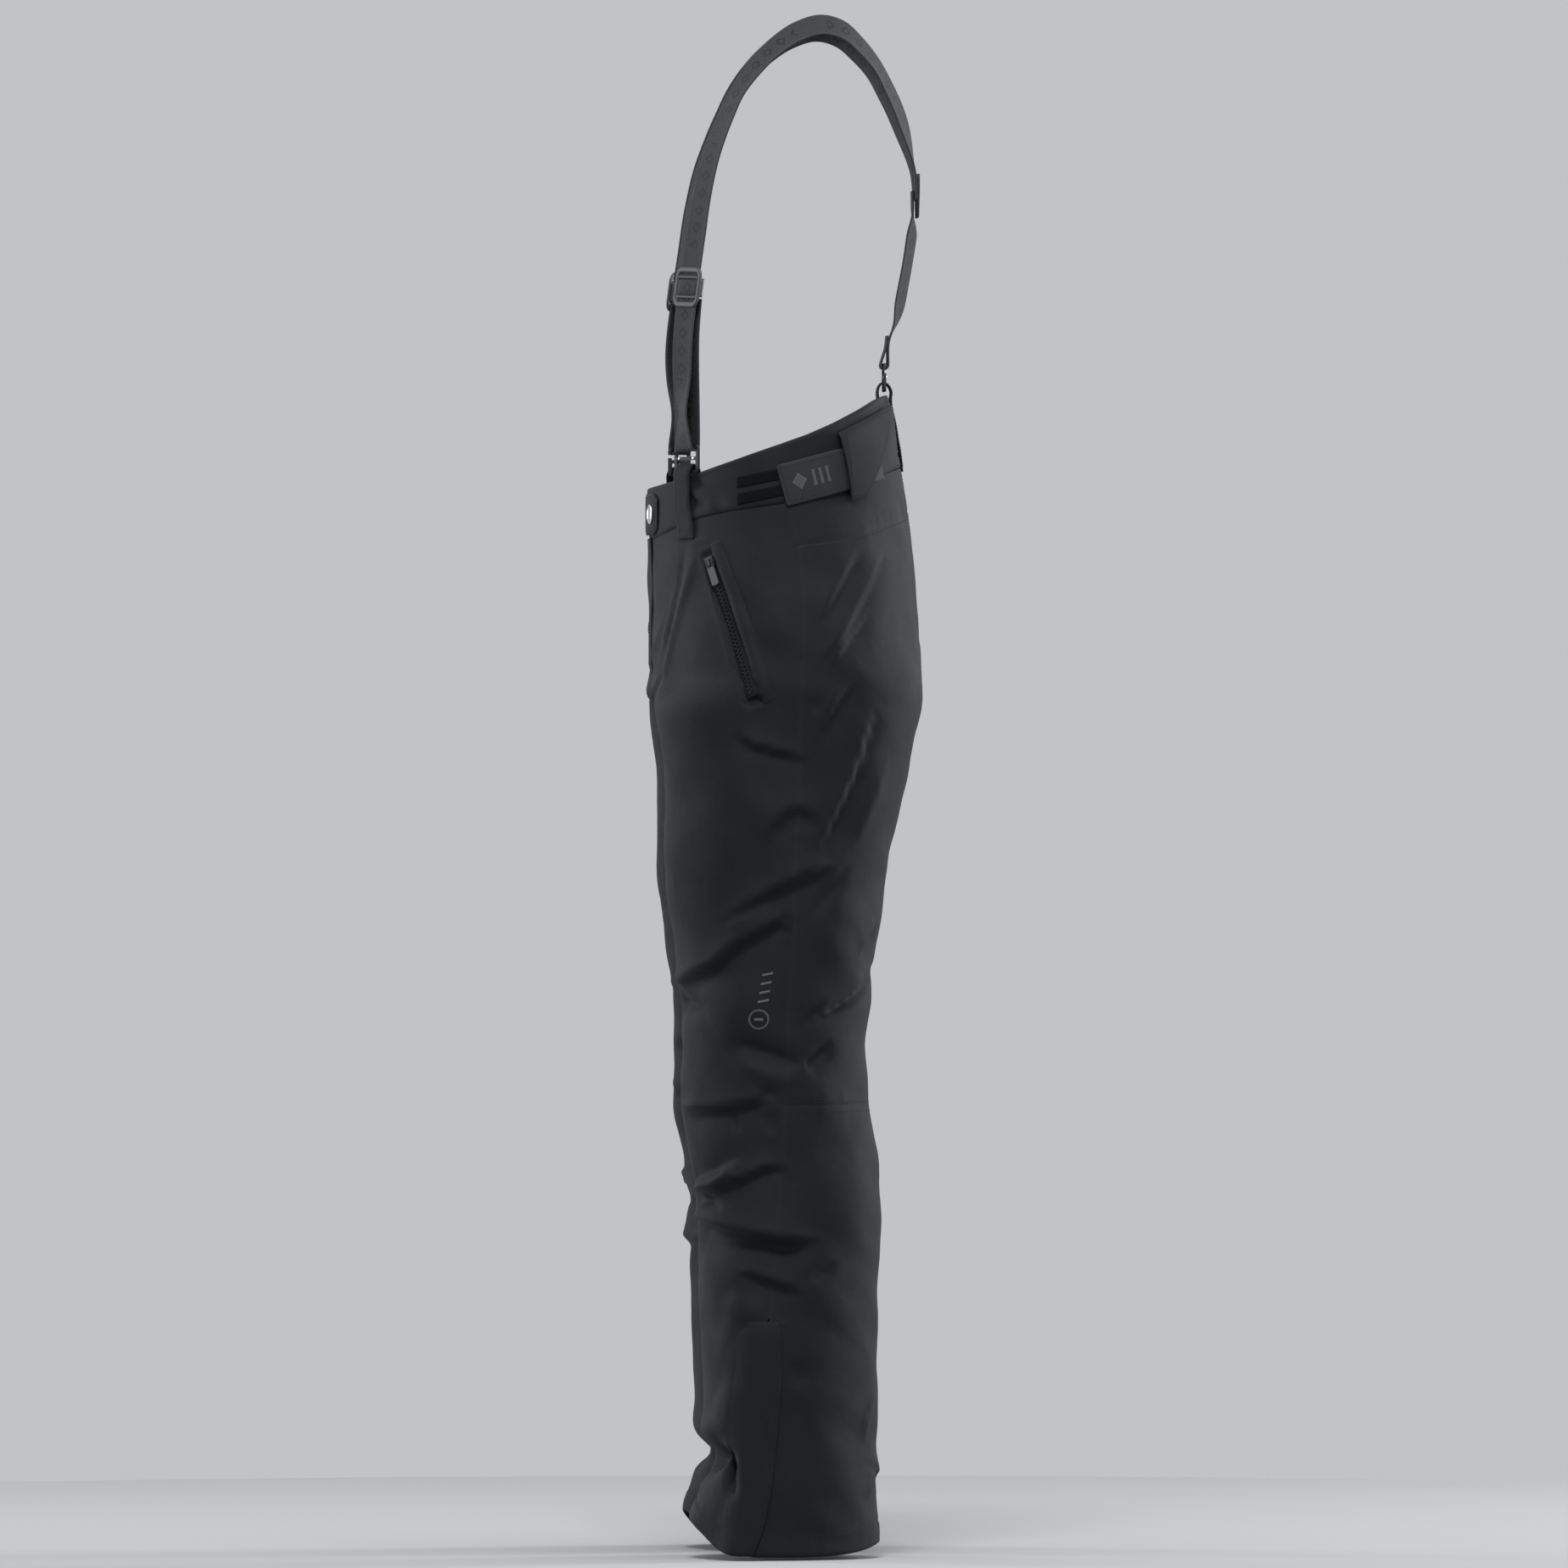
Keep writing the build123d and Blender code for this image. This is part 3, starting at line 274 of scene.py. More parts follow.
# kind, height in mm, half width in mm, share of the length over which it fades at each end, points (y, z) in mm as seen from the side
FOLDS = [
    ("r", 3.1, 5.7, 0.3, 0.3, [(-81.2, -93.5), (-98.4, -148.4), (-114.0, -217.3), (-118.9, -243.5)]),
    ("v", 2.8, 4.9, 0.3, 0.3, [(-93.5, -94.3), (-106.6, -153.3), (-115.6, -209.1)]),
    ("r", 2.4, 4.1, 0.3, 0.3, [(-100.0, -114.0), (-110.7, -165.6), (-118.9, -209.1)]),
    ("s", 3.2, 8.2, 0.4, 0.3, [(23.8, -181.2), (56.6, -123.0), (72.2, -98.4)]),
    ("s", 3.8, 9.0, 0.4, 0.3, [(23.8, -214.0), (50.0, -187.0), (76.3, -141.9), (95.1, -96.8)]),
    ("s", 3.0, 8.2, 0.4, 0.4, [(37.7, -219.8), (58.2, -188.6), (82.8, -157.4)]),
    ("s", 3.8, 9.8, 0.4, 0.4, [(27.9, -290.3), (41.0, -257.5), (67.2, -219.8)]),
    ("s", 3.0, 9.0, 0.4, 0.4, [(67.2, -304.2), (82.8, -252.6)]),
    ("s", 4.6, 9.0, 0.3, 0.4, [(24.6, -394.4), (42.6, -360.8), (66.4, -308.3), (76.3, -274.7)]),
    ("r", 2.6, 7.4, 0.4, 0.4, [(52.5, -398.5), (69.7, -371.5), (98.4, -291.1)]),
    ("v", 3.2, 7.4, 0.4, 0.4, [(16.4, -460.0), (29.5, -442.0), (61.5, -398.5)]),
    ("s", 4.9, 12.3, 0.45, 0.25, [(-25.4, -392.0), (-13.9, -366.5), (8.2, -350.1), (31.2, -366.5)]),
    ("s", 6.8, 12.3, 0.4, 0.2, [(-68.9, -456.7), (-42.6, -443.6), (5.7, -418.2), (44.3, -402.6)]),
    ("r", 3.8, 8.2, 0.4, 0.5, [(-64.0, -461.7), (-41.0, -453.5), (-13.9, -438.7)]),
    ("s", 7.6, 12.3, 0.4, 0.06, [(-106.6, -520.7), (-73.8, -501.0), (-47.6, -478.9), (-4.9, -455.1)]),
    ("v", 3.8, 5.7, 0.2, 0.2, [(-9.0, -451.8), (-4.9, -469.9)]),
    ("v", 11.2, 10.7, 0.3, 0.5, [(-123.0, -535.5), (-93.5, -537.1), (-80.4, -545.3), (-75.4, -560.1)]),
    ("r", 4.1, 7.4, 0.2, 0.5, [(-106.6, -502.7), (-88.6, -530.5), (-73.8, -527.3)]),
    ("v", 10.0, 7.4, 0.35, 0.25, [(5.7, -564.2), (23.0, -551.0), (45.1, -540.4), (82.0, -514.1), (106.6, -501.0)]),
    ("r", 5.0, 9.8, 0.3, 0.3, [(14.8, -545.3), (42.6, -528.9), (75.4, -504.3)]),
    ("s", 4.3, 7.4, 0.3, 0.3, [(65.6, -489.5), (75.4, -476.4), (85.3, -455.1)]),
    ("v", 6.8, 8.2, 0.4, 0.25, [(-58.2, -569.9), (-19.7, -583.0), (16.4, -595.3)]),
    ("v", 5.5, 7.4, 0.15, 0.5, [(14.8, -596.1), (31.2, -584.7), (44.3, -568.3)]),
    ("r", 3.6, 9.8, 0.4, 0.4, [(-64.0, -583.0), (-16.4, -604.3), (19.7, -610.9)]),
    ("s", 6.2, 10.7, 0.35, 0.15, [(-98.4, -638.8), (-60.7, -635.5), (-18.0, -625.7)]),
    ("v", 3.8, 4.9, 0.3, 0.3, [(-24.6, -616.6), (-13.9, -624.8)]),
    ("v", 2.8, 4.1, 0.3, 0.3, [(-53.3, -640.4), (-51.7, -658.5)]),
    ("v", 3.5, 4.9, 0.3, 0.3, [(-23.0, -637.1), (-17.2, -648.6), (-20.5, -660.1)]),
    ("r", 5.5, 7.4, 0.25, 0.35, [(-88.6, -719.1), (-72.2, -709.3), (-55.8, -696.2), (-37.7, -682.2)]),
    ("t", 6.0, 9.8, 0.3, 0.3, [(-88.6, -710.9), (-68.9, -699.5), (-42.6, -683.1)]),
    ("s", 5.9, 8.2, 0.3, 0.4, [(-68.9, -715.9), (-42.6, -702.7), (-13.9, -691.3), (3.3, -706.0)]),
    ("v", 12.5, 7.4, 0.35, 0.4, [(-101.7, -720.8), (-78.7, -722.4), (-67.2, -727.3), (-58.2, -737.2)]),
    ("s", 11.3, 13.9, 0.25, 0.22, [(-98.4, -740.5), (-73.8, -748.7), (-32.8, -758.5), (8.2, -763.4), (34.4, -760.1)]),
    ("s", 5.4, 9.8, 0.4, 0.3, [(-53.3, -790.5), (-20.5, -801.1), (15.6, -814.3)]),
    ("v", 3.2, 6.6, 0.4, 0.4, [(16.4, -799.5), (29.5, -794.6), (49.2, -783.9)]),
    ("b", 3.2, 11.5, 0.4, 0.4, [(-67.2, -821.6), (-41.0, -829.0), (-9.8, -836.4)]),
    ("v", 3.2, 7.4, 0.4, 0.4, [(1.6, -877.4), (9.8, -889.7), (18.0, -906.9)]),
    ("s", 4.6, 7.4, 0.3, 0.3, [(-51.7, -271.4), (-36.1, -288.6), (-6.6, -296.8), (22.1, -305.0)]),
    ("v", 2.2, 6.6, 0.4, 0.4, [(14.8, -246.8), (32.8, -255.0)]),
    ("v", 2.5, 4.9, 0.3, 0.3, [(-56.6, -1028.3), (-45.1, -1034.8)]),
    ("r", 2.9, 6.6, 0.4, 0.4, [(84.5, -897.1), (77.1, -930.7), (73.0, -961.9)]),
    ("r", 2.9, 6.6, 0.4, 0.4, [(87.7, -979.9), (80.4, -1000.4), (76.3, -1018.4)]),
    ("b", 3.7, 24.6, 0.4, 0.4, [(-68.9, -574.8), (-41.0, -537.1), (-12.3, -512.5)]),
    ("b", 3.0, 21.3, 0.4, 0.4, [(57.4, -660.1), (65.6, -717.5), (62.3, -783.1)]),
    ("b", 3.0, 21.3, 0.4, 0.4, [(-57.4, -889.7), (-57.4, -930.7), (-68.9, -955.3)]),
    ("b", 2.8, 32.8, 0.4, 0.4, [(-57.4, -307.5), (-52.5, -356.7), (-60.7, -414.1)]),
    ("b", 3.4, 24.6, 0.4, 0.4, [(65.6, -422.3), (49.2, -463.3), (24.6, -496.1)]),
]


# the same, with points as (distance round from the side seam, height), for the front, the inside and the back of the leg
MORE_FOLDS = [
    ("s", 3.6, 9.0, 0.35, 0.45, [(-262, -268), (-225, -244), (-180, -214)]),
    ("s", 3.0, 8.5, 0.3, 0.45, [(-262, -300), (-222, -292), (-165, -268)]),
    ("r", 2.4, 8.0, 0.4, 0.4, [(-252, -226), (-214, -190), (-176, -160)]),
    ("s", 3.0, 10.0, 0.4, 0.4, [(-272, -392), (-232, -378), (-182, -350)]),
    ("v", 2.4, 9.0, 0.4, 0.4, [(-236, -470), (-196, -452), (-150, -440)]),
    ("s", 4.6, 11.0, 0.35, 0.4, [(-240, -546), (-196, -566), (-140, -574)]),
    ("s", 3.6, 10.0, 0.4, 0.4, [(-222, -604), (-180, -616), (-132, -606)]),
    ("s", 4.8, 11.0, 0.35, 0.4, [(-246, -702), (-200, -722), (-146, -724)]),
    ("s", 4.0, 10.0, 0.4, 0.4, [(-236, -760), (-192, -782), (-140, -778)]),
    ("v", 3.0, 8.0, 0.4, 0.4, [(-232, -834), (-196, -846), (-158, -838)]),
    ("b", 3.4, 22.0, 0.4, 0.4, [(-228, -880), (-222, -940), (-206, -992)]),
    ("b", 3.0, 26.0, 0.4, 0.4, [(-160, -330), (-154, -410), (-150, -480)]),
    ("s", 4.2, 11.0, 0.4, 0.35, [(158, -292), (206, -304), (256, -292)]),
    ("s", 3.4, 10.0, 0.4, 0.35, [(170, -338), (214, -356), (262, -344)]),
    ("v", 2.4, 9.0, 0.4, 0.4, [(150, -420), (192, -444), (236, -452)]),
    ("s", 4.6, 11.0, 0.4, 0.35, [(150, -572), (196, -590), (244, -584)]),
    ("s", 4.4, 10.0, 0.4, 0.35, [(156, -612), (202, -632), (250, -624)]),
    ("s", 3.8, 10.0, 0.4, 0.4, [(152, -668), (196, -688), (240, -680)]),
    ("s", 3.0, 10.0, 0.4, 0.4, [(162, -730), (202, -744), (240, -738)]),
    ("b", 3.2, 24.0, 0.4, 0.4, [(196, -770), (204, -840), (198, -910)]),
    ("s", 3.2, 10.0, 0.4, 0.4, [(126, -972), (172, -990), (222, -984)]),
    ("b", 2.8, 26.0, 0.4, 0.4, [(168, -380), (160, -450), (150, -520)]),
    ("v", 2.0, 9.0, 0.4, 0.4, [(196, -120), (214, -170), (238, -214)]),
]


def fold_fields(U, Z, vary):
    """Height of all folds over a grid; vary shifts and scales them a little for the other leg."""
    rng = np.random.default_rng(11 + vary)
    H = np.zeros(U.shape)
    lines = [(f[:5], np.array(to_uz(f[5]), float)) for f in FOLDS] + [(f[:5], np.array(f[5], float)) for f in MORE_FOLDS]
    for (kind, amp, w, fa, fb), line in lines:
        if vary:
            line += rng.normal(0, 1, 2) * (5, 9)
            c = line.mean(0)
            a = rng.normal(0, 0.10)
            r = np.array([[math.cos(a), -math.sin(a)], [math.sin(a), math.cos(a)]])
            line = (line - c) @ r.T * rng.uniform(0.88, 1.12) + c
            amp *= rng.uniform(0.8, 1.1)
        line = smooth_line(line, 20)
        m = (np.abs(Z - line[:, 1].mean()) < np.ptp(line[:, 1]) / 2 + 4.5 * w + 6)
        if not m.any():
            continue
        d, t, _ = line_field(U[m], Z[m], line)
        taper = ease(np.clip(t / max(1e-3, fa), 0, 1)) * ease(np.clip((1 - t) / max(1e-3, fb), 0, 1))
        # width also closes in at the ends
        ww = w * (0.55 + 0.45 * taper)
        ends = np.where((t <= 0) | (t >= 1), 0.0, 1.0)
        H[m] += amp * taper * ends * profile(kind, d / ww)
    return H


def soft_noise(U, Z, seed, lo, hi, amp, n=46, slant=0.5):
    """Sum of many low waves, seeded."""
    rng = np.random.default_rng(seed)
    H = np.zeros(U.shape)
    for _ in range(n):
        lam = math.exp(rng.uniform(math.log(lo), math.log(hi)))
        a = rng.normal(slant, 0.7)
        k = 2 * math.pi / lam
        H += np.sin(k * (U * math.sin(a) + Z * math.cos(a)) + rng.uniform(0, 6.28)) * (lam / hi) ** 0.7
    return H * amp / math.sqrt(n)


# ---------------------------------------------------------------- grids
UT_Z = np.arange(-1080.0, 60.1, 4.0)
UT_P = np.linspace(0, 1, 401)
_g = surf(UT_P[None, :], UT_Z[:, None])
UT = np.concatenate([np.zeros((len(UT_Z), 1)), np.cumsum(np.linalg.norm(np.diff(_g, axis=1), axis=2), axis=1)], axis=1)
UT -= UT[:, 200:201]


def arc_u(phi, z):
    """Distance round from the side seam at a given phi and height."""
    a = np.clip((z - UT_Z[0]) / 4.0, 0, len(UT_Z) - 1.001)
    b = np.clip(phi * 400.0, 0, 399.999)
    i, j = a.astype(int), b.astype(int)
    f, g = a - i, b - j
    return UT[i, j] * (1 - f) * (1 - g) + UT[i + 1, j] * f * (1 - g) + UT[i, j + 1] * (1 - f) * g + UT[i + 1, j + 1] * f * g


NC = 96
N_YOKE, N_TOP, N_THIGH, N_SHIN, N_HEM = 7, 10, 84, 66, 8
R_YOKE, R_TOP = N_YOKE, N_YOKE + N_TOP
R_KNEE = R_TOP + N_THIGH
R_LOW = R_KNEE + N_SHIN
NR = R_LOW + N_HEM


def row_heights(phi):
    bb, yl, hm = band_bottom(phi), yoke_line(phi), hem(phi)
    out = [bb + (yl - bb) * k / N_YOKE for k in range(N_YOKE)]
    out += [yl + (-150 - yl) * k / N_TOP for k in range(N_TOP)]
    out += [-150 + (KNEE_Z + 150) * k / N_THIGH + 0 * phi for k in range(N_THIGH)]
    out += [KNEE_Z + (-1008 - KNEE_Z) * k / N_SHIN + 0 * phi for k in range(N_SHIN)]
    out += [-1008 + (hm + 1008) * k / N_HEM for k in range(N_HEM + 1)]
    return np.array(out)


def base_grid():
    p0 = np.linspace(0, 1, NC + 1)
    Z = row_heights(p0)
    PHI = np.repeat(p0[None, :], NR + 1, 0)
    for i in range(NR + 1):
        z = Z[i, 0]
        if z > FLY_LOW - 6:
            e = fly_edge(z)
            m = p0 < 0.14
            PHI[i, m] = e + p0[m] * (1 - e / 0.14)
    return PHI, Z


def welded(P, PHI, Z):
    """Brings the two legs together along the crotch."""
    P = P.copy()
    for i in range(P.shape[0]):
        for j in (0, -1):
            if Z[i, j] > -300 and not (j == 0 and Z[i, 0] > FLY_LOW - 6):
                P[i, j, 0] *= float(ease((-284 - Z[i, j]) / 16))
    return P


def grid_normals(P, wrap_cols=None):
    a = np.gradient(P, axis=1)
    b = np.gradient(P, axis=0)
    if wrap_cols is not None:
        d = (P[:, 1] - P[:, -2]) / 2
        a[wrap_cols, 0] = d[wrap_cols]
        a[wrap_cols, -1] = d[wrap_cols]
    # columns run front to back and rows run downwards, so this points outwards on the left half
    n = np.cross(b, a)
    return unit(n)


def upsample(A):
    """Twice as fine both ways, through the given points."""

    def once(A):
        E = np.concatenate([2 * A[:1] - A[1:2], A, 2 * A[-1:] - A[-2:-1]], 0)
        mid = (-E[:-3] + 9 * E[1:-2] + 9 * E[2:-1] - E[3:]) / 16
        out = np.empty((2 * A.shape[0] - 1,) + A.shape[1:])
        out[::2] = A
        out[1::2] = mid
        return out

    A = once(A)
    return np.swapaxes(once(np.swapaxes(A, 0, 1)), 0, 1)


def add_mesh(name, verts, faces, uvs=None, smooth=True):
    """A mesh object from points in mm."""
    me = bpy.data.meshes.new(name)
    v = np.asarray(verts, float).reshape(-1, 3) * MM
    me.from_pydata(v.tolist(), [], [list(map(int, f)) for f in faces])
    if uvs is not None:
        uv = me.uv_layers.new(name="UVMap")
        li = np.empty(len(me.loops), int)
        me.loops.foreach_get("vertex_index", li)
        u = np.asarray(uvs, float).reshape(-1, 2)[li] * MM
        uv.data.foreach_set("uv", u.astype(np.float32).ravel())
    if smooth:
        me.polygons.foreach_set("use_smooth", [True] * len(me.polygons))
    me.validate()
    me.update()
    o = bpy.data.objects.new(name, me)
    SCENE.collection.objects.link(o)
    return o


def relax(P, pin, frames, bend, shrink, name):
    """Lets a grid of cloth settle; pin holds each point near where it was put, 0 free to 1 fixed."""
    R, C = P.shape[:2]
    idx = np.arange(R * C).reshape(R, C)
    q = np.stack([idx[:-1, :-1], idx[1:, :-1], idx[1:, 1:], idx[:-1, 1:]], -1).reshape(-1, 4)
    o = add_mesh(name, P, q)
    vg = o.vertex_groups.new(name="pin")
    w = np.round(pin.reshape(-1), 2)
    for val in np.unique(w):
        vg.add([int(k) for k in np.nonzero(w == val)[0]], float(val), "REPLACE")
    mod = o.modifiers.new("cloth", "CLOTH")
    s = mod.settings
    s.quality = 5
    s.mass = 0.25
    s.air_damping = 4.0
    s.tension_stiffness = 14
    s.compression_stiffness = 10
    s.shear_stiffness = 4
    s.bending_stiffness = bend
    s.tension_damping = s.compression_damping = s.shear_damping = 12
    s.bending_damping = 3
    s.vertex_group_mass = "pin"
    s.pin_stiffness = 1.0
    s.shrink_min = shrink
    s.effector_weights.gravity = 0.25
    mod.collision_settings.use_collision = False
    mod.collision_settings.use_self_collision = False
    mod.point_cache.frame_start, mod.point_cache.frame_end = 1, frames
    for f in range(1, frames + 1):
        SCENE.frame_set(f)
    ev = o.evaluated_get(bpy.context.evaluated_depsgraph_get())
    co = np.empty(R * C * 3)
    ev.data.vertices.foreach_get("co", co)
    me = o.data
    bpy.data.objects.remove(o)
    bpy.data.meshes.remove(me)
    SCENE.frame_set(1)
    return co.reshape(R, C, 3) / MM


ANKLE_GAP = 7.8


def pocket_frame():
    out = []
    for y, z in ((-75.0, -108.0), (-35.0, -243.0)):
        q = np.linspace(0.1, 0.5, 600)
        p = plain_surf(q, z)
        out.append(plain_surf(float(np.interp(y, p[:, 1], q)), z))
    return out


PK_A, PK_B = pocket_frame()
PK_UA, PK_UB = (side_u(p[1], p[2]) for p in (PK_A, PK_B))
PK_LEN = float(np.linalg.norm(PK_B - PK_A))


def pocket_uv(U, Z):
    """Place along the pocket zip and across it, + behind, in the plane of the fabric."""
    d = np.array([PK_UB - PK_UA, PK_B[2] - PK_A[2]])
    ln = np.linalg.norm(d)
    d = d / ln
    a = (U - PK_UA) * d[0] + (Z - PK_A[2]) * d[1]
    b = (U - PK_UA) * -d[1] + (Z - PK_A[2]) * d[0]
    return a * PK_LEN / ln, b - np.interp(a, PK_T * ln, PK_SHIFT)


def pocket_shift():
    """How far the zip's straight axis drifts across the straight line between its ends on the flat fabric."""
    d = np.array([PK_UB - PK_UA, PK_B[2] - PK_A[2]])
    d = d / np.linalg.norm(d)
    out = []
    for t in PK_T:
        p = PK_A + (PK_B - PK_A) * t
        out.append((side_u(p[1], p[2]) - PK_UA) * -d[1] + (p[2] - PK_A[2]) * d[0])
    return np.array(out)


PK_T = np.linspace(-0.05, 1.06, 13)
PK_SHIFT = pocket_shift()


def make_half(vary):
    """The folded outer surface of one half, as a fine grid (always drawn as a left half)."""
    PHI, Z = base_grid()
    U = arc_u(PHI, Z)
    P = welded(surf(PHI, Z), PHI, Z)
    N = normal(PHI, Z)
    H = fold_fields(U, Z, vary)
    # the break over the boot: the shin sags over a hollow and the hem kicks forward
    H += soft_noise(U, Z, 5 + vary, 38, 150, 1.1)
    # swelling between waist, knee and hem
    inner = (PHI < 0.2) | (PHI > 0.82)
    calm = np.ones_like(H)
    calm *= ease((Z - hem(PHI)) / 22.0)  # hem
    calm *= ease((band_bottom(PHI) - Z) / 26.0)  # waist seam
    ends = np.minimum(PHI, 1 - PHI)
    centre = ease(ends / 0.05)
    leg = legness(PHI, Z)
    calm *= np.where(leg < 0.5, centre, np.maximum(centre, 0.25))
    a, b = pocket_uv(U, Z)
    near = ease((np.abs(b) - 8) / 16)
    pk = np.where((a > -14) & (a < PK_LEN + 14), near, 1.0)
    calm *= 0.15 + 0.85 * pk
    low = ease((ZIP_TOP + 14 - Z) / 16)
    calm *= 1 - low * (1 - ease((np.abs(U) - 12) / 22)) * 0.85
    H *= calm
    P = P + N * H[..., None]
    # the break over the boot
    br = np.zeros_like(H)
    for amp, w, fa, fb, pts in (
        (24.0, 12.3, 0.3, 0.25, [(-137.8, -963.5), (-106.6, -973.3), (-77.1, -973.3), (-54.9, -966.8)]),
        (22.0, 6.6, 0.2, 0.4, [(-59.0, -960.2), (-56.6, -981.5), (-51.7, -1000.4), (-42.6, -1017.6)]),
        (-9.0, 21.3, 0.3, 0.5, [(-123.0, -1027.5), (-88.6, -1030.7), (-60.7, -1029.1)]),
        (-5.0, 16.4, 0.4, 0.4, [(-106.6, -937.3), (-77.1, -943.8), (-55.8, -947.1)]),
    ):
        line = smooth_line(to_uz(pts), 20)
        d, t, _ = line_field(U, Z, line)
        taper = ease(t / fa) * ease((1 - t) / fb)
        br += amp * taper * np.exp(-np.abs(d / w) ** 2.0)
    if vary:
        br *= 0.7
    br *= 1 - low * (1 - ease((np.abs(U) - 10) / 14))  # the zip stays straight
    P = P - N * br[..., None]
    rim = 1 - ease((Z - hem(PHI)) / 30.0)
    P = P + N * (rim * 1.2)[..., None]
    pin = np.full(H.shape, 0.22)
    pin = np.maximum(pin, 1 - calm * 0.9)
    pin[0] = pin[-1] = 1.0
    pin[:, 0] = pin[:, -1] = 1.0
    pin[:, 1] = pin[:, -2] = np.maximum(0.6, pin[:, 1])
    pin = np.where((low > 0.1) & (np.abs(U) < 14), 1.0, pin)
    pin = np.where(pk < 0.2, 0.9, pin)
    D = relax(P, pin, 22, 7.0, -0.010, "settle") - P
    # the padding under the shell carries the broad waves and irons out the small ones
    fine = D.copy()
    for _ in range(9):
        D[1:-1] = (D[:-2] + 2 * D[1:-1] + D[2:]) / 4
        D[:, 1:-1] = (D[:, :-2] + 2 * D[:, 1:-1] + D[:, 2:]) / 4
    D = 1.25 * D + 0.12 * (fine - D)
    d = np.linalg.norm(D, axis=-1, keepdims=True)
    P = P + D * np.minimum(1.0, 9.0 / np.maximum(1e-6, d))
    P, U, Z, PHI = (upsample(x) for x in (P, U, Z, PHI))
    legrow = Z[:, 0] < -302
    P[legrow, -1] = P[legrow, 0]
    return P, U, Z, PHI, legrow


def fine_detail(P, U, Z, PHI, legrow, vary):
    """Seam grooves, puckers beside them, and the recess under the pocket zip."""
    N = grid_normals(P, legrow)
    rng = np.random.default_rng(77 + vary)
    H = np.zeros(U.shape)

    def seam(d, depth, width, t, puck, span, lam):
        """d is the distance from the seam line, t the place along it in mm."""
        H_ = -depth * np.exp(-((d / width) ** 2))
        w = np.exp(-((d / span) ** 2)) * (1 - np.exp(-((d / 2.5) ** 2)))
        ph = rng.uniform(0, 6.28, 4)
        s = sum(np.sin(2 * np.pi * t / (lam * q) + p + 0.02 * d) for q, p in zip((1, 1.37, 0.71, 2.1), ph)) / 4
        return H_ + puck * w * s

    knee = seam(Z - KNEE_Z, 0.55, 2.2, U, 0.5, 13, 17)
    H += knee * (0.15 + 0.85 * ease((U + 8) / 20) * ease((88 - U) / 22))
    yl = yoke_line(PHI)
    H += np.where(PHI >= 0.49, seam(Z - yl, 0.5, 2.0, U, 0.3, 12, 19), 0)
    side = seam(U, 0.34, 2.2, Z, 0.26, 12, 21)
    H += side * (0.18 + 0.82 * ease((-700 - Z) / 90))
    hm = hem(PHI)
    dz = Z - (hm + 20)
    H += seam(dz, 0.55, 1.8, U, 0.45, 12, 15)
    dcb = np.minimum(np.abs(arc_u(np.ones_like(PHI), Z) - U), np.abs(U - arc_u(np.zeros_like(PHI), Z)))
    H += seam(dcb, 0.7, 2.6, Z, 0.35, 12, 20)
    # pocket
    a, b = pocket_uv(U, Z)
    inside = ease((a + 5) / 3.5) * ease((PK_LEN + 10.5 - a) / 3.5)
    H -= (3.1 + 3.3 * np.sin(np.pi * np.clip(a / PK_LEN, 0, 1)) + 1.8 * ease((a - PK_LEN + 14) / 8)) * inside * (1 - ease((np.abs(b) - 7.9) / 2.4))
    H += 0.9 * inside * np.exp(-(((b + 9.5) / 3.0) ** 2))
    return P + N * H[..., None]


def resample_ankle(P, U, Z, PHI):
    """Opens the side seam below the top of the ankle zip: returns the shin's and the calf's columns there."""
    mid = P.shape[1] // 2
    F = P[:, : mid + 1].copy()
    B = P[:, mid:].copy()
    for i in range(P.shape[0]):
        z = Z[i, mid]
        k = float(ease((ZIP_TOP + 8 - z) / 10))
        if k <= 0:
            continue
        g, reach = ANKLE_GAP * k, 30.0
        u = U[i]
        for half, part, sl, sg in ((F, "f", slice(0, mid + 1), -1), (B, "b", slice(mid, None), 1)):
            uu = u[sl]
            a = np.abs(uu)
            want = np.where(a < reach, g + a * (reach - g) / reach, a) * sg
            for c in range(3):
                half[i, :, c] = np.interp(want, u, P[i, :, c])
    return F, B


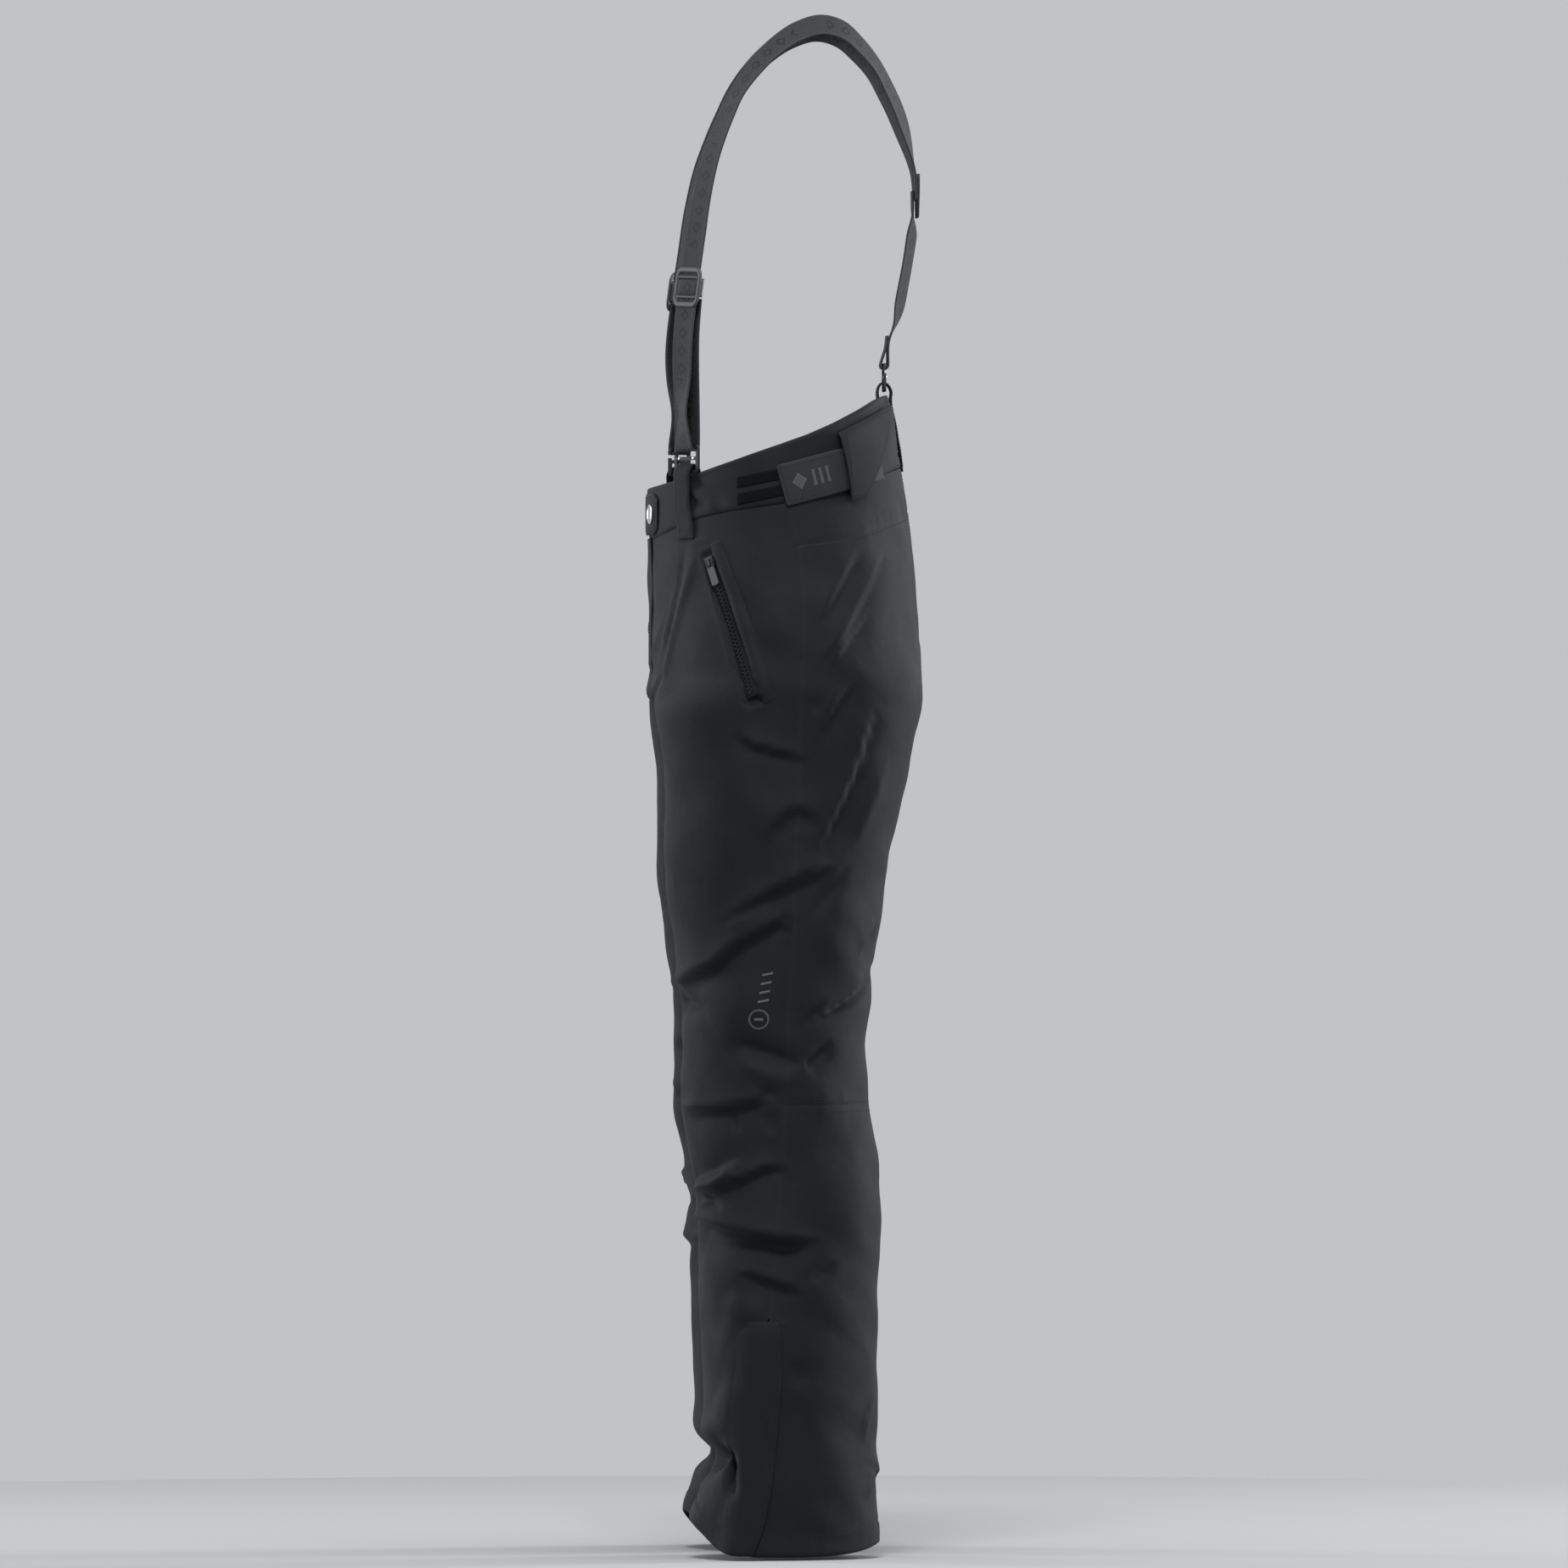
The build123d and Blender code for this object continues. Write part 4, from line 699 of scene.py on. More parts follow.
def solid_grid(name, outer, thick, uv, free=(), wrap=False, flip=False, bulge=0.8):
    """A closed quilt between a grid and its offset inwards. free names the edges that are finished round: 't', 'b', 'l', 'r'."""
    R, C = outer.shape[:2]
    N = grid_normals(outer)
    if np.ndim(thick) == 0:
        thick = np.full((R, C), float(thick))
    inner = outer - N * thick[..., None]
    V = [outer.reshape(-1, 3), inner.reshape(-1, 3)]
    UVs = [uv.reshape(-1, 2), uv.reshape(-1, 2)]
    io = np.arange(R * C).reshape(R, C)
    ii = io + R * C
    F = []

    def quads(A, rev):
        a, b, c, d = A[:-1, :-1], A[1:, :-1], A[1:, 1:], A[:-1, 1:]
        q = np.stack([a, b, c, d], -1).reshape(-1, 4)
        F.append(q[:, ::-1] if rev else q)

    quads(io, False)
    quads(ii, True)
    n = 2 * R * C
    for key, sel, nxt, rev in (
        ("t", (0, slice(None)), (1, slice(None)), False),
        ("b", (-1, slice(None)), (-2, slice(None)), True),
        ("l", (slice(None), 0), (slice(None), 1), True),
        ("r", (slice(None), -1), (slice(None), -2), False),
    ):
        eo, ei = io[sel], ii[sel]
        if key in free:
            out = unit(outer[sel] - outer[nxt])
            mid = (outer[sel] + inner[sel]) / 2 + out * bulge
            V.append(mid)
            UVs.append(uv[sel])
            im = np.arange(n, n + len(mid))
            n += len(mid)
            chain = [eo, im, ei]
        else:
            chain = [eo, ei]
        for p, q in zip(chain[:-1], chain[1:]):
            f = np.stack([p[:-1], p[1:], q[1:], q[:-1]], -1)
            F.append(f[:, ::-1] if rev else f)
    V = np.concatenate(V)
    UVs = np.concatenate(UVs)
    F = np.concatenate(F)
    if flip:
        V = V * (-1, 1, 1)
        F = F[:, ::-1]
    o = add_mesh(name, V, F, UVs)
    # where panels are sewn edge to edge, the rim doesn't shade the face beside it
    rims = [line for key, line in (("t", io[0]), ("b", io[-1]), ("l", io[:, 0]), ("r", io[:, -1])) if key not in free]
    ends = np.array([(int(a), int(b)) for line in rims for a, b in zip(line[:-1], line[1:])])
    ends.sort(axis=1)
    ed = np.empty(len(o.data.edges) * 2, int)
    o.data.edges.foreach_get("vertices", ed)
    ed = np.sort(ed.reshape(-1, 2), axis=1)
    n = len(V)
    o.data.edges.foreach_set("use_edge_sharp", np.isin(ed[:, 0] * n + ed[:, 1], ends[:, 0] * n + ends[:, 1]))
    return o


# ---------------------------------------------------------------- materials
def nodes_of(name):
    m = bpy.data.materials.new(name)
    m.use_nodes = True
    t = m.node_tree
    b = t.nodes["Principled BSDF"]
    return m, t, b


def link(t, a, b):
    t.links.new(a, b)


def math_node(t, op, a, b=None, c=None):
    n = t.nodes.new("ShaderNodeMath")
    n.operation = op
    for k, v in enumerate((a, b, c)):
        if v is None:
            continue
        if isinstance(v, (int, float)):
            n.inputs[k].default_value = v
        else:
            link(t, v, n.inputs[k])
    return n.outputs[0]


def mix_col(t, fac, a, b):
    n = t.nodes.new("ShaderNodeMix")
    n.data_type = "RGBA"
    if isinstance(fac, (int, float)):
        n.inputs[0].default_value = fac
    else:
        link(t, fac, n.inputs[0])
    for k, v in ((6, a), (7, b)):
        if isinstance(v, tuple):
            n.inputs[k].default_value = (*v, 1.0) if len(v) == 3 else v
        else:
            link(t, v, n.inputs[k])
    return n.outputs[2]


def noise(t, vec, scale, detail=3.0, rough=0.55, dist=0.0):
    n = t.nodes.new("ShaderNodeTexNoise")
    n.inputs["Scale"].default_value = scale
    n.inputs["Detail"].default_value = detail
    n.inputs["Roughness"].default_value = rough
    n.inputs["Distortion"].default_value = dist
    if vec is not None:
        link(t, vec, n.inputs["Vector"])
    return n.outputs[0]


def remap(t, v, a, b, c, d):
    n = t.nodes.new("ShaderNodeMapRange")
    link(t, v, n.inputs[0])
    for k, x in enumerate((a, b, c, d)):
        n.inputs[k + 1].default_value = x
    return n.outputs[0]


def scaled(t, vec, s):
    n = t.nodes.new("ShaderNodeMapping")
    link(t, vec, n.inputs[0])
    n.inputs["Scale"].default_value = s
    return n.outputs[0]


def bump(t, height, strength, dist, prev=None):
    n = t.nodes.new("ShaderNodeBump")
    n.inputs["Strength"].default_value = strength
    n.inputs["Distance"].default_value = dist
    link(t, height, n.inputs["Height"])
    if prev is not None:
        link(t, prev, n.inputs["Normal"])
    return n.outputs[0]


def cloth_material(name, dark, light, pitch=0.9, twill=True, rough=0.62, sheen=0.25, weave=0.35, crinkle=0.25, wear=0.35, spec=0.35, streak=0.5):
    """Woven cloth on UVs in metres: twill or plain weave, slub streaks, shade variation and wear on raised edges."""
    m, t, b = nodes_of(name)
    tc = t.nodes.new("ShaderNodeTexCoord")
    uv, ob = tc.outputs["UV"], tc.outputs["Object"]
    sep = t.nodes.new("ShaderNodeSeparateXYZ")
    link(t, uv, sep.inputs[0])
    k = 2 * math.pi / (pitch * MM)
    wob = math_node(t, "MULTIPLY", math_node(t, "SUBTRACT", noise(t, uv, 260.0, 2.0), 0.5), 0.7 * 2 * math.pi)
    if twill:
        d = math_node(t, "ADD", sep.outputs[0], sep.outputs[1])
        e = math_node(t, "SUBTRACT", sep.outputs[0], sep.outputs[1])
        s1 = math_node(t, "SINE", math_node(t, "ADD", math_node(t, "MULTIPLY", d, k), wob))
        s2 = math_node(t, "SINE", math_node(t, "MULTIPLY", e, k * 1.9))
        wv = math_node(t, "ADD", s1, math_node(t, "MULTIPLY", s2, 0.35))
    else:
        s1 = math_node(t, "SINE", math_node(t, "ADD", math_node(t, "MULTIPLY", sep.outputs[0], k), wob))
        s2 = math_node(t, "SINE", math_node(t, "MULTIPLY", sep.outputs[1], k))
        wv = math_node(t, "MULTIPLY", s1, s2)
    # slub streaks along the warp, and soft patches
    st = noise(t, scaled(t, uv, (900.0, 70.0, 1.0)), 1.0, 2.0)
    st2 = noise(t, scaled(t, uv, (90.0, 900.0, 1.0)), 1.0, 2.0)
    patch = noise(t, ob, 9.0, 4.0, 0.6)
    fac = math_node(t, "ADD", math_node(t, "MULTIPLY", st, 0.30 * streak), math_node(t, "MULTIPLY", st2, 0.2 * streak))
    fac = math_node(t, "ADD", fac, math_node(t, "MULTIPLY", patch, 0.55))
    fac = math_node(t, "ADD", fac, math_node(t, "MULTIPLY", wv, 0.06))
    col = mix_col(t, remap(t, fac, 0.25, 0.75, 0.0, 1.0), dark, light)
    geo = t.nodes.new("ShaderNodeNewGeometry")
    worn = remap(t, geo.outputs["Pointiness"], 0.53, 0.62, 0.0, wear)
    col = mix_col(t, worn, col, tuple(min(1.0, c * 1.7 + 0.01) for c in light))
    link(t, col, b.inputs["Base Color"])
    r = math_node(t, "ADD", rough - 0.06, math_node(t, "MULTIPLY", noise(t, ob, 34.0, 3.0), 0.14))
    link(t, r, b.inputs["Roughness"])
    b.inputs["Specular IOR Level"].default_value = spec
    b.inputs["Sheen Weight"].default_value = sheen
    b.inputs["Sheen Roughness"].default_value = 0.45
    b.inputs["Sheen Tint"].default_value = (0.75, 0.8, 0.9, 1.0)
    n1 = bump(t, wv, weave, 0.00012)
    cr = noise(t, ob, 120.0, 5.0, 0.6, 0.4)
    n2 = bump(t, cr, crinkle, 0.0012, n1)
    link(t, n2, b.inputs["Normal"])
    return m


def webbing_material(name, dark, light, mark=None):
    """Elastic webbing on UVs: u across in metres, v along. Ribs across, a selvedge each side, and a woven band of plain blocks down the middle."""
    m, t, b = nodes_of(name)
    tc = t.nodes.new("ShaderNodeTexCoord")
    uv, ob = tc.outputs["UV"], tc.outputs["Object"]
    sep = t.nodes.new("ShaderNodeSeparateXYZ")
    link(t, uv, sep.inputs[0])
    u, v = sep.outputs[0], sep.outputs[1]
    rib = math_node(t, "SINE", math_node(t, "MULTIPLY", v, 2 * math.pi / 0.0016))
    cord = math_node(t, "SINE", math_node(t, "MULTIPLY", u, 2 * math.pi / 0.0021))
    height = math_node(t, "ADD", rib, math_node(t, "MULTIPLY", cord, 0.6))
    grain = noise(t, uv, 900.0, 3.0)
    fac = math_node(t, "ADD", math_node(t, "MULTIPLY", grain, 0.7), math_node(t, "MULTIPLY", rib, 0.10))
    fac = math_node(t, "ADD", fac, math_node(t, "MULTIPLY", noise(t, ob, 14.0, 3.0), 0.35))
    col = mix_col(t, remap(t, fac, 0.25, 0.85, 0.0, 1.0), dark, light)
    au = math_node(t, "ABSOLUTE", u)
    selv = math_node(t, "GREATER_THAN", au, 0.0128)
    col = mix_col(t, math_node(t, "MULTIPLY", selv, 0.55), col, tuple(c * 1.5 for c in light))
    if mark:
        # lozenges and short bars in turn, a plain geometric band
        p = math_node(t, "PINGPONG", v, 0.017)
        loz = math_node(t, "LESS_THAN", math_node(t, "ADD", math_node(t, "MULTIPLY", au, 1.0), math_node(t, "MULTIPLY", math_node(t, "ABSOLUTE", math_node(t, "SUBTRACT", p, 0.0085)), 1.25)), 0.0078)
        core = math_node(t, "LESS_THAN", math_node(t, "ADD", math_node(t, "MULTIPLY", au, 1.0), math_node(t, "MULTIPLY", math_node(t, "ABSOLUTE", math_node(t, "SUBTRACT", p, 0.0085)), 1.25)), 0.0034)
        gate = math_node(t, "LESS_THAN", math_node(t, "PINGPONG", math_node(t, "ADD", v, 0.01), 0.068), 0.052)
        shape = math_node(t, "MULTIPLY", math_node(t, "SUBTRACT", loz, core), gate)
        col = mix_col(t, math_node(t, "MULTIPLY", shape, 0.95), col, mark)
        height = math_node(t, "ADD", height, math_node(t, "MULTIPLY", shape, 1.6))
    link(t, col, b.inputs["Base Color"])
    b.inputs["Roughness"].default_value = 0.72
    b.inputs["Specular IOR Level"].default_value = 0.3
    b.inputs["Sheen Weight"].default_value = 0.06
    b.inputs["Sheen Roughness"].default_value = 0.4
    link(t, bump(t, height, 0.55, 0.00025), b.inputs["Normal"])
    return m


def metal_material(name, colour, rough, brushed=0.3, metallic=1.0, edge=0.7):
    m, t, b = nodes_of(name)
    tc = t.nodes.new("ShaderNodeTexCoord")
    ob = tc.outputs["Object"]
    s = noise(t, scaled(t, ob, (300.0, 300.0, 2400.0)), 1.0, 3.0)
    p = noise(t, ob, 160.0, 4.0)
    geo = t.nodes.new("ShaderNodeNewGeometry")
    worn = remap(t, geo.outputs["Pointiness"], 0.51, 0.6, 0.0, edge)
    col = mix_col(t, remap(t, p, 0.3, 0.7, 0.0, 1.0), tuple(c * 0.8 for c in colour), colour)
    col = mix_col(t, worn, col, tuple(min(1, c * 1.5 + 0.05) for c in colour))
    link(t, col, b.inputs["Base Color"])
    b.inputs["Metallic"].default_value = metallic
    link(t, math_node(t, "ADD", rough - 0.08, math_node(t, "MULTIPLY", s, 0.16)), b.inputs["Roughness"])
    link(t, bump(t, s, brushed, 0.00008), b.inputs["Normal"])
    return m


def plastic_material(name, colour, rough, coat=0.2):
    m, t, b = nodes_of(name)
    tc = t.nodes.new("ShaderNodeTexCoord")
    ob = tc.outputs["Object"]
    g = noise(t, ob, 1400.0, 3.0)
    p = noise(t, ob, 60.0, 4.0)
    geo = t.nodes.new("ShaderNodeNewGeometry")
    worn = remap(t, geo.outputs["Pointiness"], 0.51, 0.6, 0.0, 0.8)
    col = mix_col(t, remap(t, p, 0.3, 0.7, 0.0, 1.0), tuple(c * 0.85 for c in colour), colour)
    col = mix_col(t, worn, col, tuple(min(1, c * 2.0 + 0.05) for c in colour))
    link(t, col, b.inputs["Base Color"])
    link(t, math_node(t, "ADD", rough - 0.05, math_node(t, "MULTIPLY", p, 0.12)), b.inputs["Roughness"])
    b.inputs["Coat Weight"].default_value = coat
    b.inputs["Coat Roughness"].default_value = 0.2
    link(t, bump(t, g, 0.2, 0.0001), b.inputs["Normal"])
    return m


def hook_material(name):
    """Hook tape: rows of small hooks seen as a dense dark grain."""
    m, t, b = nodes_of(name)
    tc = t.nodes.new("ShaderNodeTexCoord")
    ob = tc.outputs["Object"]
    v = t.nodes.new("ShaderNodeTexVoronoi")
    v.inputs["Scale"].default_value = 900.0
    link(t, ob, v.inputs["Vector"])
    col = mix_col(t, v.outputs["Distance"], (0.0016, 0.0017, 0.0019), (0.0045, 0.0048, 0.0054))
    link(t, col, b.inputs["Base Color"])
    b.inputs["Roughness"].default_value = 0.85
    b.inputs["Specular IOR Level"].default_value = 0.08
    link(t, bump(t, v.outputs["Distance"], 0.5, 0.0005), b.inputs["Normal"])
    return m


SHELL = cloth_material("shell_cloth", (0.0056, 0.0067, 0.0080), (0.0088, 0.0103, 0.0121), pitch=0.9, sheen=0.03, rough=0.66, spec=0.15, wear=0.12)
BAND = cloth_material("band_cloth", (0.0050, 0.0060, 0.0072), (0.0076, 0.0089, 0.0105), pitch=0.8, sheen=0.03, rough=0.64, spec=0.15, wear=0.12)
TAB = cloth_material("tab_cloth", (0.0150, 0.0163, 0.0182), (0.0215, 0.0232, 0.0256), pitch=1.1, twill=False, sheen=0.04, spec=0.18, wear=0.1)
LINING = cloth_material("lining_cloth", (0.010, 0.011, 0.0125), (0.016, 0.0175, 0.0195), pitch=0.7, twill=False, rough=0.42, sheen=0.03, crinkle=0.6, spec=0.3, wear=0.1)
GAITER = cloth_material("gaiter_cloth", (0.006, 0.0066, 0.0074), (0.010, 0.011, 0.0122), pitch=0.6, twill=False, rough=0.5, sheen=0.03, crinkle=0.7, spec=0.25, wear=0.1)
THREAD = cloth_material("thread", (0.0105, 0.0115, 0.013), (0.016, 0.0175, 0.0195), pitch=0.4, rough=0.55, sheen=0.03, weave=0.5, crinkle=0.0, spec=0.2)
TAPE = cloth_material("zip_tape", (0.0055, 0.0061, 0.0070), (0.009, 0.010, 0.0115), pitch=0.7, twill=True, rough=0.6, sheen=0.02, spec=0.15)
WEB = webbing_material("braces_webbing", (0.0125, 0.0140, 0.0160), (0.0190, 0.0210, 0.0238), mark=(0.0045, 0.0050, 0.0060))
TEETH = plastic_material("zip_teeth", (0.008, 0.009, 0.010), 0.38, 0.2)
ZIPMETAL = metal_material("zip_metal", (0.07, 0.074, 0.08), 0.36)
PULL = plastic_material("pull_rubber", (0.013, 0.0145, 0.0165), 0.6, 0.05)
BUCKLE = metal_material("buckle_enamel", (0.045, 0.048, 0.053), 0.52, 0.15, 0.4, 0.3)
SNAP = metal_material("snap_nickel", (0.72, 0.73, 0.75), 0.2, 0.2)
HOOKM = metal_material("hook_steel", (0.022, 0.0235, 0.026), 0.62, 0.15, 0.6, 0.15)
RIVET = metal_material("rivet_nickel", (0.78, 0.79, 0.8), 0.18, 0.1)
HOOKTAPE = hook_material("hook_tape")
RUBBER = plastic_material("soft_rubber", (0.0085, 0.009, 0.010), 0.62, 0.0)


def finish_piece(o, mat, slot, body=None, *cad):
    o.data.materials.clear()
    o.data.materials.append(mat)
    if body:
        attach(o, body)
    if cad:
        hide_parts(*cad)
    return o


# ---------------------------------------------------------------- camera, floor, light
AZ = math.radians(87.5)
CAM_D = 18.0
target = Vector((0.0, 0.0033, -0.327))
cam_data = bpy.data.cameras.new("camera")
cam = bpy.data.objects.new("camera", cam_data)
SCENE.collection.objects.link(cam)
cam.location = target + Vector((math.sin(AZ), -math.cos(AZ), 0.0)) * CAM_D
cam.rotation_euler = (target - cam.location).to_track_quat("-Z", "Y").to_euler()
cam_data.sensor_width = 36.0
cam_data.lens = 36.0 * CAM_D / 1.515
cam_data.clip_end = 100.0
SCENE.camera = cam

rings = [0.02, 0.4, 0.8, 1.2, 1.6, 2.0]
fv = [(0.0, 0.0, -1069.5)]
ff = []
for r in rings:
    fv += [(r * 1000 * math.cos(a), r * 1000 * math.sin(a), -1069.5) for a in np.linspace(0, 2 * math.pi, 96, endpoint=False)]
for k in range(96):
    ff.append((0, 1 + k, 1 + (k + 1) % 96))
for i in range(len(rings) - 1):
    for k in range(96):
        a, b = 1 + i * 96, 1 + (i + 1) * 96
        ff.append((a + k, b + k, b + (k + 1) % 96, a + (k + 1) % 96))
floor = add_mesh("floor", fv, ff)
fm, ft, fb = nodes_of("floor_paper")
fcol = mix_col(ft, noise(ft, None, 3.0, 2.0), (0.35, 0.354, 0.36), (0.38, 0.384, 0.39))
link(ft, fcol, fb.inputs["Base Color"])
fb.inputs["Roughness"].default_value = 0.9
fb.inputs["Specular IOR Level"].default_value = 0.0
floor.data.materials.append(fm)

world = bpy.data.worlds.new("studio")
world.use_nodes = True
world.node_tree.nodes["Background"].inputs[0].default_value = (0.86, 0.88, 0.91, 1.0)
world.node_tree.nodes["Background"].inputs[1].default_value = 0.62
SCENE.world = world
SCENE.view_settings.view_transform = "Standard"


def area(name, loc, size, power, aim=(0, 0, -0.3), colour=(1, 1, 1)):
    d = bpy.data.lights.new(name, "AREA")
    d.shape = "RECTANGLE"
    d.size, d.size_y = size
    d.energy = power
    d.color = colour
    o = bpy.data.objects.new(name, d)
    SCENE.collection.objects.link(o)
    o.location = loc
    o.rotation_euler = (Vector(aim) - Vector(loc)).to_track_quat("-Z", "Y").to_euler()
    return o


area("key", (3.0, -0.4, 3.6), (1.2, 1.2), 175)
area("top", (0.4, 0.3, 3.4), (1.6, 1.6), 50)
area("rim_front", (-1.3, -3.0, 0.4), (0.8, 2.6), 55)
area("rim_back", (-1.0, 3.2, 0.3), (0.8, 2.6), 105)
area("fill", (3.6, 2.2, 0.2), (1.8, 2.4), 12)

# ---------------------------------------------------------------- trousers
PAIRS = (("left", 0, False), ("right", 3, True))
HALVES = {}
for side, vary, flip in PAIRS:
    P, U, Z, PHI, legrow = make_half(vary)
    P = fine_detail(P, U, Z, PHI, legrow, vary)
    P[legrow, -1] = P[legrow, 0]
    HALVES[side] = (P, U, Z, PHI, legrow)

K2, Y2 = 2 * R_KNEE, 2 * R_YOKE
MIDC = NC  # the side seam's column in the fine grid
TH = 2.6
for side, vary, flip in PAIRS:
    P, U, Z, PHI, legrow = HALVES[side]
    UV = np.stack([U, Z], -1)
    o = solid_grid(side + "_front_thigh_shell", P[: K2 + 1, : MIDC + 1], TH, UV[: K2 + 1, : MIDC + 1], flip=flip)
    finish_piece(o, SHELL, "shell_fabric", "pants", side + "_front_thigh_panel")
    o = solid_grid(side + "_back_thigh_shell", P[Y2 : K2 + 1, MIDC:], TH, UV[Y2 : K2 + 1, MIDC:], flip=flip)
    finish_piece(o, SHELL, "shell_fabric", "pants", side + "_back_thigh_panel")
    F, B = resample_ankle(P, U, Z, PHI)
    o = solid_grid(side + "_shin_shell", F[K2:], TH, UV[K2:, : MIDC + 1], free="b", flip=flip)
    finish_piece(o, SHELL, "shell_fabric", "pants", side + "_shin_panel")
    o = solid_grid(side + "_calf_shell", B[K2:], TH, UV[K2:, MIDC:], free="b", flip=flip)
    finish_piece(o, SHELL, "shell_fabric", "pants", side + "_calf_panel")

# ---------------------------------------------------------------- reading places off the finished cloth


class Cloth:
    """Reads points off one half's folded surface by distance from the side seam and height."""

    def __init__(self, half, flip):
        self.P, self.U, self.Z, self.PHI, self.leg = half
        self.N = grid_normals(self.P, self.leg)
        self.flip = flip
        self.zr = self.Z[:, ::8]

    def at(self, u, z, off=0.0):
        u, z = np.broadcast_arrays(np.asarray(u, float), np.asarray(z, float))
        shape = u.shape
        out = np.empty((u.size, 3))
        offs = np.broadcast_to(np.asarray(off, float), shape).ravel()
        C = self.P.shape[1] - 1
        for k, (uu, zz) in enumerate(zip(u.ravel(), z.ravel())):
            i = int(np.clip((zz - UT_Z[0]) / 4.0, 0, len(UT_Z) - 1))
            phi = float(np.interp(uu, UT[i], UT_P))
            c = phi * C
            for _ in range(2):
                cj = int(min(C, max(0, round(c))))
                col = self.Z[:, cj]
                r = float(np.interp(-zz, -col, np.arange(len(col))))
                ri = int(min(len(col) - 1, max(0, round(r))))
                c = float(np.interp(uu, self.U[ri], np.arange(C + 1)))
            r0, c0 = int(min(len(col) - 2, r)), int(min(C - 1, c))
            f, g = r - r0, c - c0
            w = ((1 - f) * (1 - g), f * (1 - g), (1 - f) * g, f * g)
            idx = ((r0, c0), (r0 + 1, c0), (r0, c0 + 1), (r0 + 1, c0 + 1))
            p = sum(a * self.P[i2] for a, i2 in zip(w, idx))
            n = unit(sum(a * self.N[i2] for a, i2 in zip(w, idx)))
            # above the cloth's top edge, keep going up the plain surface
            if zz > col[0]:
                q = surf(phi, zz)
                n = normal(phi, zz)
                p = q
            out[k] = p + n * offs[k]
        if self.flip:
            out[:, 0] *= -1
        return out.reshape(shape + (3,))


CLOTH = {s: Cloth(HALVES[s], f) for s, v, f in PAIRS}


def mir(P, flip):
    return P * (-1, 1, 1) if flip else P


def slab_mesh(name, outer, inner, uv=None, bulge=0.35, wrap=False, flip=False):
    """A closed slab between two grids, all four edges rounded over."""
    outer, inner = np.asarray(outer, float), np.asarray(inner, float)
    R, C = outer.shape[:2]
    if uv is None:
        a = np.concatenate([[0], np.cumsum(np.linalg.norm(np.diff(outer[:, C // 2], axis=0), axis=1))])
        b = np.concatenate([[0], np.cumsum(np.linalg.norm(np.diff(outer[R // 2], axis=0), axis=1))])
        uv = np.stack(np.meshgrid(b, a), -1)
    V, UVs, F = [outer.reshape(-1, 3), inner.reshape(-1, 3)], [uv.reshape(-1, 2)] * 2, []
    io = np.arange(R * C).reshape(R, C)
    ii = io + R * C
    if wrap:
        io, ii = np.concatenate([io, io[:, :1]], 1), np.concatenate([ii, ii[:, :1]], 1)

    def quads(A, rev):
        q = np.stack([A[:-1, :-1], A[1:, :-1], A[1:, 1:], A[:-1, 1:]], -1).reshape(-1, 4)
        F.append(q[:, ::-1] if rev else q)

    quads(io, False)
    quads(ii, True)
    # one ring of middle points round the edge
    def ring(G):
        if wrap:
            return None
        return np.concatenate([G[0, :-1], G[:-1, -1], G[-1, :0:-1], G[:0:-1, 0]])

    n = 2 * R * C
    if wrap:
        for row, nb in ((0, 1), (-1, -2)):
            out = unit(outer[row] - outer[nb])
            mid = (outer[row] + inner[row]) / 2 + out * bulge
            V.append(mid)
            UVs.append(uv[row])
            im = np.append(np.arange(n, n + C), n)
            n += C
            for p, q in ((io[row], im), (im, ii[row])):
                f = np.stack([p[:-1], p[1:], q[1:], q[:-1]], -1)
                F.append(f if row == 0 else f[:, ::-1])
    else:
        ro, ri = ring(io), ring(ii)
        po, pi = ring(outer.reshape(R, C, 3)), ring(inner)
        cen = outer.reshape(-1, 3)
        nb = np.concatenate([outer[1, :-1], outer[:-1, -2], outer[-2, :0:-1], outer[:0:-1, 1]])
        out = unit(po - nb)
        mid = (po + pi) / 2 + out * bulge
        V.append(mid)
        UVs.append(ring(uv))
        im = np.arange(n, n + len(mid))
        ro, ri, im = (np.append(x, x[:1]) for x in (ro, ri, im))
        for p, q in ((ro, im), (im, ri)):
            F.append(np.stack([p[:-1], p[1:], q[1:], q[:-1]], -1))
    V, UVs, F = np.concatenate(V), np.concatenate(UVs), np.concatenate(F)
    # face outwards, whatever way the grids ran
    a = V[F]
    vol = np.einsum("ij,ij->i", a[:, 0], np.cross(a[:, 1], a[:, 2])) + np.einsum("ij,ij->i", a[:, 0], np.cross(a[:, 2], a[:, 3]))
    if vol.sum() < 0:
        F = F[:, ::-1]
    if flip:
        V, F = V * (-1, 1, 1), F[:, ::-1]
    return add_mesh(name, V, F, UVs)


def resample_line(pts, step):
    pts = np.asarray(pts, float)
    s = np.concatenate([[0], np.cumsum(np.linalg.norm(np.diff(pts, axis=0), axis=1))])
    n = max(2, int(round(s[-1] / step)))
    t = np.linspace(0, s[-1], n + 1)
    return np.stack([np.interp(t, s, pts[:, k]) for k in range(3)], 1), t


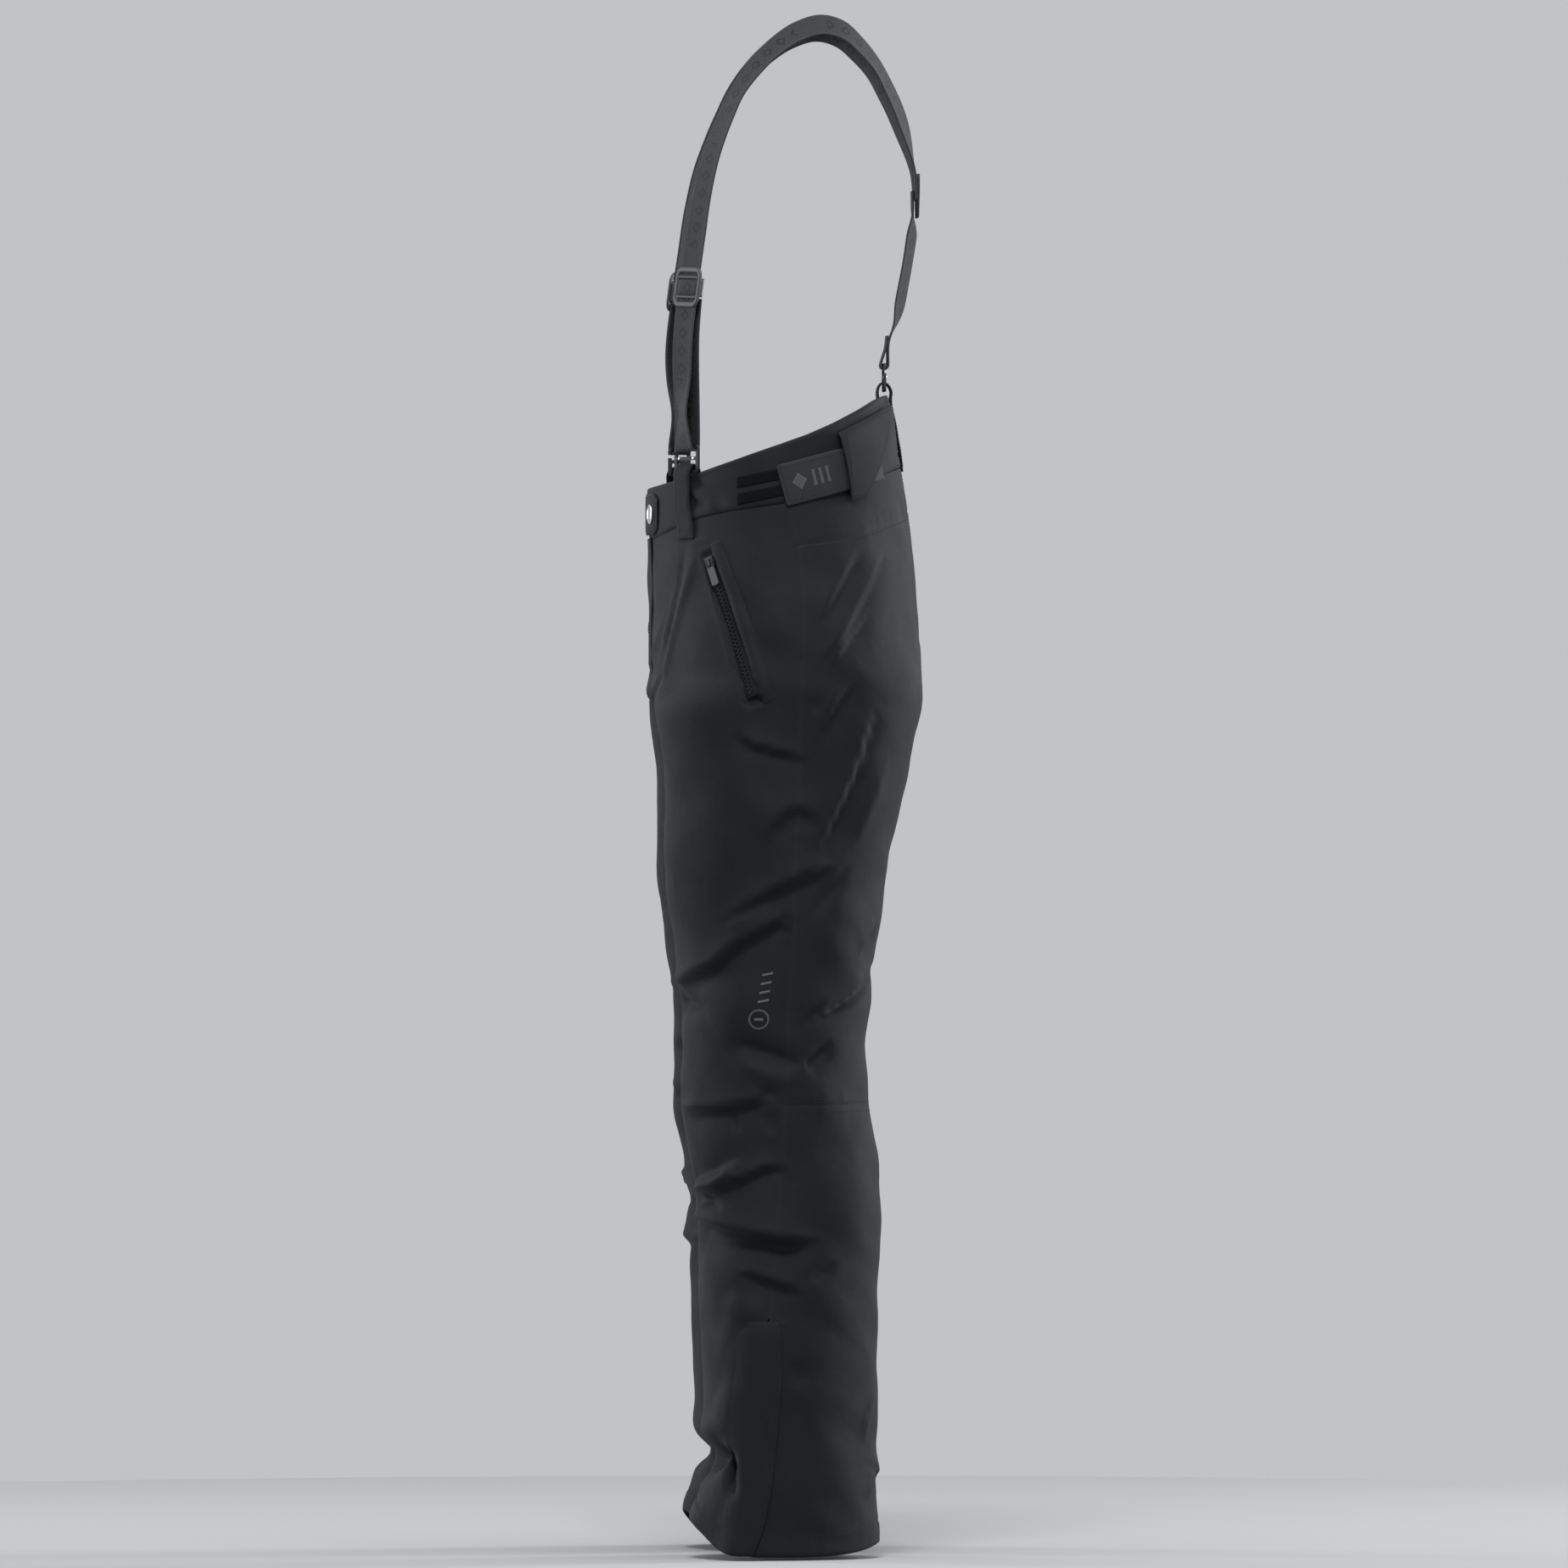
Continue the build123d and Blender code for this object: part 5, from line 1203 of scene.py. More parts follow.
class Stitches:
    """Collects many small raised stitches into one mesh."""

    def __init__(self):
        self.V, self.F, self.n = [], [], 0

    def row(self, pts, nrm, pitch=3.3, length=2.35, width=0.62, height=0.42, flip=False):
        pts = np.asarray(pts, float)
        nrm = np.asarray(nrm, float)
        s = np.concatenate([[0], np.cumsum(np.linalg.norm(np.diff(pts, axis=0), axis=1))])
        if s[-1] < length:
            return
        c = np.arange(pitch / 2, s[-1] - pitch * 0.35, pitch)
        for k, m in enumerate(c):
            a, b = (np.array([np.interp(m + d, s, pts[:, q]) for q in range(3)]) for d in (-length / 2, length / 2))
            n = unit(np.array([np.interp(m, s, nrm[:, q]) for q in range(3)]))
            t = unit(b - a)
            w = unit(np.cross(n, t))
            w = unit(w + t * 0.10 * (1 if k % 2 else -1))
            mid = (a + b) / 2
            v = [a - n * 0.25, b - n * 0.25]
            for q, (f, hh, ww) in enumerate(((-0.30, 0.82, 0.86), (0.30, 0.82, 0.86))):
                base = mid + t * f * length
                v += [base - w * width / 2 * ww, base + n * height * hh, base + w * width / 2 * ww]
            o = self.n
            self.V += v
            self.F += [
                (o, o + 3, o + 2), (o, o + 4, o + 3),
                (o + 2, o + 3, o + 6, o + 5), (o + 3, o + 4, o + 7, o + 6),
                (o + 1, o + 5, o + 6), (o + 1, o + 6, o + 7),
                (o, o + 2, o + 5, o + 1), (o, o + 1, o + 7, o + 4),
            ]
            self.n += 8

    def make(self, name, mat=None):
        V = np.array(self.V)
        F = self.F
        o = add_mesh(name, V, F, V[:, 1:] * 1.0, smooth=False)
        o.data.materials.append(mat or THREAD)
        return o


def frame_at(a, b, out, lift):
    """Axes along a zip: x along, z out of the cloth, y across; a function from local to world mm."""
    a, b = np.asarray(a, float), np.asarray(b, float)
    x = unit(b - a)
    z = unit(np.asarray(out, float) - x * np.dot(out, x))
    y = np.cross(z, x)
    o = a + z * lift

    def w(p, q=None, r=None):
        p = np.asarray(p, float) if q is None else np.stack(np.broadcast_arrays(p, q, r), -1).astype(float)
        return o + p[..., :1] * x + p[..., 1:2] * y + p[..., 2:3] * z

    w.x, w.y, w.z, w.o = x, y, z, o
    return w


fly_a, fly_b = surf(0.0, -98.0), surf(0.0, FLY_LOW)
FLY = frame_at(fly_a, fly_b, (0, -1, 0), -7.4)
FLY_LEN = float(np.linalg.norm(fly_b - fly_a))
POCKET = frame_at(PK_A, PK_B, normal(0.36, -175.0), -1.3)
ank_t, ank_b = surf(0.5, ZIP_TOP), surf(0.5, ZIP_LOW)
ANKLE = frame_at(ank_b, ank_t, (1, 0, 0), -7.4)
ANKLE_LEN = float(np.linalg.norm(ank_t - ank_b))


# ---------------------------------------------------------------- zips
def zip_mesh(name, w, length, tape_w, flip):
    """Woven tape with a row of moulded teeth, meshing left and right in turn."""
    xs = np.linspace(0, length, max(8, int(length / 6)))
    ys = np.array([-tape_w / 2, -tape_w / 2 + 0.8, -3.2, -2.5, 0, 2.5, 3.2, tape_w / 2 - 0.8, tape_w / 2])
    up = np.array([0.55, 0.8, 0.85, 1.1, 1.1, 1.1, 0.85, 0.8, 0.55])
    X, Y = np.meshgrid(xs, ys, indexing="ij")
    outer = w(X, Y, up[None, :] + 0 * X)
    inner = w(X, Y, 0.12 + 0 * X)
    tape = slab_mesh(name + "_tape", outer, inner, np.stack([Y, X], -1), 0.1, flip=flip)
    tape.data.materials.append(TAPE)
    V, F, n = [], [], 0
    pitch = 2.1
    count = int((length - 4) / pitch)
    for k in range(count):
        x = 2.4 + k * pitch
        s = 1 if k % 2 else -1
        # head past the middle, neck, and foot gripping the cord
        prof = [(-0.15 * s, 0.95), (0.9 * s, 0.62), (2.45 * s, 0.8)]
        ring0 = []
        for y, hw in prof:
            for dx, h in ((-hw, 0.75), (-hw, 1.95), (-hw * 0.55, 2.45), (hw * 0.55, 2.45), (hw, 1.95), (hw, 0.75)):
                ring0.append((x + dx, y - (0.45 * s if y == prof[0][0] else 0), h))
        V += ring0
        for r in range(2):
            for q in range(6):
                a, b = n + r * 6 + q, n + r * 6 + (q + 1) % 6
                F.append((a, b, b + 6, a + 6) if s < 0 else (a, a + 6, b + 6, b))
        F.append(tuple(n + q for q in (range(5, -1, -1) if s < 0 else range(6))))
        F.append(tuple(n + 12 + q for q in (range(6) if s < 0 else range(5, -1, -1))))
        n += 18
    V = mir(w(np.array(V)), flip)
    if flip:
        F = [f[::-1] for f in F]
    teeth = add_mesh(name + "_teeth", V, F, V[:, 1:], smooth=False)
    teeth.data.materials.append(TEETH)
    return tape, teeth


ZIPS = [("fly_zip", FLY, FLY_LEN, 22.0, False)]
for side, vary, flip in PAIRS:
    ZIPS.append((side + "_pocket_zip", POCKET, PK_LEN, 13.0, flip))
    ZIPS.append((side + "_ankle_zip", ANKLE, ANKLE_LEN - 4, 13.0, flip))
for name, w, length, tw, flip in ZIPS:
    tape, teeth = zip_mesh(name, w, length, tw, flip)
    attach(tape, "pants")
    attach(teeth, "pants")
    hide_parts(name + "_chain")

# ---------------------------------------------------------------- back yoke
Lh, Rh = HALVES["left"], HALVES["right"]
yo = np.concatenate([Lh[0][: Y2 + 1, MIDC:], (Rh[0][: Y2 + 1, MIDC:-1] * (-1, 1, 1))[:, ::-1]], 1)
yu = np.concatenate([Lh[1][: Y2 + 1, MIDC:], 2 * Lh[1][: Y2 + 1, -1:] - Rh[1][: Y2 + 1, MIDC:-1][:, ::-1]], 1)
yz = np.concatenate([Lh[2][: Y2 + 1, MIDC:], Rh[2][: Y2 + 1, MIDC:-1][:, ::-1]], 1)
o = solid_grid("back_yoke_shell", yo, TH, np.stack([yu, yz], -1))
finish_piece(o, SHELL, "shell_fabric", "pants", "back_yoke")

# ---------------------------------------------------------------- waistband
BAND_FOLDS = [
    ("v", 3.4, 5.7, 0.2, 0.35, [(-93.5, -31.2), (-75.4, -45.1), (-52.5, -61.5)]),
    ("r", 2.3, 4.9, 0.2, 0.35, [(-91.0, -45.1), (-77.1, -54.9), (-62.3, -66.4)]),
    ("v", 2.9, 4.9, 0.2, 0.35, [(-95.1, -50.0), (-85.3, -56.6), (-72.2, -63.1)]),
    ("t", 4.4, 12.3, 0.15, 0.15, [(72.2, -56.6), (86.9, -5.7), (101.7, 46.7)]),
    ("v", 2.1, 8.2, 0.3, 0.3, [(108.2, -28.7), (113.2, 4.1), (116.4, 28.7)]),
]


def band_field(U, Z, vary):
    H = np.zeros(U.shape)
    for kind, amp, w, fa, fb, pts in BAND_FOLDS:
        line = smooth_line(to_uz(pts), 14)
        d, t, _ = line_field(U, Z, line)
        H += amp * (0.75 if vary else 1.0) * ease(t / fa) * ease((1 - t) / fb) * profile(kind, d / w)
    return H + soft_noise(U, Z, 31 + vary, 30, 90, 0.35)


BT = np.array([0.0, 0.02, 0.06, 0.12, 0.2, 0.3, 0.4, 0.5, 0.6, 0.7, 0.8, 0.88, 0.94, 0.98, 1.0, 1.012, 1.006, 0.99, 0.94, 0.8, 0.6, 0.4, 0.2, 0.05, 0.0])
BO = np.array([-0.9, 0.0, 0.7, 1.05, 1.15, 1.2, 1.2, 1.2, 1.2, 1.2, 1.15, 1.0, 1.05, 0.7, 0.1, -1.2, -2.6, -3.5, -3.9, -4.0, -4.0, -4.0, -4.0, -3.9, -3.4])
bp = np.concatenate([[0.0022], np.linspace(0.006, 1, 150)[0:]])
cols = []
for side, vary, flip in PAIRS:
    bb, bt = band_bottom(bp), band_top(bp)
    Zb = bb[None, :] + (bt - bb)[None, :] * BT[:, None]
    Ph = np.repeat(bp[None, :], len(BT), 0)
    Ub = arc_u(Ph, np.clip(Zb, -1079, 59))
    D = band_field(Ub, Zb, vary)
    out = (np.arange(len(BT)) < 16)[:, None]
    Pb = surf(Ph, Zb) + normal(Ph, Zb) * (BO[:, None] + D * ease((Ph - 0.02) / 0.06))[..., None]
    cols.append((mir(Pb, flip), Ub, Zb))
Pb = np.concatenate([cols[0][0], cols[1][0][:, -2::-1]], 1)
Ub = np.concatenate([cols[0][1], 2 * cols[0][1][:, -1:] - cols[1][1][:, -2::-1]], 1)
Zb = np.concatenate([cols[0][2], cols[1][2][:, -2::-1]], 1)
R, C = Pb.shape[:2]
idx = np.arange(R * C).reshape(R, C)
F = []
for r in range(R):
    a, b = idx[r], idx[(r + 1) % R]
    F += np.stack([a[:-1], a[1:], b[1:], b[:-1]], -1).tolist()
F.append(idx[:, 0].tolist())
F.append(idx[::-1, -1].tolist())
o = add_mesh("waistband_cloth", Pb, F, np.stack([Ub, Zb], -1))
finish_piece(o, BAND, "shell_fabric", "pants", "waistband")

# ---------------------------------------------------------------- lining, gaiters, pocket bags
for side, vary, flip in PAIRS:
    P, U, Z, PHI, legrow = HALVES[side]
    S = P.copy()
    for _ in range(6):
        S[1:-1, 1:-1] = (S[1:-1, 1:-1] * 2 + S[:-2, 1:-1] + S[2:, 1:-1] + S[1:-1, :-2] + S[1:-1, 2:]) / 6
    Nn = grid_normals(S, legrow)
    # how far the break over the boot dents the shell, spread a little wider, so that the layers inside keep clear of it
    r_low = int(np.argmin(np.abs(Z[:, 0] + 900)))
    DENT = np.zeros(U.shape)
    B0, B0N = surf(PHI[r_low:], Z[r_low:]), normal(PHI[r_low:], Z[r_low:])
    dent = np.maximum(0.0, np.sum((B0 - P[r_low:]) * B0N, -1))
    for _ in range(4):
        e = np.pad(dent, 1, mode="edge")
        dent = np.maximum.reduce([e[1:-1, 1:-1], e[:-2, 1:-1], e[2:, 1:-1], e[1:-1, :-2], e[1:-1, 2:]])
    for _ in range(8):
        e = np.pad(dent, 1, mode="edge")
        dent = (e[1:-1, 1:-1] * 2 + e[:-2, 1:-1] + e[2:, 1:-1] + e[1:-1, :-2] + e[1:-1, 2:]) / 6
    DENT[r_low:] = dent
    FLAT, FLAT_N = S.copy(), Nn.copy()
    FLAT[r_low:], FLAT_N[r_low:] = B0, B0N
    LOW = ease((-905 - Z) / 25)[..., None]
    FLAT = S * (1 - LOW) + FLAT * LOW
    FLAT_N = Nn * (1 - LOW) + FLAT_N * LOW
    r_end = int(np.argmin(np.abs(Z[:, 0] + 1030)))
    rr = np.unique(np.concatenate([np.arange(2, r_end, 4), [r_end]]))
    cc = np.arange(0, P.shape[1], 4)
    sub = np.ix_(rr, cc)
    ph, zz = PHI[sub], Z[sub]
    deep = np.interp(zz, [-400, -325, -110, -96], [0, 1, 1, 0]) * np.interp(ph, [0.12, 0.2, 0.53, 0.6], [0, 1, 1, 0])
    off = 9.2 + 3.8 * deep
    rng = np.random.default_rng(5 + vary)
    off = np.maximum(off, DENT[sub] + 5.0)
    G = FLAT[sub] - FLAT_N[sub] * (off + soft_noise(U[sub], zz, 61 + vary, 40, 120, 0.5))[..., None]
    hip = zz > -300
    G[..., 0] = np.where(hip | (np.arange(len(cc))[None, :] % (len(cc) - 1) == 0), np.maximum(G[..., 0], 0.6), G[..., 0])
    H2 = G - FLAT_N[sub] * 0.8
    H2[..., 0] = np.where(hip, np.maximum(H2[..., 0], 0.6), H2[..., 0])
    o = slab_mesh(side + "_lining_cloth", G, H2, np.stack([U[sub], zz], -1), 0.1, flip=flip)
    finish_piece(o, LINING, "lining_fabric", "pants", side + "_lining")

    # snow gaiter: a sleeve gathered on elastic at its lower end
    r0, r1 = int(np.argmin(np.abs(Z[:, 0] + 858))), int(np.argmin(np.abs(Z[:, 0] + 1043)))
    rr = np.arange(r0, r1 + 1, 2)
    sub = np.ix_(rr, np.arange(0, P.shape[1] - 1))
    zz, ph = Z[sub], PHI[sub]
    off = np.interp(zz, [-1046, -1030, -1018, -960, -858], [24.5, 21.5, 22.5, 14.5, 12.2])
    gath = ease((-960 - zz) / 60)
    wave = 1.5 * gath * np.sin(ph * 2 * np.pi * 46 + 1.1 * np.sin(ph * 2 * np.pi * 5)) * np.where(np.abs(zz + 1034) < 5, 1.0, 0.75)
    off = np.maximum(off, DENT[sub] + 8.5)
    G = FLAT[sub] - FLAT_N[sub] * (off + wave)[..., None]
    o = slab_mesh(side + "_gaiter_cloth", G, G - FLAT_N[sub] * 1.1, np.stack([U[sub], zz], -1), 0.2, wrap=True, flip=flip)
    finish_piece(o, GAITER, "gaiter_fabric", "pants", side + "_snow_gaiter")

    bphi = np.linspace(0.255, 0.485, 22)
    rows = []
    for k in range(25):
        t = k / 24
        top = -118 - 60 * np.maximum(0, bphi - 0.36) / 0.12
        low = -313 + 12 * ((bphi - 0.37) / 0.115) ** 2
        rows.append(top + (low - top) * t)
    Zp = np.array(rows)
    Pp = np.repeat(bphi[None, :], 25, 0)
    puff = 0.5 * np.sin(np.pi * np.linspace(0, 1, 22))[None, :] * np.sin(np.pi * np.linspace(0, 1, 25))[:, None]
    A = surf(Pp, Zp) - normal(Pp, Zp) * (9.0 - puff)[..., None]
    B = surf(Pp, Zp) - normal(Pp, Zp) * (11.2 + puff)[..., None]
    o = slab_mesh(side + "_pocket_bag_cloth", A, B, None, 0.5, flip=flip)
    finish_piece(o, LINING, "lining_fabric", "pants", side + "_pocket_bag")

# ---------------------------------------------------------------- flaps over the zips
ST = {}


def stitch(body):
    return ST.setdefault(body, Stitches())


def front_at(x, z, off):
    """A place on the front of the garment at x either side of the middle, off mm out."""
    x, z, off = np.broadcast_arrays(np.asarray(x, float), np.asarray(z, float), np.asarray(off, float))
    out = np.empty(x.shape + (3,))
    for k in np.ndindex(x.shape):
        q = np.linspace(0, 0.25, 120)
        phi = float(np.interp(abs(x[k]), surf(q, z[k])[:, 0], q))
        p, n = surf(phi, z[k]), normal(phi, z[k])
        p = p + n * off[k]
        out[k] = (math.copysign(p[0], x[k]) if x[k] else 0.0, p[1], p[2])
    return out


fx = np.array([-36, -31, -27, -24, -20, -14, -8, -2, 4, 10, 15, 19, 21.2, 22.0])
fo = np.array([-1.3, -0.6, 0.1, 0.5, 0.8, 0.95, 1.0, 1.0, 1.0, 1.0, 0.95, 0.85, 0.7, 0.6])
fz = np.linspace(-90.5, -220.5, 41)
X, Zf = np.meshgrid(fx, fz)
wv = 0.3 * np.sin(Zf / 14.0 + 0.05 * X) * np.clip((X + 18) / 30, 0, 1) + 0.2 * np.sin(Zf / 6.1 + 2) * np.clip((X - 8) / 14, 0, 1)
base = np.repeat(fo[None, :], len(fz), 0) - 1.5 * ease((-210 - Zf) / 9)
base = base + 2.2 * np.exp(-((X - 1) / 12.0) ** 2 - ((Zf + 131) / 21.0) ** 2)  # over the zip's pull
thk = np.interp(fx, [-36, -31, -27, -20, 19, 22], [0.9, 1.0, 1.2, 1.5, 1.5, 1.2])[None, :]
shape_x = X - np.clip((Zf + 214) / -7.0, 0, 1) ** 2 * np.clip((X - 8) / 14, 0, 1) * 6
fl_in = front_at(shape_x, Zf, base + wv * 0.5)
fl_out = front_at(shape_x, Zf, base + thk + wv)
fl = slab_mesh("fly_flap_cloth", fl_out, fl_in, np.stack([X, Zf], -1), 0.5)
finish_piece(fl, SHELL, "shell_fabric", None, "fly_flap")
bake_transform(fl)
s = Stitches()
for xx in (16.8, 11.6):
    z_ = np.arange(-97, -214, -2.0)
    p = front_at(np.full(len(z_), xx), z_, np.interp(xx, fx, fo) + 1.5)
    p[:, 1] -= np.interp(z_, fz[::-1], (wv[:, 10] if xx > 14 else wv[:, 9])[::-1]) * 1.0
    s.row(p, np.repeat([[0.1, -1.0, 0.0]], len(z_), 0))
o = s.make("fly_flap_stitches")
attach(o, "fly_flap")

AF_U = [-18.5, 0, 14, 40, 80, 120, 160, 190, 206]
AF_FREE = [9, 14, 16.5, 19, 20, 20, 18, 13, 10]
for side, vary, flip in PAIRS:
    cl = CLOTH[side]
    us = np.linspace(-18.5, 206.0, 56)
    free = np.interp(us, AF_U, AF_FREE)
    t = np.array([0, 0.1, 0.2, 0.3, 0.4, 0.5, 0.6, 0.7, 0.8, 0.89, 0.95, 0.985, 1.0])
    A, B, S_, UVf = [], [], [], []
    for u_, fr in zip(us, free):
        v = -36.0 + (36.0 + fr) * t  # - is towards the front
        z_ = ANKLE.o[2] + u_ * ANKLE.x[2]
        off = np.interp(v, [-36, -30, -22, -14, -7, fr - 6, fr], [-1.9, -1.3, -0.2, 0.9, 1.5, 1.6, 1.1]) - 1.6 * ease((u_ - 196) / 9)
        wob = 0.55 * math.sin(u_ / 17.0 + vary) * np.clip((v - 0) / 20, 0, 1) + 0.3 * math.sin(u_ / 7.3 + 1) * np.clip((v - 8) / 14, 0, 1)
        th = np.interp(v, [-36, -28, -12, fr], [0.9, 1.0, 1.5, 1.6])
        P0 = cl.at(v, z_)
        N0 = unit(cl.at(v, z_, 3.0) - P0)
        P0, N0 = mir(P0, flip), mir(N0, flip)
        over = 1.1 * np.exp(-(v / 11.0) ** 2 - ((u_ - 10) / 19.0) ** 2)  # over the zip's pull
        lift = off + np.maximum(wob, -0.3) + over
        B.append(P0 + N0 * lift[:, None])
        A.append(P0 + N0 * (lift + th)[:, None])
        S_.append(N0)
        UVf.append(np.stack([v, np.full(len(v), z_)], -1))
    A, B = np.array(A), np.array(B)
    # near the hinge the flap takes the leg's own surface
    o = slab_mesh(side + "_ankle_flap_cloth", A, B, np.array(UVf), 0.6, flip=flip)
    finish_piece(o, SHELL, "shell_fabric", None, side + "_ankle_flap")
    y13 = float(surf(float(np.interp(-13.0, UT[int((A[26, 2][2] - UT_Z[0]) / 4)], UT_P)), A[26, 2][2])[1]) * MM
    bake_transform(o)
    s = Stitches()
    for col, rng_ in ((10, slice(1, -1)), (8, slice(1, -1))):
        p = mir(A[rng_, col], flip)
        s.row(p, mir(np.array(S_)[rng_, col], flip))
    # bar tack across the top
    for k in range(9):
        a = A[-2, 3] + (A[-2, 11] - A[-2, 3]) * k / 8
        b = a + np.array([0, 0.3, -2.4])
        s.row(mir(np.array([a, b]), flip), mir(np.array([S_[-2][5], S_[-2][5]]), flip), pitch=1.3, length=2.2, width=0.75)
    o = s.make(side + "_ankle_flap_stitches")
    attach(o, side + "_ankle_flap")

# ---------------------------------------------------------------- pocket welts
for side, vary, flip in PAIRS:
    cl = CLOTH[side]
    d = np.array([PK_UB - PK_UA, PK_B[2] - PK_A[2]])
    ln = float(np.linalg.norm(d))
    d = d / ln
    perp = np.array([-d[1], d[0]])
    if perp[0] < 0:
        perp = -perp

    def pk(a, b):
        a, b = np.broadcast_arrays(np.asarray(a, float), np.asarray(b, float))
        b = b + np.interp(a, PK_T * ln, PK_SHIFT)
        return PK_UA + a * d[0] + b * perp[0], PK_A[2] + a * d[1] + b * perp[1]

    av = np.linspace(-8, ln + 10, 56)
    bv = np.array([5.6, 6.0, 7.0, 8.6, 11, 14, 17, 19.5, 21.0])
    Bq, Aq = np.meshgrid(bv, av)
    endt = ease((Aq + 8) / 10) * ease((ln + 10 - Aq) / 12)
    Bq2 = Bq + (1 - endt) * 2.2 * (bv[0] / Bq)
    uu, zz = pk(Aq, Bq2)
    hi = np.interp(bv, [5.6, 6.2, 8.0, 11, 17, 21], [3.0, 3.5, 3.5, 3.1, 1.6, 0.3])[None, :] * (0.25 + 0.75 * endt)
    hi = hi + 0.25 * np.sin(Aq / 9.0 + vary) * endt
    lo = np.interp(bv, [5.6, 8.0, 14, 21], [1.6, 1.5, 0.0, -0.6])[None, :] + 0 * Aq
    Ao, Ai = cl.at(uu, zz, hi), cl.at(uu, zz, np.minimum(lo, hi - 0.5))
    o = slab_mesh(side + "_pocket_welt_cloth", Ao, Ai, np.stack([uu, zz], -1), 0.5)
    finish_piece(o, SHELL, "shell_fabric", "pants", side + "_pocket_welt")
    s = stitch("pants")
    for b in (9.2, 20.0):
        a_ = np.linspace(-5, ln + 6, 70)
        uu, zz = pk(a_, b)
        h = float(np.interp(b, bv, hi[28]))
        s.row(cl.at(uu, zz, h), unit(cl.at(uu, zz, 3.0) - cl.at(uu, zz, 0.0)))
    a_ = np.linspace(-4, ln + 4, 60)
    uu, zz = pk(a_, -8.8)
    s.row(cl.at(uu, zz, 0.05), unit(cl.at(uu, zz, 3.0) - cl.at(uu, zz, 0.0)))
    # bar tacks closing each end
    for a0 in (-5.5, ln + 6.5):
        for q in range(9):
            b0 = -8.5 + q * 3.4
            uu, zz = pk(np.array([a0 - 1.3, a0 + 1.3]), np.array([b0, b0 + 0.6]))
            pp = cl.at(uu, zz, 0.9 if b0 > 4 else 0.25)
            s.row(pp, unit(cl.at(uu, zz, 3.0) - cl.at(uu, zz, 0.0)), pitch=1.5, length=2.4, width=0.8)

# ---------------------------------------------------------------- belt loops, hooks
LOOP_PHI = 0.222


def loop_axes(phi):
    z = float(band_top(phi))
    n = normal(phi, z)
    n = unit(np.array([n[0], n[1], 0.0]))
    o = surf(phi, z)
    t = np.array([n[1], -n[0], 0.0])

    def w(x, y, zz=0.0):
        x, y, zz = np.broadcast_arrays(np.asarray(x, float), np.asarray(y, float), np.asarray(zz, float))
        return o + x[..., None] * n + y[..., None] * np.array([0, 0, 1.0]) + zz[..., None] * t

    def surf_d(h):
        return float(np.dot(surf(phi, z + h) - o, n))

    w.n, w.t, w.o, w.surf_d = n, t, o, surf_d
    return w


def smooth_path(pts, per):
    pts = np.asarray(pts, float)
    ext = np.vstack([2 * pts[0] - pts[1], pts, 2 * pts[-1] - pts[-2]])
    out = []
    for i in range(len(pts) - 1):
        p0, p1, p2, p3 = ext[i : i + 4]
        # centripetal spacing keeps tight turns from overshooting
        t01, t12, t23 = (max(1e-6, np.linalg.norm(b - a)) ** 0.5 for a, b in ((p0, p1), (p1, p2), (p2, p3)))
        m1 = t12 * ((p1 - p0) / t01 - (p2 - p0) / (t01 + t12)) + (p2 - p1)
        m2 = t12 * ((p3 - p2) / t23 - (p3 - p1) / (t12 + t23)) + (p2 - p1)
        n = max(2, int(math.ceil(np.linalg.norm(p2 - p1) / per)))
        for k in range(n):
            t = k / n
            out.append((2 * t**3 - 3 * t**2 + 1) * p1 + (t**3 - 2 * t**2 + t) * m1 + (-2 * t**3 + 3 * t**2) * p2 + (t**3 - t**2) * m2)
    out.append(pts[-1])
    return np.array(out)


def belt_loop(name, phi, wide, body, cad, drop=3.0, near=3.0, lean=0.0):
    w = loop_axes(phi)
    low = float(band_bottom(phi)) - w.o[2]
    d = [(w.surf_d(h) + g, h) for h, g in ((low - drop, 0.9), (low - drop + 4, near * 0.6), (low + 2, near * 0.8), (low + 12, near), (low * 0.5, near * 1.3), (-4, near * 1.45))]
    path = d + [(4.2, 4), (2.2, 9), (-1.0, 12), (-5.0, 12), (-7.6, 9), (-8.9, 4), (w.surf_d(-8) - 8.9, -8), (w.surf_d(-24) - 8.7, -24)]
    sp = smooth_path(np.array([(a, b, 0.0) for a, b in path]), 2.4)
    tan = unit(np.gradient(sp, axis=0))
    nr = np.stack([-tan[:, 1], tan[:, 0], 0 * tan[:, 0]], -1)
    nr *= -1  # away from the garment on the front run
    ws = np.linspace(-1, 1, 9)
    A, B = [], []
    for k, (p, n) in enumerate(zip(sp, nr)):
        half = wide / 2
        sway = lean * ease((-18 - p[1]) / 45) if k < len(sp) * 0.55 else 0.0
        cup = 0.35 * (1 - ws**2) + 0.14 * np.sin(k * 0.55 + ws * 2)
        A.append(w(p[0] + n[0] * (0.9 + cup), p[1] + n[1] * (0.9 + cup), ws * half + sway))
        B.append(w(p[0] - n[0] * 0.9, p[1] - n[1] * 0.9, ws * half + sway))
    o = slab_mesh(name, np.array(A), np.array(B), None, 0.35)
    finish_piece(o, SHELL, "shell_fabric", body, cad)
    s = stitch(body)
    A = np.array(A)
    N = grid_normals(A)
    if np.dot(N[6, 4], w.n) < 0:
        N = -N
    for c in (1, 7):
        s.row(A[2:-6, c], N[2:-6, c], pitch=3.0, length=2.1)
    for q in range(9):
        a = A[3, 1] + (A[3, 7] - A[3, 1]) * q / 8
        s.row(np.array([a, a + (A[5, 4] - A[3, 4])]), np.array([N[3, 4]] * 2), pitch=1.4, length=2.6, width=0.85)
    return w


wr = belt_loop("left_front_belt_loop_cloth", LOOP_PHI, 25.0, "pants", "left_front_belt_loop", 15.0, 2.6, -9.0)
src = bpy.data.objects["left_front_belt_loop_cloth"]


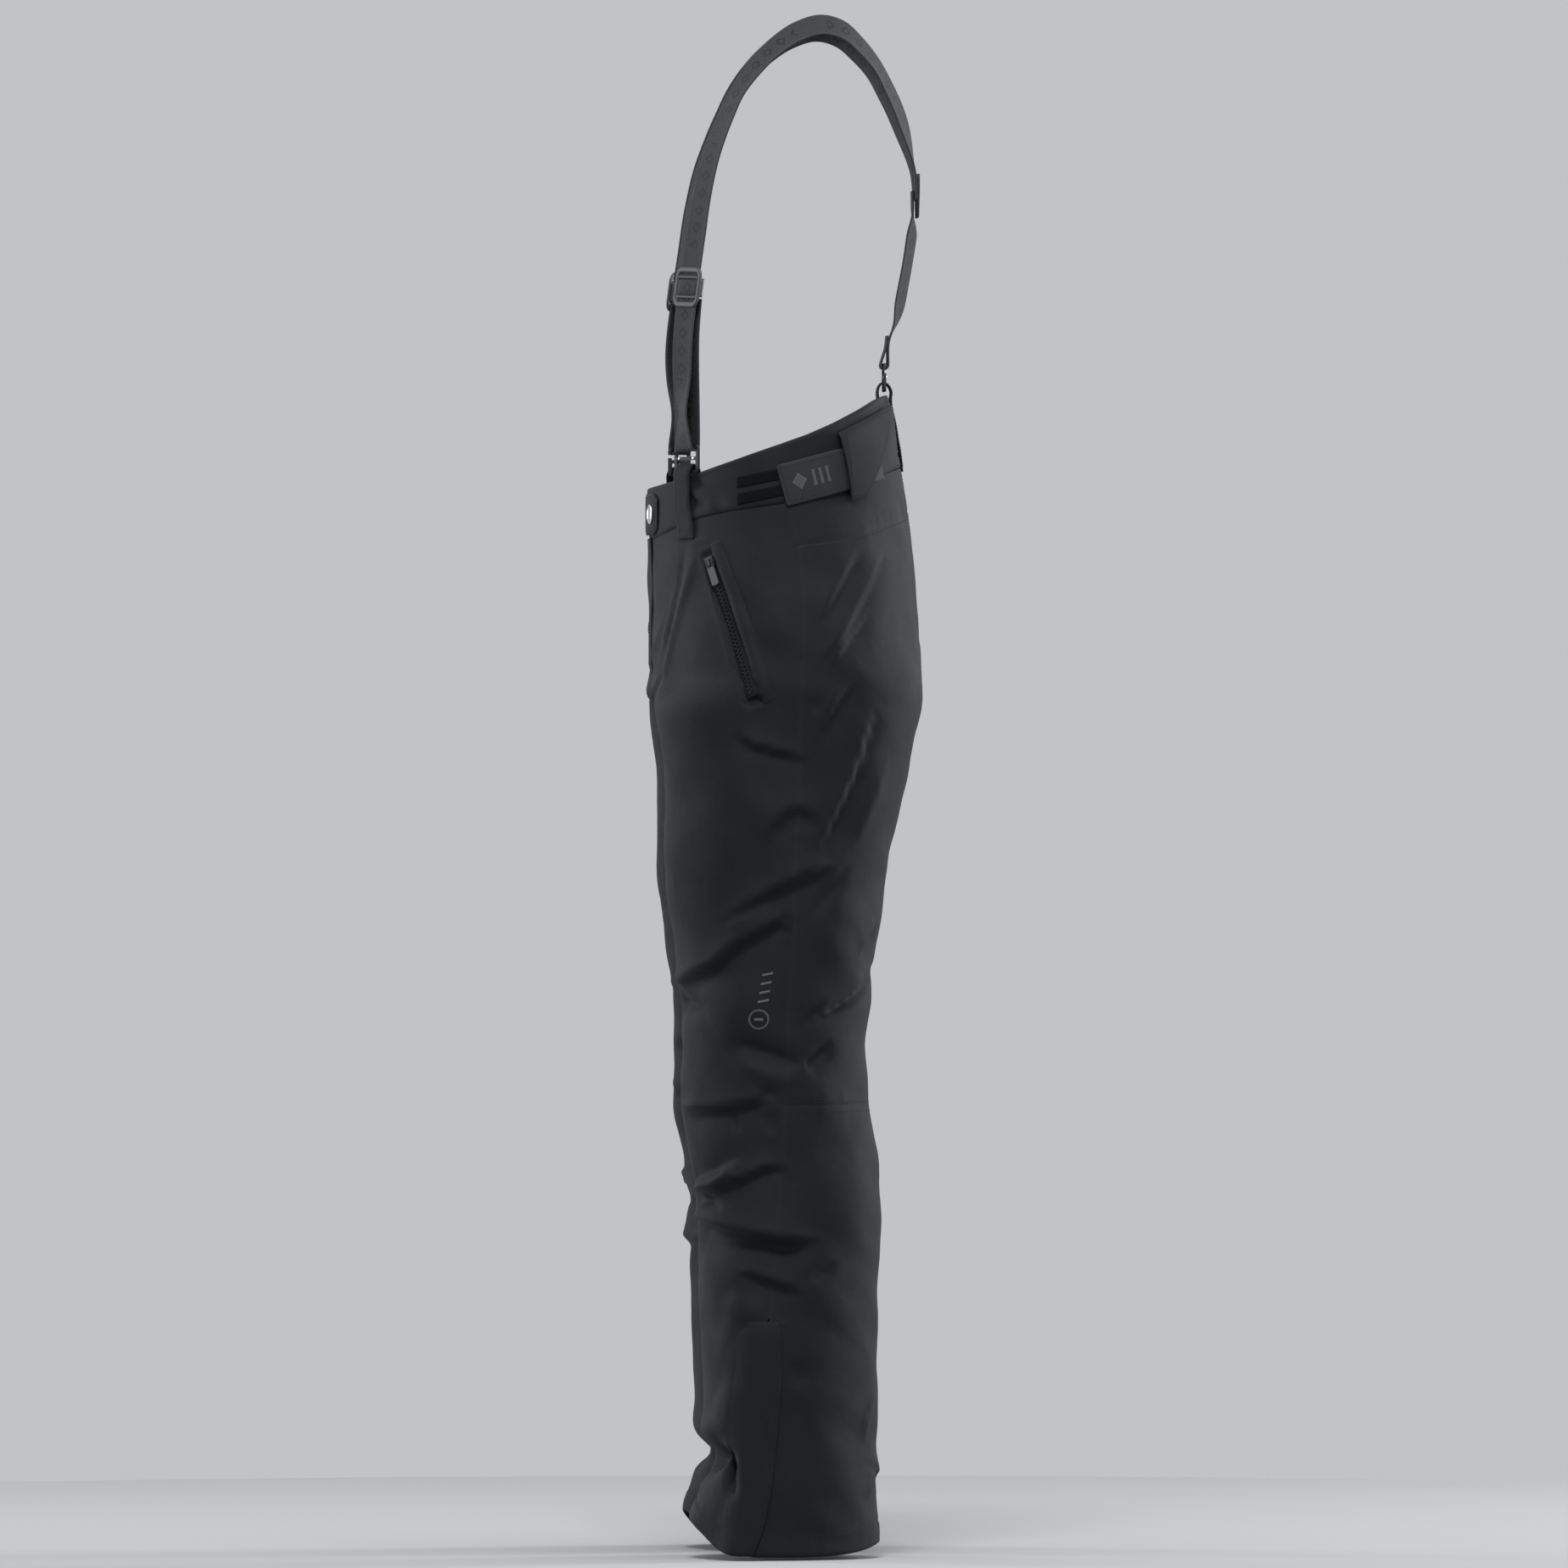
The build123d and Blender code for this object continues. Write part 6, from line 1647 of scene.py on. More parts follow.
def mirror_piece(src, name, mat, slot, body, *cad):
    """The same piece on the right side."""
    me = src.data.copy()
    me.name = name
    n = len(me.vertices)
    co = np.empty(n * 3)
    me.vertices.foreach_get("co", co)
    co = co.reshape(-1, 3) * (-1, 1, 1)
    me.vertices.foreach_set("co", co.ravel())
    me.flip_normals()
    me.update()
    o = bpy.data.objects.new(name, me)
    SCENE.collection.objects.link(o)
    return finish_piece(o, mat, slot, body, *cad)


mirror_piece(src, "right_front_belt_loop_cloth", SHELL, "shell_fabric", "pants", "right_front_belt_loop")
belt_loop("back_belt_loop_cloth", 1.0, 25.0, "pants", "back_belt_loop", 3.0, 1.9)

# ---------------------------------------------------------------- braces
BAR = (-2.4, 29.7)


def hook_wrap(w):
    return [w(BAR[0] + 3.7 * math.cos(math.radians(180 + 30 * k)), BAR[1] + 3.7 * math.sin(math.radians(180 + 30 * k))) for k in range(7)]


ADJ_LOW, ADJ_HIGH = (108.0, -98.6, 98.0), (104.2, -84.8, 205.0)
RUN = [(101.5, -80.0, 236), (98.5, -73.5, 266), (95.5, -65.5, 291), (92, -55.5, 316), (88.5, -43.5, 341), (84.5, -27.5, 363), (80.5, -8.5, 382), (77, 13, 396.5), (74, 37, 403.5)]
RUN += [(70.5, 58, 398), (66, 75, 383), (60, 90, 365), (53.5, 101, 345), (46, 111, 324), (38.5, 119, 303), (31, 124.5, 284), (24, 128, 267), (18.5, 129.5, 251), (15.6, 129.8, 241)]
fw = wr.t if wr.t[0] > 0 else -wr.t
W_FRONT, W_TOP, W_BACK, W_END = (np.array(v, float) for v in (fw, (0.77, 0.0, -0.64), (0.94, -0.30, -0.2), (1.0, 0.0, -0.25)))


def wanted(p):
    if p[1] < 37 and p[2] < 98:
        # the outer run turns towards its edge just above the hook
        k = math.exp(-(((p[2] - 30) / 26) ** 2)) if p[1] < -96.5 else 0.0
        return W_FRONT * (1 - k) + np.array((0.985, 0.17, 0.0)) * k
    if p[1] < 37:
        t = float(ease((p[2] - 205) / 185))
        return W_FRONT * (1 - t) + W_TOP * t
    t, e = float(ease((403 - p[2]) / 80)), float(ease((318 - p[2]) / 55))
    a = W_TOP * (1 - t) + W_BACK * t
    return a * (1 - e) + W_END * e


def ribbon(name, pts, want, body, flip=False, step=3.0, width=30.0, thick=2.0, v0=0.0, mat=None, cad=()):
    """Webbing: a thin strip with full selvedges, along a smooth line."""
    sp = smooth_path(pts, step)
    tan = unit(np.gradient(sp, axis=0))
    W = np.array([want(p) for p in sp])
    for _ in range(4):
        W[1:-1] = (W[:-2] + W[1:-1] * 2 + W[2:]) / 4
    W = unit(W - tan * np.sum(W * tan, axis=1, keepdims=True))
    n = np.cross(tan, W)
    s = np.concatenate([[0], np.cumsum(np.linalg.norm(np.diff(sp, axis=0), axis=1))]) + v0
    x = np.array([-1.0, -0.985, -0.95, -0.9, -0.86, -0.6, -0.3, 0, 0.3, 0.6, 0.86, 0.9, 0.95, 0.985, 1.0])
    h = np.array([0.62, 0.9, 1.06, 1.06, 0.92, 0.95, 0.97, 0.98, 0.97, 0.95, 0.92, 1.06, 1.06, 0.9, 0.62]) * thick / 2
    curl = 0.35 * (x**2)
    rip = 0.12 * np.sin(s[:, None] / 23.0 + x[None, :] * 1.5) + 0.08 * np.sin(s[:, None] / 9.0 - x[None, :])
    A = sp[:, None] + W[:, None] * (x * width / 2)[None, :, None] + n[:, None] * (h[None, :] - curl[None, :] * 0.6 + rip)[..., None]
    B = sp[:, None] + W[:, None] * (x * width / 2)[None, :, None] + n[:, None] * (-h[None, :] - curl[None, :] * 0.6 + rip)[..., None]
    uv = np.stack(np.broadcast_arrays((x * width / 2)[None, :], s[:, None]), -1)
    o = slab_mesh(name, A, B, uv, 0.2, flip=flip)
    finish_piece(o, mat or WEB, "webbing", body, *cad)
    return sp, W, n


wrapf = hook_wrap(wr)
w_in, w_out = wrapf[0], wrapf[-1]
path = [np.array((104.1, -89.4, 139.0)), np.array((103.6, -92.2, 96.0)), np.array((w_in[0] + 2.5, w_in[1] - 0.6, 46.0))] + wrapf + [np.array((w_out[0] + 2.2, w_out[1] - 1.2, 28)), np.array((106.2, -99.0, 64))]
path += [np.array(ADJ_LOW), np.array(ADJ_HIGH)] + [np.array(p, float) for p in RUN]
STRAP = {}
for side, vary, flip in PAIRS:
    STRAP[side] = ribbon(side + "_shoulder_strap_webbing", path, wanted, "pants", flip, cad=(side + "_shoulder_strap",))
wb = loop_axes(1.0)
wrapb = hook_wrap(wb)
yb0 = wrapb[-1][1]
bpath = [np.array((0, yb0 - 1.2, 106.0)), np.array((0, yb0 - 2.4, 95.0))] + wrapb + [np.array(p, float) for p in ((0, yb0 + 0.7, 100), (0, 112.4, 122), (0, 118.4, 152), (0, 124.2, 184), (0, 127.4, 208), (0, 127.7, 230), (0, 127.5, 246))]


def wanted_back(p):
    a = math.radians(20.0) * float(ease((p[2] - 104) / 34) * ease((228 - p[2]) / 26))
    return np.array((math.cos(a), -math.sin(a), 0.0))


SPB = ribbon("back_strap_webbing", bpath, wanted_back, "pants", cad=("back_strap",))

# stitched boxes where the webbing is sewn down
s = stitch("pants")
for side, vary, flip in PAIRS:
    sp, W, n = STRAP[side]
    k0 = next(i for i, p in enumerate(sp) if p[2] >= 60 and i > 30)
    for zz_ in (60, 66):
        k = next(i for i in range(k0 - 5, len(sp)) if sp[i][2] >= zz_)
        nn = n[k] if n[k][1] < 0 else -n[k]
        a, b = sp[k] - W[k] * 12 + nn * 1.1, sp[k] + W[k] * 12 + nn * 1.1
        s.row(mir(np.linspace(a, b, 9), flip), mir(np.repeat(nn[None], 9, 0), flip), pitch=2.4, length=1.9)


def patch_piece(name, outline, y0, thick, mat, slot, body, cad):
    """A moulded patch: its outline stepped in over a rounded shoulder, with a shallow middle."""
    o_ = np.array(outline, float)
    # rounded outline
    pts = []
    m = len(o_)
    for i in range(m):
        a, b, c = o_[i - 1], o_[i], o_[(i + 1) % m]
        p, q = b + (a - b) / np.linalg.norm(a - b) * 5, b + (c - b) / np.linalg.norm(c - b) * 5
        for t in np.linspace(0, 1, 7):
            pts.append((1 - t) ** 2 * p + 2 * t * (1 - t) * b + t * t * q)
    pts = np.array(pts)
    cen = pts.mean(0)
    V, F = [], []
    steps = [(0.0, 0.0), (0.15, -0.25), (0.5, -0.25), (0.85, 0.0), (1.0, 0.7), (1.0, 3.0), (0.86, 3.6), (0.86, 4.6), (1.0, 5.2), (0.96, 12.0)]
    N = len(pts)
    for h, ins in steps:
        d = cen - pts
        L = np.linalg.norm(d, axis=1, keepdims=True)
        q = pts + d / L * np.minimum(ins, L * 0.9)
        V += [(x, y0 + h * thick, z) for x, z in q]
    for r in range(len(steps) - 1):
        for k in range(N):
            a, b = r * N + k, r * N + (k + 1) % N
            F.append((a, b, b + N, a + N))
    V += [(cen[0], y0 + thick * 0.96, cen[1]), (cen[0], y0, cen[1])]
    top, bot = len(V) - 2, len(V) - 1
    for k in range(N):
        a, b = (len(steps) - 1) * N + k, (len(steps) - 1) * N + (k + 1) % N
        F.append((a, b, top))
        F.append(((k + 1) % N, k, bot))
    V = np.array(V)
    tri = [f for f in F]
    vol = 0.0
    for f in tri:
        for q in range(1, len(f) - 1):
            vol += np.dot(V[f[0]], np.cross(V[f[q]], V[f[q + 1]]))
    if vol < 0:
        F = [f[::-1] for f in F]
    o = add_mesh(name, V, F, V[:, [0, 2]])
    finish_piece(o, mat, slot, body, cad)
    return pts, cen


pts, cen = patch_piece("strap_junction_patch", [(-17, 220), (17, 220), (31, 248), (31, 262), (-31, 262), (-31, 248)], 130.9, 2.4, WEB, "webbing", "pants", "strap_junction")
loop_ = cen + (pts - cen) * (1 - 4.1 / np.linalg.norm(pts - cen, axis=1, keepdims=True))
loop_ = np.vstack([loop_, loop_[:1]])
s.row(np.stack([loop_[:, 0], np.full(len(loop_), 130.9 + 2.15), loop_[:, 1]], -1), np.repeat([[0.0, 1.0, 0.0]], len(loop_), 0), pitch=3.0, length=2.2)

# ---------------------------------------------------------------- length adjusters


def tube(name, pts, sec, closed=True):
    """Sweeps a section given in the local side and up directions round a line lying in a plane (local mm)."""
    pts = np.asarray(pts, float)
    V, F = [], []
    n, m = len(pts), len(sec)
    for i in range(n):
        a, b = pts[i - 1] if closed or i else pts[i], pts[(i + 1) % n] if closed or i < n - 1 else pts[i]
        t = unit(np.append(b - a, 0.0))
        side_ = np.array([t[1], -t[0], 0.0])
        for u_, h_ in sec:
            V.append(np.append(pts[i], 0.0) + side_ * u_ + np.array([0, 0, h_]))
    for i in range(n if closed else n - 1):
        for k in range(m):
            a, b = i * m + k, i * m + (k + 1) % m
            c, d = ((i + 1) % n) * m + k, ((i + 1) % n) * m + (k + 1) % m
            F.append((a, b, d, c))
    if not closed:
        F.append(tuple(range(m - 1, -1, -1)))
        F.append(tuple((n - 1) * m + k for k in range(m)))
    return V, F


def round_rect(w, h, r, n=7):
    out = []
    for sx, sy, a0 in ((1, 1, 0), (-1, 1, 90), (-1, -1, 180), (1, -1, 270)):
        for t in np.linspace(0, 90, n):
            a = math.radians(a0 + t)
            out.append((sx * (w / 2 - r) + r * math.cos(a), sy * (h / 2 - r) + r * math.sin(a)))
    return out


adj_t = unit(np.array(ADJ_HIGH) - np.array(ADJ_LOW))
adj_w = unit(W_FRONT - adj_t * np.dot(W_FRONT, adj_t))
adj_n = np.cross(adj_w, adj_t)
if adj_n[1] > 0:
    adj_n = -adj_n
adj_y = np.cross(adj_n, adj_t)
adj_o = np.array(ADJ_LOW) + (np.array(ADJ_HIGH) - np.array(ADJ_LOW)) * 0.485
sec = [(2.7 * math.cos(a) * (1.0 if abs(math.cos(a)) > 0.3 else 1.0), 1.45 * math.sin(a)) for a in np.linspace(0, 2 * math.pi, 12, endpoint=False)]
V, F = tube("ring", round_rect(33.5, 36.5, 6.5), sec)
V = [np.array(v) + (0, 0, 2.55) for v in V]
parts = [(V, F)]
bar_sec = [(2.1 * math.cos(a), 1.15 * math.sin(a)) for a in np.linspace(0, 2 * math.pi, 10, endpoint=False)]
for x0 in (-9.6, 9.6):
    V, F = tube("bar", [(x0, y) for y in np.linspace(-17, 17, 12)], [(u_ * 0.55, h_ * 1.0) for u_, h_ in bar_sec], closed=False)
    parts.append(([np.array(v) + (0, 0, 2.5) for v in V], F))
V, F = tube("bar", [(0, y) for y in np.linspace(-17.2, 17.2, 12)], bar_sec, closed=False)
parts.append(([np.array(v) + (0, 0, -2.75) for v in V], F))
for sy in (-1, 1):
    V, F = tube("cheek", [(x, sy * 17.1) for x in np.linspace(-9, 9, 8)], [(1.15 * math.cos(a), 3.0 * math.sin(a)) for a in np.linspace(0, 2 * math.pi, 12, endpoint=False)], closed=False)
    parts.append(([np.array(v) + (0, 0, -0.7) for v in V], F))
VV, FF = [], []
for V, F in parts:
    o_ = len(VV)
    VV += list(V)
    FF += [tuple(i + o_ for i in f) for f in F]
VV = np.array(VV)
world_ = adj_o + VV[:, :1] * adj_t + VV[:, 1:2] * adj_y + VV[:, 2:3] * adj_n
for side, vary, flip in PAIRS:
    W_ = mir(world_, flip)
    o = add_mesh(side + "_strap_adjuster_frame", W_, FF)
    bm_ = o.data
    finish_piece(o, BUCKLE, "buckle_plastic", side + "_strap_adjuster", side + "_strap_adjuster")
    import bmesh
    bm = bmesh.new()
    bm.from_mesh(bm_)
    bmesh.ops.recalc_face_normals(bm, faces=bm.faces)
    bm.to_mesh(bm_)
    bm.free()
# the short bridge of webbing over the adjuster's front, between its bars, rides with it
for side, vary, flip in PAIRS:
    xs = np.linspace(-8.6, 8.6, 9)
    ys = np.linspace(-14.6, 14.6, 11)
    X, Y = np.meshgrid(xs, ys, indexing="ij")
    hgt = 3.2 - 2.2 * np.abs(X / 8.6) ** 4
    A = adj_o + X[..., None] * adj_t + Y[..., None] * adj_y + hgt[..., None] * adj_n
    B = adj_o + X[..., None] * adj_t + Y[..., None] * adj_y + (hgt - 1.7)[..., None] * adj_n
    o = slab_mesh(side + "_adjuster_bridge", A, B, np.stack([Y, X + 400], -1), 0.3, flip=flip)
    finish_piece(o, WEB, "webbing", side + "_strap_adjuster")

PRINT = plastic_material("print_rubber", (0.021, 0.0235, 0.0265), 0.55, 0.0)

# ---------------------------------------------------------------- waist closure
CL_Y, CL_R = 44.738, 171.781


def closure(x_arc, z, off):
    """On the circle through the front of the waistband, at x measured along its chord."""
    a = np.arcsin(np.asarray(x_arc, float) / CL_R)
    r = CL_R + off
    return np.stack(np.broadcast_arrays(r * np.sin(a), CL_Y - r * np.cos(a), np.asarray(z, float)), -1)


xs = np.array([-20, -15, -11.5, -9, -6, -2, 4, 12, 20, 28, 36, 43, 47.5, 50, 51.3, 52.0])
zt = np.linspace(0, 1, 17)
X, T = np.meshgrid(xs, zt)
halfh = 19.6 - 6.0 * np.clip((X - 36) / 16, 0, 1) ** 2.2
Zc = -67.0 + halfh * (1 - 2 * T)
edge_r = 0.9 * (np.abs(1 - 2 * T) ** 6)
off0 = np.interp(xs, [-20, -12, -6, 52], [0.9, 1.3, 1.7, 1.7])[None, :] + 0 * T
offt = np.interp(xs, [-20, -12, -6, 46, 52], [1.1, 1.6, 1.9, 1.9, 1.4])[None, :]
rp = 0.25 * np.sin(X / 6.0 + T * 5) * np.clip((X + 4) / 20, 0, 1)
A = closure(X, Zc, off0 + offt - edge_r + rp)
B = closure(X, Zc, off0 + 0.1)
o = slab_mesh("waist_tab_cloth", A, B, np.stack([X, Zc], -1), 0.45)
finish_piece(o, BAND, "shell_fabric", None, "waistband_tab")
yh = float(closure(-8.0, -67, 3)[1]) * MM
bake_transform(o)
s2 = Stitches()
edge = []
for x in np.linspace(-4, 46.5, 30):
    hh = 19.6 - 6.0 * max(0, (x - 36) / 16) ** 2.2 - 3.0
    edge.append((x, -67 + hh))
edge += [(48.0, z) for z in np.linspace(-56.5, -77.5, 10)]
for x in np.linspace(46.5, -4, 30):
    hh = 19.6 - 6.0 * max(0, (x - 36) / 16) ** 2.2 - 3.0
    edge.append((x, -67 - hh))
e = np.array(edge)
P_ = closure(e[:, 0], e[:, 1], 3.55)
N_ = unit(closure(e[:, 0], e[:, 1], 8) - P_)
s2.row(P_, N_, pitch=3.1, length=2.2)
o = s2.make("waist_tab_stitches")
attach(o, "waist_closure")

a_s = math.asin(34.0 / CL_R)
sn = np.array([math.sin(a_s), -math.cos(a_s), 0.0])
so = np.array([CL_R * sn[0], CL_Y + CL_R * sn[1], -67.0])
sx, sy_ = np.array([0, 0, 1.0]), np.cross(sn, np.array([0, 0, 1.0]))


def lathe(name, prof, mat, slot, body, cads, seg=40):
    V, F = [], []
    for r, h in prof:
        V += [so + sn * h + (sx * math.cos(a) + sy_ * math.sin(a)) * r for a in np.linspace(0, 2 * math.pi, seg, endpoint=False)]
    for i in range(len(prof) - 1):
        for k in range(seg):
            a, b = i * seg + k, i * seg + (k + 1) % seg
            F.append((a, b, b + seg, a + seg))
    F.append(tuple(range(seg - 1, -1, -1)))
    F.append(tuple((len(prof) - 1) * seg + k for k in range(seg)))
    o = add_mesh(name, np.array(V), F)
    bm = bmesh.new()
    bm.from_mesh(o.data)
    bmesh.ops.recalc_face_normals(bm, faces=bm.faces)
    bm.to_mesh(o.data)
    bm.free()
    return finish_piece(o, mat, slot, body, *cads)


lathe("snap_button_cap", [(2.3, 1.9), (2.4, 3.6), (8.2, 3.7), (9.2, 3.85), (9.5, 4.2), (9.4, 4.7), (8.9, 5.05), (8.2, 5.2), (7.6, 5.1), (7.1, 4.8), (6.6, 4.75), (6.1, 4.9), (4.6, 5.25), (2.6, 5.5), (1.0, 5.56), (0.3, 5.56)], SNAP, "snap_metal", "waist_closure", ["snap_cap"])
lathe("snap_button_stud", [(5.6, 0.62), (5.7, 0.9), (5.3, 1.12), (3.4, 1.15), (2.9, 1.2), (2.45, 1.5), (2.5, 1.75), (2.2, 1.9), (0.4, 1.9)], SNAP, "snap_metal", "pants", ["snap_stud"])

# ---------------------------------------------------------------- waist adjusters
WT = math.radians(15.0)
WC, WR = (54.127, -49.609), 109.825
WO = np.array([0, 40, -20.0])
WX = np.array([1.0, 0, 0])
WZ = np.array([0, -math.sin(WT), math.cos(WT)])
WY = np.cross(WZ, WX)


def wa(yl, h, off):
    """On the adjuster's own circle: yl along it, h up it, off mm out."""
    a = np.arcsin((np.asarray(yl, float) - WC[1]) / WR)
    r = WR + off
    lx, ly = WC[0] + r * np.cos(a), WC[1] + r * np.sin(a)
    lx, ly, h = np.broadcast_arrays(lx, ly, np.asarray(h, float))
    return WO + lx[..., None] * WX + ly[..., None] * WY + h[..., None] * WZ


def wl(y):
    return (y - 40) * math.cos(WT) + (-42 + 0.268 * (y + 6) + 20) * math.sin(WT)


F0, F1, S1 = wl(-6), wl(47), wl(86)
DROP = -9.0
ylv = np.concatenate([[F0, F0 + 0.5, F0 + 1.5, F0 + 3.2], np.linspace(F0 + 6, F1 - 3, 14), [F1 - 1.5, F1, F1 + 1.5], np.linspace(F1 + 4, S1 - 1, 10), [S1]])
hv = np.array([-1.0, -0.985, -0.95, -0.9, -0.82, -0.6, -0.3, 0, 0.3, 0.6, 0.82, 0.9, 0.95, 0.985, 1.0])
for side, vary, flip in PAIRS:
    YL, HV = np.meshgrid(ylv, hv, indexing="ij")
    t = np.clip((YL - F0) / (S1 - F0), 0, 1)
    hh = (20.0 - 1.5 * ease((YL - F1) / 20)) - 1.4 * np.clip(1 - (YL - F0) / 3.0, 0, 1) ** 2
    pad = 1.0 * (1 - np.abs(HV) ** 8) * np.clip((YL - F0) / 4.0, 0.25, 1)
    groove = -0.35 * np.exp(-(((np.abs(HV) - 0.84) / 0.035) ** 2))
    wave = 0.5 * np.sin(YL / 11.0 + vary) * HV + 0.25 * np.sin(YL / 5.0 + HV * 3)
    bend = np.where(YL < F0 + 14, 1.1 * ((F0 + 14 - YL) / 14) ** 2 * (0.4 - 0.6 * HV), 0)
    A = wa(YL, DROP + HV * hh, 4.4 + pad + groove + wave * 0.4 + bend)
    B = wa(YL, DROP + HV * hh, 3.6 + wave * 0.4 + bend)
    o = slab_mesh(side + "_adjuster_tab_cloth", A, B, np.stack([YL, HV * 20], -1), 0.4, flip=flip)
    finish_piece(o, TAB, "shell_fabric", None, side + "_adjuster_strap", side + "_adjuster_flap")
    p0, p1 = (mir(wa(F1 + d, 0.0, 4.6), flip) * MM for d in (3.5, -3.5))
    tuple(map(float, p0))
    tuple(map(float, p1))
    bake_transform(o)
    s = Stitches()
    NA = unit(wa(YL, DROP + HV * hh, 9.0) - wa(YL, DROP + HV * hh, 5.0))
    for c in (4, 10):
        s.row(mir(A[3:20, c], flip), mir(NA[3:20, c], flip), pitch=3.0, length=2.15)
    s.row(mir(A[3, 4:11], flip), mir(NA[3, 4:11], flip), pitch=3.0, length=2.15)
    o = s.make(side + "_adjuster_tab_stitches")
    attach(o, side + "_adjuster_flap")
    # a plain printed band on the tab: a lozenge and three bars, in soft rubber
    V, F = [], []

    def plate(c, poly, lift=0.35):
        o_ = len(V)
        poly = [(c[0] + a, c[1] + b) for a, b in poly]
        fine = []
        for q in range(len(poly)):
            a, b = np.array(poly[q - 1]), np.array(poly[q])
            fine += [a + (b - a) * k / 5 for k in range(5)]
        cen_ = np.mean(fine, axis=0)
        m = len(fine)
        for sc_, up in ((1.0, -0.3), (1.0, lift * 0.6), (0.93, lift), (0.0, lift)):
            for p in fine:
                q = cen_ + (p - cen_) * sc_
                hw = np.interp(q[1] / 20.0, hv, np.arange(len(hv)))
                base_off = 4.4 + 1.0 * (1 - abs(q[1] / 20) ** 8) + 0.4 * (0.5 * math.sin(q[0] / 11.0 + vary) * q[1] / 20 + 0.25 * math.sin(q[0] / 5.0 + q[1] / 20 * 3))
                if q[0] < F0 + 14:
                    base_off += 1.1 * ((F0 + 14 - q[0]) / 14) ** 2 * (0.4 - 0.6 * q[1] / 20)
                V.append(wa(q[0], DROP + q[1], base_off + up))
        for r in range(3):
            for k in range(m):
                a, b = o_ + r * m + k, o_ + r * m + (k + 1) % m
                F.append((a, b, b + m, a + m))
        F.append(tuple(o_ + k for k in range(m - 1, -1, -1)))

    plate((F0 + 17, 0), [(-7, 0), (0, -8), (7, 0), (0, 8)])
    for k in range(3):
        plate((F0 + 31 + k * 6.5, 0), [(-1.6, -7.5), (1.2, -7.5), (1.6, 7.5), (-1.2, 7.5)])
    o = add_mesh(side + "_adjuster_print", mir(np.array(V), flip), F, smooth=False)
    bm = bmesh.new()
    bm.from_mesh(o.data)
    bmesh.ops.remove_doubles(bm, verts=bm.verts, dist=1e-6)
    bmesh.ops.recalc_face_normals(bm, faces=bm.faces)
    bm.to_mesh(o.data)
    bm.free()
    finish_piece(o, RUBBER, "soft_rubber", side + "_adjuster_flap")
    o.data.materials[0] = PRINT

    # hook tape pads on the waistband, thick with hooks
    def on_band(y, z, off):
        y, z, off = np.broadcast_arrays(y, z, off)
        out = np.empty(y.shape + (3,))
        for k in np.ndindex(y.shape):
            q = np.linspace(0.2, 0.98, 200)
            ph = float(np.interp(y[k], surf(q, z[k])[:, 1], q))
            out[k] = surf(ph, z[k]) + normal(ph, z[k]) * off[k]
        return out

    VV, FF = [], []
    pads = []
    for h in (14.5, -1.5):
        ys = np.linspace(-47.5, 8.0, 36)
        dz = np.array([5.2, 4.7, 3.4, 2.2, 1.1, 0, -1.1, -2.2, -3.4, -4.7, -5.2])
        Yp, Dp = np.meshgrid(ys, dz, indexing="ij")
        Zp = -44.5 + h + 0.2 * (Yp + 6) + Dp
        rng = np.random.default_rng(int(100 + h))
        rough_ = rng.uniform(-0.22, 0.22, Yp.shape)
        e_ = np.minimum(1, (5.2 - np.abs(Dp)) / 0.8)
        A = on_band(Yp, Zp, 1.9 + rough_ * e_ - 0.3 * (1 - e_))
        B = on_band(Yp, Zp, 0.9 + 0 * Yp)
        pads.append(slab_mesh(side + "_hook_tape_%d" % (1 if h > 0 else 2), A, B, None, 0.15, flip=flip))
    finish_piece(pads[0], HOOKTAPE, "hook_tape", "pants", side + "_adjuster_pads")
    finish_piece(pads[1], HOOKTAPE, "hook_tape", "pants")

    # the wide tapered loop
    n_r, n_c = 26, 15
    A, B = [], []
    for i in range(n_r + 1):
        t = i / n_r
        y0, y1 = 47 + 12 * t**1.3, 101 - 28 * t
        cx_ = np.concatenate([[0, 0.012, 0.04], np.linspace(0.09, 0.91, n_c - 6), [0.96, 0.988, 1.0]])
        ys = y0 + (y1 - y0) * cx_
        ztop = np.interp(ys, [45, 102], [8, 38])
        zbot = np.interp(ys, [55, 75], [-59, -52])
        zz = ztop + (zbot - ztop) * t
        rise = 2.4 + 7.0 * math.sin(math.pi * min(1, max(0, t))) ** 0.5
        pad = 0.55 * (1 - np.abs(2 * cx_ - 1) ** 10) + 0.3 * np.sin(cx_ * 7 + t * 5 + vary) + 0.25 * np.sin(t * 19 + cx_ * 2)
        base = on_band(ys, zz, rise + 0 * ys)
        top_ = on_band(ys, zz, rise + 1.6 + pad * 0.8)
        A.append(top_)
        B.append(base)
    A, B = np.array(A), np.array(B)
    o = slab_mesh(side + "_adjuster_loop_cloth", A, B, None, 0.5, flip=flip)
    finish_piece(o, SHELL, "shell_fabric", "pants", side + "_adjuster_loop")
    s = stitch("pants")
    Nl = grid_normals(A)
    if Nl[5, 5][0] < 0:
        Nl = -Nl
    for row in (1, n_r - 1, n_r - 2):
        s.row(mir(A[row, 1:-1], flip), mir(Nl[row, 1:-1], flip), pitch=2.8, length=2.0)
    for c in (3, -4):
        s.row(mir(A[1:-1, c], flip), mir(Nl[1:-1, c], flip), pitch=3.2, length=2.2)

